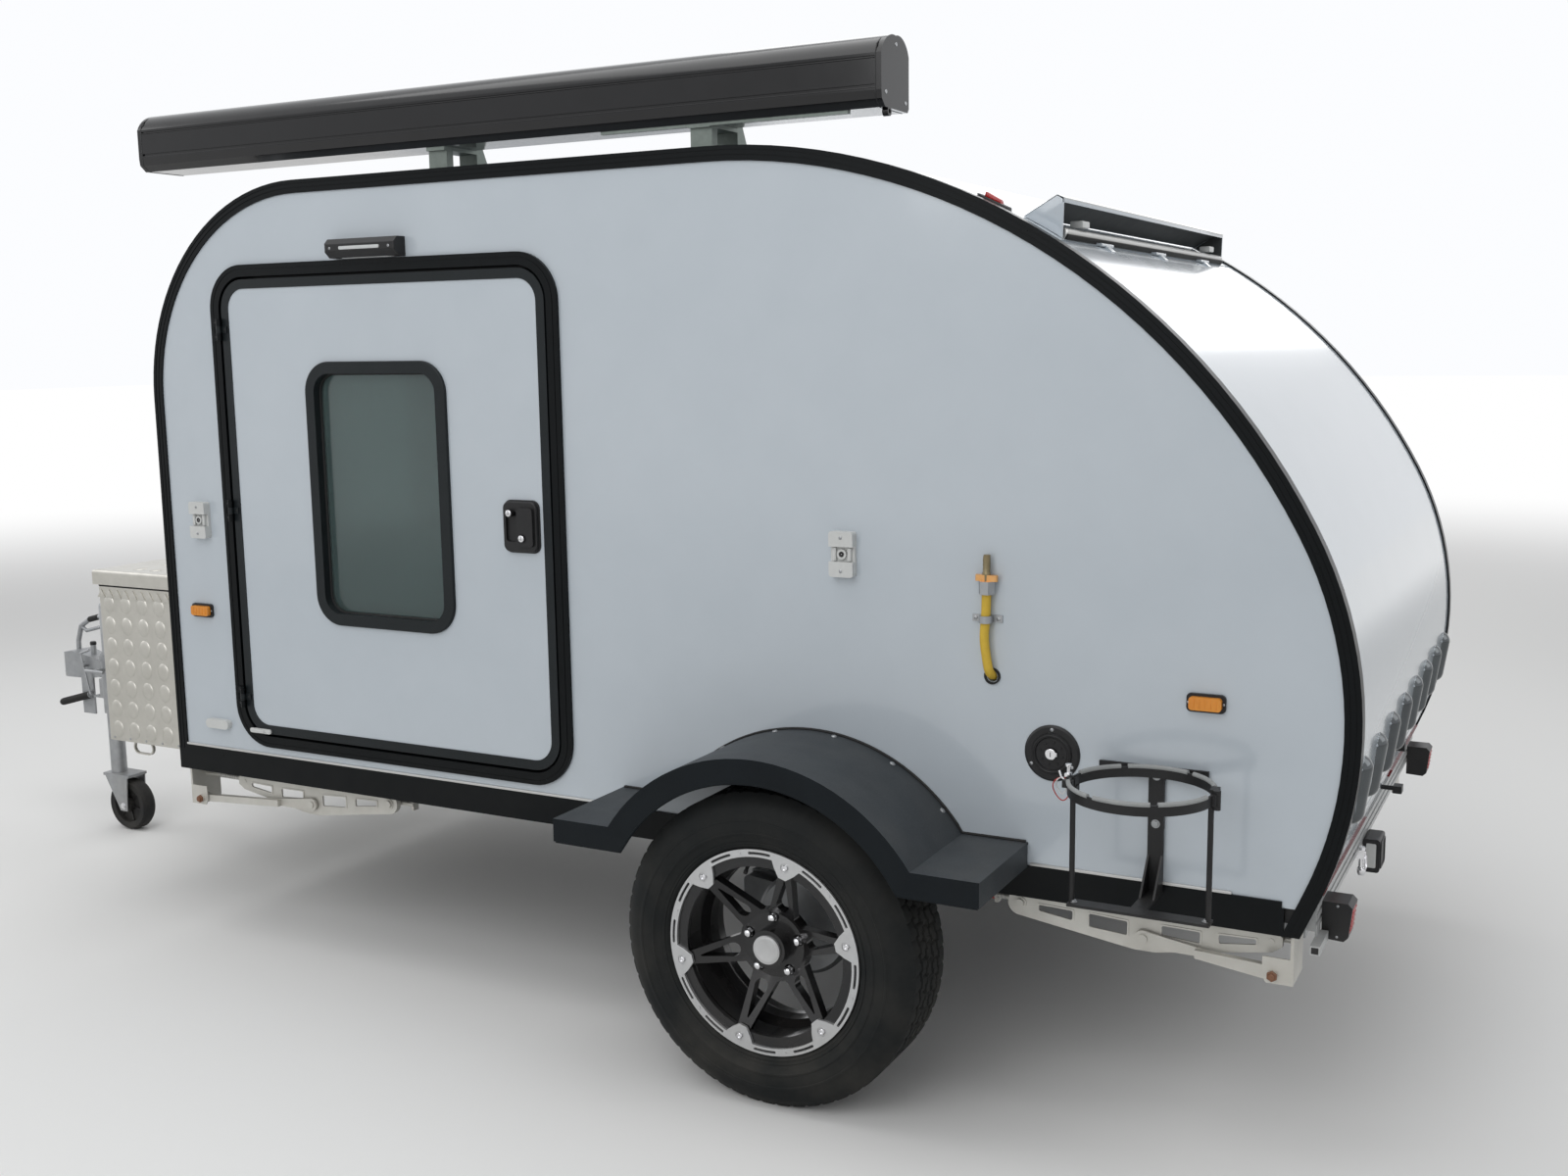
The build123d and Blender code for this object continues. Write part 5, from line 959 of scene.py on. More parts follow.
@dataclass
class FenderDress:
    """Hem, wall screws and a sealing bead of one fender."""

    side: Side
    radius: float = 0.395
    half_long: float = 0.461
    step_z: float = 0.539
    outer_y: float = WALL_Y + 0.262
    centre_z: float = 0.3175
    skirt: float = 0.048
    arc_steps: int = 40
    hem: Point = (0.0005, 0.0038, 0.0034)
    bead: Point = (0.0015, 0.0030, 0.0030)
    screw_every: int = 7
    screw_out: float = WALL_Y + 0.016
    screw_sink: float = 0.0002
    screw_head: Profile = ((0.006, 0.0), (0.0058, 0.0012), (0.0042, 0.0024), (0.0, 0.0028))

    def line(self, inset: float, y: float) -> list[Point]:
        """Draws the fender's outline from front to rear.

        Args:
            inset: how far the outline is drawn in.
            y: distance from the trailer's middle.

        Returns:
            Points along the outline.
        """
        radius, step = self.radius - inset, self.step_z - inset
        end = self.half_long - 0.004
        start = math.asin((step - self.centre_z) / radius)
        arc = [start + (math.pi - 2.0 * start) * i / self.arc_steps for i in range(self.arc_steps + 1)]
        points = [(AXLE_X + end, y, step)]
        points += [(AXLE_X + radius * math.cos(a), y, self.centre_z + radius * math.sin(a)) for a in arc]
        return points + [(AXLE_X - end, y, step)]

    def build(self) -> None:
        """Builds the hem, the bead and the screws."""
        low, back, thick = self.hem
        # The hem takes the fenders' painted shade.
        hem = forge("fender_hem", FENDER_BAND_PAINTED_SHADE, self.side)
        hem.tube(self.line(self.skirt + low, self.outer_y - back), thick, 10).done(BAR)
        rise, out, thick = self.bead
        bead = forge("fender_bead", RUBBER_BLACK, self.side)
        bead.tube(self.line(-rise, WALL_Y + out), thick, 10).done(BAR)
        screws = forge("fender_screws", STEEL_ZINC, self.side)
        for x, _, z in self.line(0.0, self.outer_y)[3:-3:self.screw_every]:
            screws.lathe(self.screw_head, (x, self.screw_out, z - self.screw_sink),
                         (x - AXLE_X, 0.0, z - self.centre_z), 18)
        screws.done()


@dataclass
class DoorDress:
    """Seal, locks, catch and hinge screws of one door."""

    side: Side
    pane_x: Flat = (at(0.9272), at(1.2861))
    pane_z: Flat = (0.870, 1.434)
    pane_corner: float = 0.044
    seal_beads: tuple[tuple[float, float, int], ...] = ((0.7360, 0.0036, 10), (0.7282, 0.0030, 8))
    bezel_x: Flat = (at(0.655), at(0.751))
    bezel_z: Flat = (1.041, 1.158)
    bezel_corner: float = 0.019
    bezel_out: Flat = (0.749, 0.7535)
    lock_spots: tuple[Flat, ...] = ((at(0.725), 1.130), (at(0.693), 1.075))
    lock_out: float = 0.772
    lock_face: Profile = ((0.0072, -0.001), (0.0072, 0.0006), (0.0062, 0.0011), (0.0, 0.0012))
    slot_half: Flat = (0.0007, 0.0036)
    slot_out: Flat = (0.7730, 0.7734)
    catch_x: Flat = (at(1.495), at(1.564))
    catch_z: Flat = (0.5505, 0.5625)
    catch_out: Flat = (0.749, 0.757)
    thumb_x: Flat = (at(1.515), at(1.541))
    thumb_z: Flat = (0.5525, 0.5605)
    thumb_out: Flat = (0.754, 0.7605)
    hinge_x: float = 0.515
    hinge_half: float = 0.0135
    hinge_heights: tuple[float, ...] = (0.640, 1.104, 1.540)
    hinge_screw: Flat = (0.0024, 0.0012)

    def build(self) -> None:
        """Builds what rides on the door and the frame's hinge screws."""
        seal = forge("window_seal", RUBBER_BLACK, self.side, "door")
        ring = rounded(self.pane_x, self.pane_z, self.pane_corner, 9)
        for y, radius, sides in self.seal_beads:
            seal.tube([(x, y, z) for x, z in ring], radius, sides, True)
        seal.done(BAR)
        locks = forge("door_locks", CHROME, self.side, "door")
        slots = forge("door_lock_slots", PLASTIC_BLACK, self.side, "door")
        for x, z in self.lock_spots:
            locks.lathe(self.lock_face, (x, self.lock_out, z), steps=28)
            slots.block(about(x, self.slot_half[0]), self.slot_out, about(z, self.slot_half[1]), 0.0002, 1)
        locks.done()
        slots.done()
        bezel = forge("door_handle_bezel", PLASTIC_BLACK, self.side, "door")
        outline = rounded(self.bezel_x, self.bezel_z, self.bezel_corner, 7)
        bezel.prism(outline, Lay.SIDE, self.bezel_out, 0.0012).done()
        catch = forge("door_catch", PLASTIC_WHITE, self.side, "door")
        catch.prism(rounded(self.catch_x, self.catch_z, 0.0055, 6), Lay.SIDE, self.catch_out, 0.002, 3)
        catch.block(self.thumb_x, self.thumb_out, self.thumb_z, 0.0018, 3).done()
        on_leaf = forge("hinge_screws_leaf", PLASTIC_BLACK, self.side, "door")
        on_frame = forge("hinge_screws_frame", PLASTIC_BLACK, self.side)
        radius, high = self.hinge_screw
        for z in self.hinge_heights:
            on_leaf.screw((self.hinge_x - self.hinge_half, 0.7549, z), radius, high=high)
            for place in about(z, 0.017):
                on_frame.screw((self.hinge_x + self.hinge_half, 0.7569, place), radius, high=high)
        on_leaf.done()
        on_frame.done()


@dataclass
class Fittings:
    """Small parts on one side wall: sill line, porch lamp, markers and white brackets."""

    side: Side
    sill_y: Flat = (WALL_Y - 0.0004, HALF_WIDTH + 0.0008)
    sill_z: Flat = (0.4945, 0.5000)
    sill_runs: tuple[Flat, ...] = ((at(0.466), at(1.796)), (at(-0.846), at(-0.466)))
    porch_x: float = at(1.102)
    porch_z: float = 1.715
    porch_y: float = WALL_Y + 0.038
    led_half: Flat = (0.059, 0.0038)
    under_half: Flat = (0.074, 0.068)
    under_back: Flat = (0.033, 0.019)
    under_z: Flat = (1.6925, 1.6945)
    porch_screw: float = 0.086
    marker_spots: tuple[Flat, ...] = ((FRONT_X - 0.118, 0.848), (at(-0.792), 0.842))
    rib_out: Flat = (WALL_Y + 0.0152, WALL_Y + 0.0169)
    rib_pitch: float = 0.010
    rib_half: Flat = (0.0012, 0.0082)
    marker_screw: float = 0.0318
    bracket_spots: tuple[float, ...] = (FRONT_X - 0.137, at(-0.077))
    bracket_z: float = 1.077
    bracket_screw: float = 0.033
    socket_face: Profile = ((0.0055, 0.0), (0.0055, 0.0012), (0.0035, 0.0014), (0.0, 0.0002))
    tongue_x: tuple[Flat, ...] = ((-0.0200, -0.0125), (0.0125, 0.0200))
    tongue_y: Flat = (WALL_Y + 0.0075, WALL_Y + 0.0150)

    def build(self) -> None:
        """Builds every small part of this side."""
        line = forge("sill_line", ALUMINIUM, self.side)
        for x in self.sill_runs:
            line.block(x, self.sill_y, self.sill_z, 0.0010)
        line.done()
        led = forge("porch_led", LED_WHITE, self.side)
        x, y, z = self.porch_x, self.porch_y, self.porch_z
        led.prism(rounded(about(x, self.led_half[0]), about(z, self.led_half[1]), 0.0032), Lay.SIDE,
                  (y - 0.003, y + 0.0006), 0.0006)
        (wide, narrow), (back, front) = self.under_half, self.under_back
        led.prism([(x - wide, y - back), (x + wide, y - back), (x + narrow, y - front),
                   (x - narrow, y - front)],
                  Lay.LEVEL, self.under_z, 0.0004).done()
        screws = forge("porch_screws", STEEL_ZINC, self.side)
        for x in about(self.porch_x, self.porch_screw):
            screws.screw((x, self.porch_y - 0.0004, self.porch_z), 0.0032)
        screws.done()
        ribs = forge("marker_ribs", AMBER_LENS, self.side)
        rivets = forge("marker_screws", STEEL_ZINC, self.side)
        for x, z in self.marker_spots:
            for i in range(-2, 3):
                ribs.block(about(x + self.rib_pitch * i, self.rib_half[0]), self.rib_out,
                           about(z, self.rib_half[1]), 0.0006)
            for place in about(x, self.marker_screw):
                rivets.screw((place, WALL_Y + 0.0060, z), 0.0022, high=0.0011)
        ribs.done()
        rivets.done()
        self.brackets()

    def brackets(self) -> None:
        """Adds the screws, the dark socket and the tongues of the white brackets."""
        screws = forge("bracket_screws", STEEL_ZINC, self.side)
        sockets = forge("bracket_sockets", PLASTIC_BLACK, self.side)
        tongues = forge("bracket_tongues", PLASTIC_WHITE, self.side)
        for x in self.bracket_spots:
            for z in about(self.bracket_z, self.bracket_screw):
                screws.screw((x, WALL_Y + 0.0200, z), 0.0036)
            sockets.lathe(self.socket_face, (x, WALL_Y + 0.0145, self.bracket_z), steps=20)
            for low, high in self.tongue_x:
                tongues.block((x + low, x + high), self.tongue_y, about(self.bracket_z, 0.013), 0.0015)
        for work in (screws, sockets, tongues):
            work.done()


@dataclass
class Filler:
    """Ring, screws and key lock on the water filler."""

    centre: Flat = (at(-0.507), 0.719)
    ring: float = 0.0352
    ring_bar: Flat = (0.0088, 0.0016)
    grip_circle: float = 0.0220
    grip_half: float = 0.0018
    grip_out: Flat = (WALL_Y + 0.005, WALL_Y + 0.0082)
    screw_circle: float = 0.0455
    lock: Profile = ((0.0105, 0.0115), (0.0105, 0.0132), (0.0089, 0.0138), (0.0062, 0.0134), (0.0, 0.0134))
    lug_x: Flat = (-0.0125, -0.0095)
    lug_out: Flat = (WALL_Y + 0.0080, WALL_Y + 0.0125)
    slot_half: Flat = (0.0008, 0.0045)
    slot_out: Flat = (WALL_Y + 0.0132, WALL_Y + 0.0138)

    def build(self) -> None:
        """Builds the filler's small parts."""
        x, z = self.centre
        out, thick = self.ring_bar
        ring = Forge("filler_ring", PLASTIC_BLACK)
        line = circle(self.centre, self.ring, range(0, 360, 9))
        ring.tube([(u, WALL_Y + out, v) for u, v in line], thick, 8, True)
        for u, v in circle(self.centre, self.grip_circle, range(12, 372, 45)):
            ring.block(about(u, self.grip_half), self.grip_out, about(v, self.grip_half), 0.0008)
        ring.done()
        screws = Forge("filler_screws", STEEL_ZINC)
        for u, v in circle(self.centre, self.screw_circle, (90.0, 210.0, 330.0)):
            screws.screw((u, WALL_Y + 0.0050, v), 0.0036)
        screws.done()
        lock = Forge("filler_lock", CHROME).lathe(self.lock, (x, WALL_Y, z), steps=36)
        lock.block((x + self.lug_x[0], x + self.lug_x[1]), self.lug_out, about(z, 0.004), 0.0010).done()
        slot = Forge("filler_key_slot", PLASTIC_BLACK)
        slot.block(about(x, self.slot_half[0]), self.slot_out, about(z, self.slot_half[1]), 0.0002, 1).done()


@dataclass
class BottleHolder:
    """Rubber edging, latch and safety wires of the gas bottle holder."""

    ring: Flat = (at(-0.715), HALF_WIDTH + 0.140)
    ring_z: float = 0.719
    ring_radius: float = 0.125
    edge_radius: float = 0.0042
    fixed_runs: tuple[Flat, ...] = ((196.0, 238.0), (244.0, 296.0), (302.0, 344.0))
    gate_runs: tuple[Flat, ...] = ((15.0, 60.0), (66.0, 112.0), (118.0, 165.0))
    run_steps: int = 16
    latch_x: float = at(-0.587)
    latch_y: Flat = (-0.0205, -0.0045)
    latch_z: Flat = (0.7155, 0.7225)
    knob: Profile = ((0.0058, 0.0), (0.0064, 0.0022), (0.0058, 0.0050), (0.0, 0.0058))
    hook: tuple[Flat, ...] = ((0.0128, 0.7080), (0.0200, 0.7130), (0.0240, 0.7240))
    wires: tuple[tuple[str, Finish, float, float], ...] = (
        ("safety_wire_pale", PLASTIC_WHITE, 0.010, 0.030), ("safety_wire_red", RED_PAINT, 0.016, 0.042))
    wire_steps: int = 32
    wall_bolts: tuple[float, ...] = (0.610, 0.700)
    foot_half: float = 0.1185

    def build(self) -> None:
        """Builds the edging in segments, the latch, the wires and the bolts."""
        for name, body, runs in (("ring_edging_fixed", "trailer", self.fixed_runs),
                                 ("ring_edging_gate", "gas_gate", self.gate_runs)):
            edging = Forge(name, RUBBER_GREY, body)
            for start, end in runs:
                turns = [start + (end - start) * i / self.run_steps for i in range(self.run_steps + 1)]
                edging.tube([(u, v, self.ring_z) for u, v in circle(self.ring, self.ring_radius, turns)],
                            self.edge_radius, 10)
            edging.done(BAR)
        x, y = self.latch_x, self.ring[1] - 0.013
        latch = Forge("holder_latch", CHROME)
        latch.block((x + 0.002, x + 0.012), (self.ring[1] + self.latch_y[0], self.ring[1] + self.latch_y[1]),
                    self.latch_z, 0.0012)
        latch.tube([(x + 0.007, y, 0.7225), (x + 0.007, y, 0.7345)], 0.0032, 12)
        latch.lathe(self.knob, (x + 0.007, y, 0.7335), UP, 20)
        y = self.ring[1] - 0.0125
        latch.tube([(x + out, y, z) for out, z in self.hook], 0.0022, 10).done()
        for name, finish, sway, drop in self.wires:
            loop = []
            for i in range(self.wire_steps):
                a = 2.0 * math.pi * i / self.wire_steps
                loop.append((x + 0.0190 + sway * math.sin(a), y + 0.006 * math.sin(2.0 * a),
                             0.7120 - drop * 0.5 * (1.0 - math.cos(a))))
            Forge(name, finish).tube(loop, 0.0011, 8, True).done(BAR)
        feet = Forge("holder_bolts", STEEL_ZINC)
        for z in self.wall_bolts:
            feet.bolt((at(-0.7075), HALF_WIDTH + 0.0058, z), 0.0060, OUT, 0.0050)
        for x in about(self.ring[0], self.foot_half):
            feet.bolt((x, self.ring[1], 0.4882), 0.0052, UP, 0.0036)
        feet.done()


@dataclass
class GasHose:
    """Yellow hose that comes out of the wall and goes up to its valve."""

    radius: float = 0.009
    out_y: float = WALL_Y + 0.014
    inner_y: float = WALL_Y - 0.026
    route: tuple[Flat, ...] = (
        (at(-0.387), 0.856), (at(-0.379), 0.896), (at(-0.374), 0.934), (at(-0.3785), 0.975),
        (at(-0.379), 1.016))
    collar: Profile = ((0.0105, 0.0), (0.0118, 0.002), (0.0118, 0.005), (0.0100, 0.007))
    tail: Profile = ((0.0078, 0.037), (0.0078, 0.041), (0.0068, 0.043), (0.0072, 0.049), (0.0066, 0.051),
                     (0.0072, 0.057), (0.0066, 0.059), (0.0072, 0.065), (0.0060, 0.074), (0.0030, 0.0752),
                     (0.0, 0.0745))
    clip_screws: Flat = (at(-0.3995), at(-0.3535))
    clip_z: float = 0.968

    def points(self) -> list[Point]:
        """The hose's route, from inside the wall to its valve."""
        x, z = self.route[0]
        return [(x, self.inner_y, z), *((x, self.out_y, z) for x, z in self.route)]

    def build(self) -> None:
        """Builds the hose on a smooth line, the valve's ridges and the clip's screws."""
        curve = bpy.data.curves.new("gas_hose_yellow", "CURVE")
        curve.dimensions, curve.bevel_depth, curve.bevel_resolution = "3D", self.radius, 5
        curve.resolution_u, curve.use_fill_caps = 16, True
        spline = curve.splines.new("NURBS")
        places = self.points()
        spline.points.add(len(places) - 1)
        for point, place in zip(spline.points, places):
            point.co = (*place, 1.0)
        spline.use_endpoint_u = True
        spline.order_u = 3
        hose = bpy.data.objects.new("gas_hose_yellow", curve)
        bpy.context.scene.collection.objects.link(hose)
        curve.materials.append(HOSE_YELLOW.material())
        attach(hose, "trailer")
        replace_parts(hose, "gas_hose")
        LOG.info("gas_hose_yellow: %d route points", len(places))
        x, top = self.route[-1]
        valve = Forge("hose_valve", BRASS_OLIVE)
        for profile in (self.collar, self.tail):
            valve.lathe(profile, (x, self.out_y, top), UP, 28)
        valve.done()
        bolts = Forge("hose_clip_screws", STEEL_ZINC)
        for x in self.clip_screws:
            bolts.screw((x, WALL_Y + 0.0030, self.clip_z), 0.0040, high=0.0022)
        bolts.done()


@dataclass
class Toolbox:
    """Pressed bumps, strip, seal, latches and lid pattern of the toolbox."""

    x: Flat = (FRONT_X + 0.058, FRONT_X + 0.413)
    half: float = 0.630
    z: Flat = (0.434, 0.862)
    lid_z: float = 0.908
    middle_z: float = 0.65
    bump_size: Flat = (0.042, 0.050)
    bump_proud: float = 0.0034
    bump_sink: float = 0.0004
    bump_lean: float = 0.16
    bump_levels: tuple[Flat, ...] = ((0.0, 1.0), (0.35, 0.93), (0.75, 0.74), (0.95, 0.45))
    bump_sides: int = 20
    pitch: Flat = (0.064, 0.058)
    rows: int = 7
    end_columns: int = 5
    front_half: int = 9
    lid_grid: tuple[int, int] = (4, 13)
    lid_pitch: float = 0.0955
    lid_scale: float = 0.9
    strip_teeth: int = 11
    tooth: float = 0.031
    strip_z: Flat = (0.832, 0.856)
    latch_y: tuple[float, ...] = (-0.36, 0.36)
    cover_y: Flat = (0.31, 0.53)
    rivet: Profile = ((0.0034, 0.0), (0.0030, 0.0012), (0.0, 0.0018))
    rivet_count: int = 6
    rivet_pitch: float = 0.062
    rivet_z: float = 0.4425

    def bump(self, work: Forge, middle: Point, along: Point, up: Point, scale: float = 1.0) -> None:
        """Adds one low bump, steeper on the side that along points to.

        Args:
            work: the forge.
            middle: point on the sheet.
            along: direction of the bump's length.
            up: direction of its height.
            scale: size against the ordinary bump.
        """
        centre, run, rise = Vector(middle), Vector(along), Vector(up)
        out = rise.cross(run)
        if out.dot(centre - Vector((sum(self.x) / 2, 0.0, self.middle_z))) <= 0:
            out = run.cross(rise)
        long, high = self.bump_size
        rings = []
        for level, share in self.bump_levels:
            ring = []
            for i in range(self.bump_sides):
                a = 2.0 * math.pi * i / self.bump_sides
                lean = self.bump_lean * (1.0 - share) * long
                place = centre + run * (0.5 * long * scale * share * math.cos(a) + lean)
                place += rise * (0.5 * high * scale * share * math.sin(a))
                ring.append(work.bm.verts.new(place + out * (level * self.bump_proud - self.bump_sink)))
            rings.append(ring)
        for low, high_ring in zip(rings, rings[1:]):
            work.band(low, high_ring)
        work.bm.faces.new(rings[-1])

    def build(self) -> None:
        """Builds all the toolbox's surface parts."""
        sides = Forge("toolbox_bumps", CHEQUER)
        heights = [self.z[0] + 0.032 + self.pitch[1] * row for row in range(self.rows)]
        for way in WAYS:
            for column in range(self.end_columns):
                for z in heights:
                    place = (self.x[1] - 0.040 - self.pitch[0] * column, way * self.half, z)
                    self.bump(sides, place, BACK, UP)
        for column in range(-self.front_half, self.front_half + 1):
            for z in heights:
                self.bump(sides, (self.x[1], self.pitch[0] * column, z), OUT, UP)
        sides.done(BUMP)
        strip = Forge("toolbox_strip", CHEQUER)
        low, high = self.strip_z
        for way in WAYS:
            for i in range(self.strip_teeth):
                x = self.x[0] + 0.014 + self.tooth * i
                strip.prism([(x, low), (x + self.tooth, low), (x + 0.5 * self.tooth, high)], Lay.SIDE,
                            ordered(way * (self.half - 0.0004), way * (self.half + 0.0026)), 0.0012)
        strip.done(BUMP)
        rim = rounded((self.x[0] + 0.0015, self.x[1] - 0.0015), about(0.0, self.half - 0.0015), 0.009)
        seal = Forge("toolbox_seal", RUBBER_BLACK)
        seal.tube([(x, y, self.z[1] + 0.0022) for x, y in rim], 0.0028, 8, True).done(BAR)
        lid = Forge("toolbox_lid_bumps", CHEQUER, "toolbox_lid")
        for column in range(self.lid_grid[0]):
            for row in range(self.lid_grid[1]):
                x, y = self.x[0] + 0.052 + self.pitch[0] * column, -self.half + 0.062 + self.lid_pitch * row
                self.bump(lid, (x, y, self.lid_z), BACK, OUT, self.lid_scale)
        lid.done(BUMP)
        self.furniture()

    def furniture(self) -> None:
        """Adds the latches, the keepers, the cover plate and the corner rivets."""
        rear, front = self.x
        latch = Forge("toolbox_latches", PLASTIC_BLACK)
        y = self.half
        latch.block((rear - 0.004, rear + 0.013), (y - 0.001, y + 0.011), (0.772, 0.836), 0.0022, 3)
        latch.block((rear - 0.006, rear + 0.006), (y + 0.008, y + 0.016), (0.788, 0.822), 0.0020, 3)
        keeper = Forge("toolbox_lid_keepers", CHROME, "toolbox_lid")
        for y in self.latch_y:
            latch.block((front - 0.001, front + 0.014), about(y, 0.024), (0.800, 0.858), 0.0030, 3)
            latch.block((front + 0.010, front + 0.020), about(y, 0.015), (0.806, 0.846), 0.0026, 3)
            keeper.block((front + 0.0078, front + 0.0120), about(y, 0.016), (0.872, 0.898), 0.0014)
        latch.done()
        keeper.done()
        cover = Forge("toolbox_lid_cover", PLASTIC_BLACK, "toolbox_lid")
        outline = rounded((rear + 0.010, rear + 0.095), self.cover_y, 0.020, 6)
        cover.prism(outline, Lay.LEVEL, (0.9072, 0.9200), 0.004, 3).done()
        rivets = Forge("toolbox_rivets", STEEL_ZINC)
        for way in WAYS:
            for i in range(self.rivet_count):
                place = (rear + 0.022 + self.rivet_pitch * i, way * self.half, self.rivet_z)
                rivets.lathe(self.rivet, place, (0.0, way, 0.0), 14)
        rivets.done()


@dataclass
class Mattress:
    """Padded mattress with piping and quilted channels, in place of the plain slab."""

    x: Flat = (at(-0.036), at(1.779))
    half: float = 0.704
    z: Flat = (0.4826, 0.5816)
    crown: float = 0.012
    edge_drop: float = 0.030
    cap: float = 0.010
    grid: tuple[int, int] = (120, 80)
    inset: float = 0.008
    waist: float = 0.006
    bulges: tuple[Flat, ...] = ((0.2, 0.005), (0.5, 0.0075), (0.8, 0.005))
    channels: float = 9.0
    cross_channels: float = 4.0
    channel_deep: Flat = (0.008, 0.006)
    pressure: float = 4.0
    frames: int = 20
    piping: tuple[Flat, ...] = ((0.5456, 0.0045), (0.4946, 0.0030))
    piping_radius: float = 0.0034

    def height(self, u: float, v: float) -> float:
        """Height of the unsewn top at shares u and v of the length and width."""
        edge = (1.0 - (2.0 * u - 1.0) ** 8) * (1.0 - (2.0 * v - 1.0) ** 8)
        return self.z[1] - self.crown - self.edge_drop * (1.0 - edge) ** 2 + 0.6 * self.crown * edge

    def sew(self, made: Mesh, count: int) -> None:
        """Draws the top down along the sewn channels.

        Args:
            made: the pad.
            count: how many of its first points are the top.
        """
        span = self.x[1] - self.x[0]
        for vert in made.data.vertices[:count]:
            u = (vert.co.x - self.x[0]) / span
            v = (vert.co.y + self.half) / (2.0 * self.half)
            row = abs(math.sin(math.pi * self.channels * u))
            line = abs(math.sin(math.pi * self.cross_channels * v))
            inside = min(1.0, 12.0 * min(u, 1.0 - u), 12.0 * min(v, 1.0 - v))
            vert.co.z -= inside * (self.channel_deep[0] * max(0.0, 1.0 - 3.2 * row)
                                   + self.channel_deep[1] * max(0.0, 1.0 - 5.0 * line))

    def swell(self, made: Mesh) -> None:
        """Blows the pad up as cloth, and keeps each point within the cap.

        Args:
            made: the pad.
        """
        scene = bpy.context.scene
        resting = made.vertex_groups.new(name="resting")
        resting.add([v.index for v in made.data.vertices if v.co.z < self.z[0] + 0.004], 1.0, "REPLACE")
        cloth = made.modifiers.new("swell", "CLOTH")
        settings = cloth.settings
        settings.quality, settings.mass = 5, 0.4
        settings.use_pressure, settings.uniform_pressure_force = True, self.pressure
        settings.effector_weights.gravity = 0.0
        settings.vertex_group_mass = "resting"
        cloth.point_cache.frame_start, cloth.point_cache.frame_end = 1, self.frames
        for step in range(1, self.frames + 1):
            scene.frame_set(step)
        blown = made.evaluated_get(bpy.context.evaluated_depsgraph_get()).data
        moves = [b.co - a.co for a, b in zip(made.data.vertices, blown.vertices)]
        made.modifiers.remove(cloth)
        made.vertex_groups.remove(resting)
        scene.frame_set(1)
        limits = (self.x, (-self.half, self.half), self.z)
        for vert, move in zip(made.data.vertices, moves):
            if move.length > self.cap:
                move = move * (self.cap / move.length)
            vert.co += move
            vert.co = [min(max(value, low), high) for value, (low, high) in zip(vert.co, limits)]

    def sheet(self, pad: Forge, top: bool) -> list[list[bmesh.types.BMVert]]:
        """Lays the pad's top or foot as a grid.

        Args:
            pad: the forge.
            top: whether it is the crowned top.

        Returns:
            The grid's points in rows.
        """
        nx, ny = self.grid
        rows = []
        for i in range(nx + 1):
            row = []
            for j in range(ny + 1):
                u, v = i / nx, j / ny
                x = self.x[0] + self.inset + (self.x[1] - self.x[0] - 2.0 * self.inset) * u
                y = -self.half + self.inset + (2.0 * self.half - 2.0 * self.inset) * v
                if j in (0, ny):
                    y -= math.copysign(self.waist * math.sin(math.pi * u), y)
                row.append(pad.bm.verts.new((x, y, self.height(u, v) if top else self.z[0] + 0.001)))
            rows.append(row)
        for near, far in zip(rows, rows[1:]):
            for j in range(ny):
                pad.bm.faces.new((near[j], far[j], far[j + 1], near[j + 1]))
        return rows

    def build(self) -> Mesh:
        """Builds the crowned pad, swells it, sews it and adds its piping.

        Returns:
            The finished pad.
        """
        pad = Forge("mattress_pad", FABRIC)
        nx, ny = self.grid
        top, foot = self.sheet(pad, True), self.sheet(pad, False)
        rim = ([(i, 0) for i in range(nx)] + [(nx, j) for j in range(ny)]
               + [(i, ny) for i in range(nx, 0, -1)]
               + [(0, j) for j in range(ny, 0, -1)])
        rings = [[foot[i][j] for i, j in rim], [top[i][j] for i, j in rim]]
        middle, half_long = sum(self.x) / 2.0, (self.x[1] - self.x[0]) / 2
        for level, out in self.bulges:
            ring = []
            for low, high in zip(rings[0], rings[-1]):
                place = low.co.lerp(high.co, level)
                if abs(place.x - middle) > half_long - 0.02:
                    place.x += math.copysign(out, place.x - middle)
                if abs(place.y) > self.half - 0.03:
                    place.y += math.copysign(out, place.y)
                ring.append(pad.bm.verts.new(place))
            rings.insert(-1, ring)
        for low, high in zip(rings, rings[1:]):
            pad.band(low, high)
        made = pad.done(50.0)
        self.swell(made)
        self.sew(made, (nx + 1) * (ny + 1))
        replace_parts(made, "mattress")
        piping = Forge("mattress_piping", PIPING)
        for z, inset in self.piping:
            line = rounded((self.x[0] + inset, self.x[1] - inset), about(0.0, self.half - inset), 0.02)
            piping.tube([(x, y, z) for x, y in line], self.piping_radius, 8, True)
        piping.done(BAR)
        return made


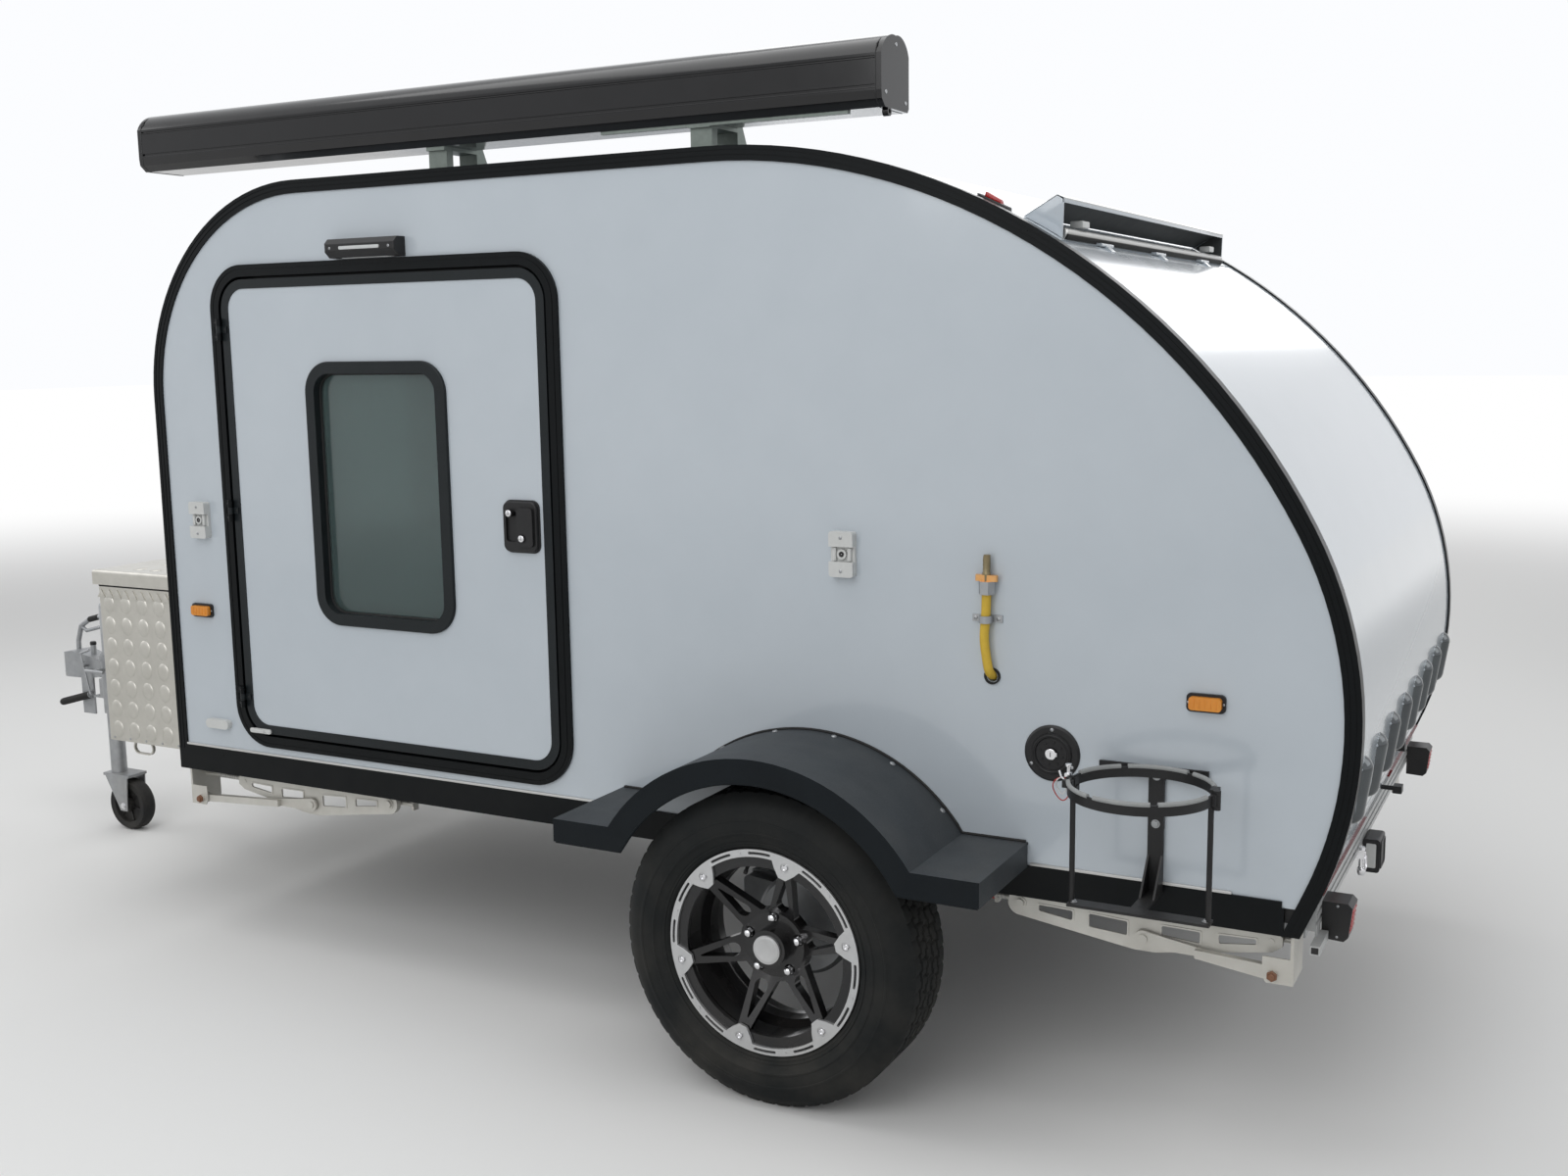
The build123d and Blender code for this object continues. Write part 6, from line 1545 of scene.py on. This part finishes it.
@dataclass
class CouplingDress:
    """Grips, bolts, cup rim and screw cap of the coupling head."""

    ball_x: float = at(3.148)
    handle: tuple[Point, Point] = ((at(3.077), 0.0, 0.612), (at(3.029), 0.0, 0.624))
    handle_grip: Profile = (
        (0.0086, 0.0), (0.0098, 0.003), (0.0092, 0.007), (0.0098, 0.011), (0.0092, 0.015), (0.0098, 0.019),
        (0.0092, 0.023), (0.0098, 0.027), (0.0092, 0.031), (0.0098, 0.035), (0.0098, 0.046), (0.0080, 0.050),
        (0.0, 0.0515))
    brake: tuple[Point, Point] = ((at(3.042), 0.048, 0.3685), (at(3.179), 0.048, 0.332))
    brake_ribs: int = 17
    rib_steps: tuple[Flat, ...] = ((0.0113, 0.35), (0.0122, 0.5), (0.0122, 0.85), (0.0113, 1.0))
    side_bolts: tuple[float, ...] = (at(2.873), at(2.973))
    top_bolts: tuple[float, ...] = (at(2.855), at(2.890))
    cup_radius: float = 0.0405
    cup_z: float = 0.4345
    screw_cap: Profile = ((0.0098, 0.0), (0.0104, 0.004), (0.0100, 0.009), (0.0080, 0.0115), (0.0, 0.0122))

    def build(self) -> None:
        """Builds the coupling's rubber grips, bolts, rim and cap."""
        grip = Forge("coupling_grip", RUBBER_BLACK)
        start, end = (Vector(p) for p in self.handle)
        grip.lathe(self.handle_grip, tuple(start), tuple((end - start).normalized()), 24)
        low, high = (Vector(p) for p in self.brake)
        span = (high - low).length
        ribs = [(self.rib_steps[0][0], 0.0)]
        for i in range(self.brake_ribs):
            ribs += [(radius, span * (i + share) / (self.brake_ribs + 1.0)) for radius,
                     share in self.rib_steps]
        ribs += [(0.0116, span), (0.0080, span + 0.003), (0.0, span + 0.0035)]
        grip.lathe(ribs, tuple(low), tuple((high - low).normalized()), 24).done(SHEET)
        bolts = Forge("coupling_bolts", CHROME)
        for x in self.side_bolts:
            for way in (-1.0, 1.0):
                bolts.bolt((x, way * 0.030, 0.460), 0.0105, (0.0, way, 0.0), 0.0085)
        for x in self.top_bolts:
            for y in (-0.044, 0.044):
                bolts.bolt((x, y, 0.444), 0.0085, UP, 0.0070)
        bolts.done(HEX)
        rim = circle((self.ball_x, 0.0), self.cup_radius, range(-84, 90, 7))
        Forge("ball_cup_rim", STEEL_ZINC).tube([(x, y, self.cup_z) for x, y in rim], 0.0026, 10).done(BAR)
        cap = Forge("coupling_screw_cap", PLASTIC_BLACK)
        cap.lathe(self.screw_cap, (self.ball_x - 0.080, 0.0, 0.5268), UP, 28).done()


@dataclass
class JockeyDress:
    """Ribbed tyre, hub, axle nuts, inner tube and crank of the jockey wheel."""

    x: float = at(2.740)
    y: float = 0.200
    axle_x: float = at(2.690)
    radius: float = 0.080
    rib_shares: tuple[float, ...] = (-0.62, -0.21, 0.21, 0.62)
    rib_radius: float = 0.0014
    rib_drop: Flat = (0.0002, 0.0022)
    spoke: tuple[Flat, ...] = ((0.021, -0.10), (0.053, -0.05), (0.053, 0.05), (0.021, 0.10))
    spoke_out: Flat = (0.008, 0.0135)
    washer: Profile = ((0.0105, 0.0), (0.0105, 0.0012))
    nut: Profile = ((0.0088, 0.0010), (0.0088, 0.0050), (0.0078, 0.0058))
    top: float = 0.7200
    reach: float = 0.084
    crank_z: float = 0.738
    grip: Profile = ((0.0070, 0.0), (0.0102, 0.004), (0.0096, 0.012), (0.0100, 0.030), (0.0104, 0.044),
                     (0.0086, 0.0505), (0.0, 0.0515))

    def build(self) -> None:
        """Builds what rides on the wheel, the fork and the tube."""
        low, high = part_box("jockey_wheel")
        half = (high[1] - low[1]) / 2.0 - 0.004
        tyre = Forge("jockey_tyre_ribs", TYRE_RUBBER, "jockey_wheel")
        for y in [half * share for share in self.rib_shares]:
            drop = self.rib_drop[0] + self.rib_drop[1] * (abs(y) / half) ** 3
            line = circle((self.axle_x, self.radius), self.radius - drop - 0.0012, range(0, 360, 6))
            tyre.tube([(x, self.y + y, z) for x, z in line], self.rib_radius, 6, True)
        tyre.done(BAR)
        hub = Forge("jockey_hub", PLASTIC_BLACK, "jockey_wheel")
        for way in (-1.0, 1.0):
            depth = ordered(self.y + way * self.spoke_out[0], self.y + way * self.spoke_out[1])
            for i in range(6):
                a = math.radians(60.0 * i + 15.0)
                hub.prism([(self.axle_x + r * math.cos(a + t), self.radius + r * math.sin(a + t))
                           for r, t in self.spoke], Lay.SIDE, depth, 0.001)
        hub.done()
        low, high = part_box("jockey_fork")
        nuts = Forge("jockey_axle_nuts", CHROME, "jockey_fork")
        for way, y in ((1.0, high[1] - 0.0045), (-1.0, low[1] + 0.0045)):
            for profile, steps in ((self.washer, 24), (self.nut, 6)):
                nuts.lathe(profile, (self.axle_x, y, self.radius), (0.0, way, 0.0), steps)
        nuts.done(HEX)
        self.inner_tube()

    def inner_tube(self) -> None:
        """Builds the sliding tube with its capped top, crank and grip."""
        low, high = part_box("jockey_tube")
        top, wide, foot = self.top, (high[1] - low[1]) / 2.0, (self.x, self.y, 0.0)
        tube = Forge("jockey_inner_tube", STEEL_ZINC, "jockey_tube")
        tube.lathe([(wide, low[2]), (wide, top - 0.008), (wide - 0.0025, top - 0.0024), (wide - 0.008, top),
                    (0.0, top)], foot, UP, 40)
        tube.lathe([(0.0070, top - 0.002), (0.0070, 0.7420), (0.0060, 0.7450), (0.0, 0.7450)], foot, UP, 20)
        grip_x = self.x - self.reach
        bend = [(self.x + 0.004, self.crank_z), (grip_x + 0.016, self.crank_z), (grip_x + 0.008, 0.7395),
                (grip_x + 0.0025, 0.7430), (grip_x, 0.7500), (grip_x, 0.7960)]
        tube.tube([(x, self.y, z) for x, z in bend], 0.0058, 16)
        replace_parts(tube.done(34.0), "jockey_tube")
        grip = Forge("crank_grip", PLASTIC_BLACK, "jockey_tube")
        grip.lathe(self.grip, (grip_x, self.y, 0.7485), UP, 28).done()


@dataclass
class SteadyDress:
    """Threads, red screw caps and bolt heads of the corner steadies on one side."""

    side: Side
    screw_y: float = 0.686
    screw_z: float = 0.402
    radius: float = 0.006
    runs: tuple[Flat, ...] = ((at(-0.905), at(-0.372)), (at(1.175), at(1.755)))
    thread_pitch: float = 0.008
    thread_sides: int = 10
    cap: Profile = ((0.0080, 0.0), (0.0086, 0.004), (0.0086, 0.022), (0.0074, 0.0275), (0.0, 0.0285))
    bolt_x: tuple[float, ...] = (at(-0.920), FRONT_X - 0.053)
    bolt_y: float = 0.7410
    bolt_z: float = 0.350
    bolt_hex: Profile = ((0.0100, 0.0), (0.0100, 0.0046), (0.0088, 0.0056))
    bolt_end: Profile = ((0.0060, 0.0), (0.0060, 0.0086), (0.0052, 0.0092), (0.0, 0.0092))

    def build(self) -> None:
        """Builds the threads, the caps and the bolts."""
        thread = forge("steady_threads", STEEL_ZINC, self.side)
        for low, high in self.runs:
            steps = int((high - low) / self.thread_pitch) * self.thread_sides
            line = circle((self.screw_y, self.screw_z), self.radius,
                          [360.0 * i / self.thread_sides for i in range(steps + 1)])
            thread.tube([(low + (high - low) * i / steps, y, z) for i, (y, z) in enumerate(line)], 0.0009, 5)
        thread.done(BAR)
        caps = forge("steady_screw_caps", RED_PAINT, self.side)
        caps.lathe(self.cap, (at(-0.3730), self.screw_y, self.screw_z), (1.0, 0.0, 0.0), 24).done()
        heads = forge("steady_bolt_heads", BOLT_BROWN, self.side)
        for x in self.bolt_x:
            place = (x, self.bolt_y, self.bolt_z)
            heads.lathe(self.bolt_hex, place, steps=6).lathe(self.bolt_end, place, steps=20)
        heads.done(HEX)


@dataclass
class TailDress:
    """Lenses, plates, screws and the toggle's bright parts across the tail."""

    back: float = at(-0.985)
    lamp_y: Flat = (0.590, 0.650)
    lens: tuple[Flat, ...] = ((-0.0445, 0.410), (-0.0508, 0.4140), (-0.0560, 0.4600), (-0.0505, 0.4650))
    rib_z: float = 0.4185
    rib_pitch: float = 0.0085
    lamp_screws: tuple[float, ...] = (0.4075, 0.4655)
    rail_screws: tuple[float, ...] = (0.12, 0.34, 0.56, 0.69)
    rail_screw: Profile = ((0.0048, 0.0), (0.0044, 0.0012), (0.0, 0.0018))
    toggle_y: float = 0.250
    toggle: tuple[tuple[float, Profile], ...] = (
        (0.4385, ((0.0066, 0.0), (0.0078, 0.002), (0.0078, 0.010), (0.0066, 0.012))),
        (0.4010, ((0.0064, 0.0), (0.0084, 0.004), (0.0084, 0.012), (0.0064, 0.016))))
    loop: Flat = (0.011, 0.014)

    def build(self) -> None:
        """Builds the small parts across the tail."""
        back = self.back
        for side in Side:
            lens = forge("tail_lens", RED_LENS, side)
            lens.prism([(back + x, z) for x, z in self.lens], Lay.SIDE,
                       (self.lamp_y[0] + 0.005, self.lamp_y[1] - 0.005), 0.0014)
            for i in range(5):
                z = self.rib_z + self.rib_pitch * i
                lens.block((back - 0.0530 - 0.0009 * i, back - 0.0500 - 0.0012 * i),
                           (self.lamp_y[0] + 0.009, self.lamp_y[1] - 0.009), (z, z + 0.0042), 0.0008)
            lens.done()
            screws = forge("tail_lamp_screws", STEEL_ZINC, side)
            for z in self.lamp_screws:
                screws.screw((back - 0.030, self.lamp_y[1] - 0.0002, z), 0.0026, high=0.0012)
            screws.done()
            stops = forge("tail_tube_stops", PLASTIC_BLACK, side)
            stops.block((back - 0.0148, back - 0.0022), (0.7490, 0.7506), (0.4065, 0.4185), 0.0008).done()
            plate = forge("tail_rail_screws", STEEL_ZINC, side)
            for y in self.rail_screws:
                plate.lathe(self.rail_screw, (back - 0.0002, y, 0.4465), BACK, 18)
            plate.done()
        plate = rounded((back - 0.0305, back - 0.0105), (0.3850, 0.4370), 0.003, 4)
        Forge("switch_box_plate", PLASTIC_WHITE).prism(plate, Lay.SIDE, (0.1496, 0.1512), 0.0005).done()
        rim = [(back - 0.0386, y, z) for y, z in rounded((0.083, 0.142), (0.383, 0.438), 0.006)]
        Forge("switch_box_rim", PLASTIC_BLACK).tube(rim, 0.0020, 8, True).done(BAR)
        toggle = Forge("tail_toggle", CHROME)
        for z, profile in self.toggle:
            toggle.lathe(profile, (back - 0.016, self.toggle_y, z), UP, 24)
        turns = [math.radians(18.0 * i) for i in range(20)]
        wide, tall = self.loop
        toggle.tube([(back - 0.0235, self.toggle_y + wide * math.cos(a), 0.4270 + tall * math.sin(a))
                     for a in turns], 0.0017, 8, True).done()


@dataclass
class AwningDress:
    """Cap rings, lead rail, seams and screws of the awning case, with its brackets' bolts."""

    x: Flat = (at(-0.150), at(1.850))
    y: Flat = (0.591, 0.721)
    seams: tuple[float, ...] = (1.9635, 2.0185)
    lead_z: Flat = (1.9296, 1.9318)
    lead_y: Flat = (0.603, 0.637)
    cap_middle: Flat = (0.656, 1.996)
    cap_share: float = 0.995
    cap_line: tuple[Flat, ...] = (
        (0.591, 2.033), (0.591, 1.937), (0.597, 1.929), (0.703, 1.929), (0.719, 1.943), (0.721, 1.959),
        (0.721, 2.027), (0.7150, 2.0435), (0.697, 2.056), (0.676, 2.0635), (0.653, 2.0655), (0.630, 2.0635),
        (0.609, 2.058), (0.596, 2.047))
    cap_screws: tuple[Flat, ...] = ((0.607, 1.946), (0.700, 1.957), (0.652, 2.050))
    cap_screw: Profile = ((0.0042, -0.0004), (0.0038, 0.0010), (0.0015, 0.0012), (0.0, 0.0004))
    bracket_x: tuple[float, ...] = (at(0.262), at(0.940))

    def build(self) -> None:
        """Builds the awning's small parts."""
        seam = Forge("awning_seam", AWNING_BLACK)
        for z in self.seams:
            seam.tube([(x, self.y[1] - 0.0006, z) for x in (self.x[0] + 0.012, self.x[1] - 0.012)], 0.0011, 8)
        seam.done(BAR)
        lead = Forge("awning_lead_rail", ALUMINIUM)
        lead.block((self.x[0] + 0.014, self.x[1] - 0.014), self.lead_y, self.lead_z, 0.0006).done()
        rings = Forge("awning_cap_rings", PLASTIC_BLACK)
        (my, mz), share = self.cap_middle, self.cap_share
        for x in (self.x[0] + 0.0121, self.x[1] - 0.0121):
            line = [(x, my + (y - my) * share, mz + (z - mz) * share) for y, z in self.cap_line]
            rings.tube(line, 0.0012, 8, True)
        rings.done(BAR)
        screws = Forge("awning_cap_screws", STEEL_ZINC)
        for way, x in zip((-1.0, 1.0), self.x):
            for y, z in self.cap_screws:
                screws.lathe(self.cap_screw, (x, y, z), (way, 0.0, 0.0), 18)
        screws.done()
        bolts = Forge("awning_bracket_bolts", CHROME)
        for middle in self.bracket_x:
            for x in about(middle, 0.014):
                bolts.bolt((x, self.y[0] - 0.0120, 1.985), 0.0058, (0.0, -1.0, 0.0), 0.0048)
                bolts.bolt((x, self.y[0] - 0.0520, 1.8815), 0.0058, UP, 0.0048)
        bolts.done(HEX)


@dataclass
class RoofArc:
    """The arc that the roof's skin follows behind its crown."""

    centre: Flat = (at(0.222), 1.877 - 1.349)
    radius: float = 1.345

    def off(self, out: float, degrees: float) -> Flat:
        """Point (x, z) this far off the skin, down towards the tail by some degrees."""
        turn = math.radians(degrees)
        radius = self.radius + out
        return (self.centre[0] - radius * math.sin(turn), self.centre[1] + radius * math.cos(turn))

    def height(self, x: float) -> float:
        """Height of the roof's skin at x."""
        return self.centre[1] + math.sqrt(self.radius ** 2 - (x - self.centre[0]) ** 2)


@dataclass
class Hood:
    """Folded metal hood over the hatch's hinge, with lip, painted-shade sheets inside, and hinge rail, in the
    plain one's place.
    """

    arc: RoofArc = field(default_factory=RoofArc)
    half: float = 0.650
    sheet: float = 0.003
    axis: Flat = (0.004, 32.127)
    ridge: Flat = (0.023, 0.083)
    lip: Flat = (0.010, 0.077)
    lip_drop: float = 0.009
    root_turn: float = 27.9
    foot_turn: float = 31.627
    seat: float = 0.0005
    cheek_steps: int = 6
    rail_line: tuple[Flat, ...] = ((0.0002, 30.95), (0.0150, 30.95), (0.0165, 31.10), (0.0160, 31.50),
                                   (0.0120, 31.58), (0.0002, 31.58))
    seal_line: tuple[Flat, ...] = ((0.0002, 31.59), (0.0095, 31.59), (0.0105, 31.66), (0.0100, 31.76),
                                   (0.0002, 31.78))
    catch_y: tuple[float, ...] = (-0.52, 0.52)

    def corners(self) -> list[Flat]:
        """Works out the cheek's outline.

        Returns:
            The root, the ridge, the lip, the lip's foot and the cheek's foot.
        """
        x, z = self.arc.off(*self.axis)
        lip = (x + self.lip[0], z + self.lip[1])
        return [self.arc.off(self.seat, self.root_turn), (x + self.ridge[0], z + self.ridge[1]), lip,
                (lip[0], lip[1] - self.lip_drop), self.arc.off(self.seat, self.foot_turn)]

    def build(self) -> None:
        """Builds the sheet, the painted-shade sheets inside it, the hem, the hinge rail, its seal and the two
        catches.
        """
        root, ridge, lip, lip_foot, foot = self.corners()
        t, turn = self.sheet, self.foot_turn - self.root_turn
        between = [self.arc.off(self.seat, self.root_turn + turn * k / self.cheek_steps)
                   for k in range(self.cheek_steps - 1, 0, -1)]
        shell = Forge("hood_sheet", GELCOAT)
        shell.prism([root, ridge, lip, lip_foot, (lip_foot[0] + t, lip_foot[1]), (lip[0] + t, lip[1] - t),
                     (ridge[0], ridge[1] - t), (root[0] - 0.004, root[1] - 0.0005)],
                    Lay.SIDE, about(0.0, self.half), 0.0008)
        for way in WAYS:
            shell.prism([root, ridge, lip, lip_foot, foot] + between, Lay.SIDE,
                        ordered(way * self.half, way * (self.half - t)), 0.0008)
        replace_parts(shell.done(SHEET), "hood")
        self.paint_shade_inside(root, ridge, lip, lip_foot, foot, between[:-1])
        hem = [(lip[0] + 0.0012, y, lip[1] - 0.0008) for y in about(0.0, self.half - 0.001)]
        Forge("hood_hem", ALUMINIUM).tube(hem, 0.0017, 10).done(BAR)
        span = about(0.0, self.half - t - 0.012)
        for name, finish, line in (("hood_hinge_rail", ALUMINIUM, self.rail_line),
                                   ("hood_hinge_seal", RUBBER_BLACK, self.seal_line)):
            Forge(name, finish).prism([self.arc.off(*spot) for spot in line], Lay.SIDE, span,
                                      0.0006).done(SHEET)
        catches = Forge("hood_catches", PLASTIC_WHITE)
        foot_z, head_x = self.arc.off(0.014, 30.55)[1], self.arc.off(0.030, 30.05)[0]
        for y in self.catch_y:
            catches.block((head_x - 0.022, head_x + 0.004), about(y, 0.022), (foot_z, foot_z + 0.013),
                          0.0025, 3)
        catches.done()

    def paint_shade_inside(self, root: Flat, ridge: Flat, lip: Flat, lip_foot: Flat, foot: Flat,
                    rest: list[Flat]) -> None:
        """Builds dark sheets of painted shade under the sheet and inside both cheeks.

        Args:
            root: where the sheet meets the roof.
            ridge: the fold at the top.
            lip: the front edge.
            lip_foot: the lip's lower edge.
            foot: where the cheek ends on the roof.
            rest: points of the cheek's edge along the roof, from the foot to the root.
        """
        t = self.sheet
        # Painted shade: a dark sheet just under the top sheet and dark plates inside both cheeks.
        shade_lining = Forge("hood_lining", HOOD_PAINTED_SHADE_GREY)
        inner = [(root[0] - 0.006, root[1] + 0.0010), (ridge[0] - 0.001, ridge[1] - t - 0.0002),
                 (lip[0] + t + 0.0005, lip[1] - t - 0.0006), (lip[0] + t + 0.0005, lip[1] - t - 0.0016),
                 (ridge[0] - 0.001, ridge[1] - t - 0.0012), (root[0] - 0.007, root[1] + 0.0002)]
        shade_lining.prism(inner, Lay.SIDE, about(0.0, self.half - t - 0.0004))
        shade = [(root[0] - 0.010, root[1] - 0.001), (ridge[0], ridge[1] - t - 0.001),
                 (lip[0] + 0.004, lip[1] - t - 0.001), (lip_foot[0] + 0.001, lip_foot[1] + 0.001),
                 (foot[0] + 0.001, foot[1] + 0.002)] + rest
        y = self.half - t
        for way in WAYS:
            shade_lining.prism(shade, Lay.SIDE, ordered(way * (y - 0.0002), way * (y - 0.0012)))
        shade_lining.done(SHEET)


@dataclass
class RoofFittings:
    """Small red lamp on a black base beside the hood, seated on the roof's skin."""

    arc: RoofArc = field(default_factory=RoofArc)
    y: float = 0.690
    base: tuple[Flat, ...] = ((-0.335, -0.001), (-0.335, 0.008), (-0.395, 0.008), (-0.395, -0.001))
    lens_x: Flat = (at(-0.348), at(-0.382))
    lens_z: Flat = (0.007, 0.016)
    lens_slope: float = 0.003

    def build(self) -> None:
        """Builds the base and the lens."""
        base = [(at(reach), self.arc.height(at(reach)) + up) for reach, up in self.base]
        Forge("roof_lamp_base", PLASTIC_BLACK).prism(base, Lay.SIDE, about(self.y, 0.013), 0.0018).done()
        (front, rear), (foot, top) = self.lens_x, self.lens_z
        low, high = self.arc.height(front), self.arc.height(rear)
        lens = [(front, low + foot), (front - self.lens_slope, low + top),
                (rear + self.lens_slope, high + top),
                (rear, high + foot)]
        Forge("roof_lamp_lens", RED_LENS).prism(lens, Lay.SIDE, about(self.y, 0.009), 0.0022, 3).done()


def dress_frame() -> None:
    """Gives every CAD node its finish."""
    for name, node in frame["nodes"].items():
        finish = finish_of(name)
        node.data.materials.clear()
        node.data.materials.append(finish.material())
        LOG.info("%s in %s", name, finish.name)


def recolour(node: str, finish: Finish, chosen: Callable[[Vector], bool]) -> None:
    """Gives some faces of a CAD node a second finish.

    Args:
        node: the node's name.
        finish: the second finish.
        chosen: says of a face's middle whether it gets the second finish.
    """
    data = frame["nodes"][node].data
    data.materials.append(finish.material())
    slot = len(data.materials) - 1
    for face in data.polygons:
        if chosen(face.center):
            face.material_index = slot


def second_finishes() -> None:
    """Gives lamps, swages, hose fittings, fenders and the tail's fittings their second finishes, with a
    painted dark reflection on the hatch's swages and painted shade on the fenders' outward band.
    """
    tail = (at(-0.2928), 0.8017)
    recolour("marker_lamps", PLASTIC_BLACK, lambda p: abs(p.y) < WALL_Y + 0.0062)
    recolour("tail_lamps", STRIP_RED, lambda p: p.z > 0.485)
    # Painted reflection: the swages on the hatch are coloured dark for the darkness they reflect.
    recolour("hatch_panel", SWAGE_PAINTED_REFLECTION,
             lambda p: 0.60 < p.z < 0.78 and math.hypot(p.x - tail[0], p.z - tail[1]) > 0.7628)
    recolour("hatch_panel", PLASTIC_BLACK,
             lambda p: p.z < 0.633 and abs(p.y) < 0.013 and p.x < tail[0] - 0.7400)
    recolour("hose_fittings", RUBBER_BLACK, lambda p: p.z < 0.900)
    recolour("hose_fittings", STEEL_ZINC, lambda p: 0.900 < p.z < 1.0405)
    recolour("hose_fittings", BRASS_OLIVE, lambda p: p.z > 1.0535)
    # Painted shade: the fenders' outward faces get the darker band finish.
    recolour("fenders", FENDER_BAND_PAINTED_SHADE, lambda p: abs(p.y) > WALL_Y + 0.2615)
    recolour("tail_latch", CHROME, lambda p: abs(p.y - 0.250) < 0.013)


def main() -> None:
    """Builds the set and dresses the trailer."""
    logging.basicConfig(level=logging.INFO, format="%(message)s")
    bpy.context.scene.view_settings.view_transform = "Standard"
    for spare in [o for o in bpy.context.scene.objects if o.name in ("Cube", "Light", "Camera")]:
        bpy.data.objects.remove(spare)
    Studio().build()
    GasHose().build()
    dress_frame()
    second_finishes()
    for side in Side:
        Tyre(side).build()
        WheelDress(side).build()
        FenderDress(side).build()
        DoorDress(side).build()
        Fittings(side).build()
    Filler().build()
    BottleHolder().build()
    Toolbox().build()
    Mattress().build()
    CouplingDress().build()
    JockeyDress().build()
    for side in Side:
        SteadyDress(side).build()
    TailDress().build()
    AwningDress().build()
    Hood().build()
    RoofFittings().build()


if __name__ == "__main__":
    main()
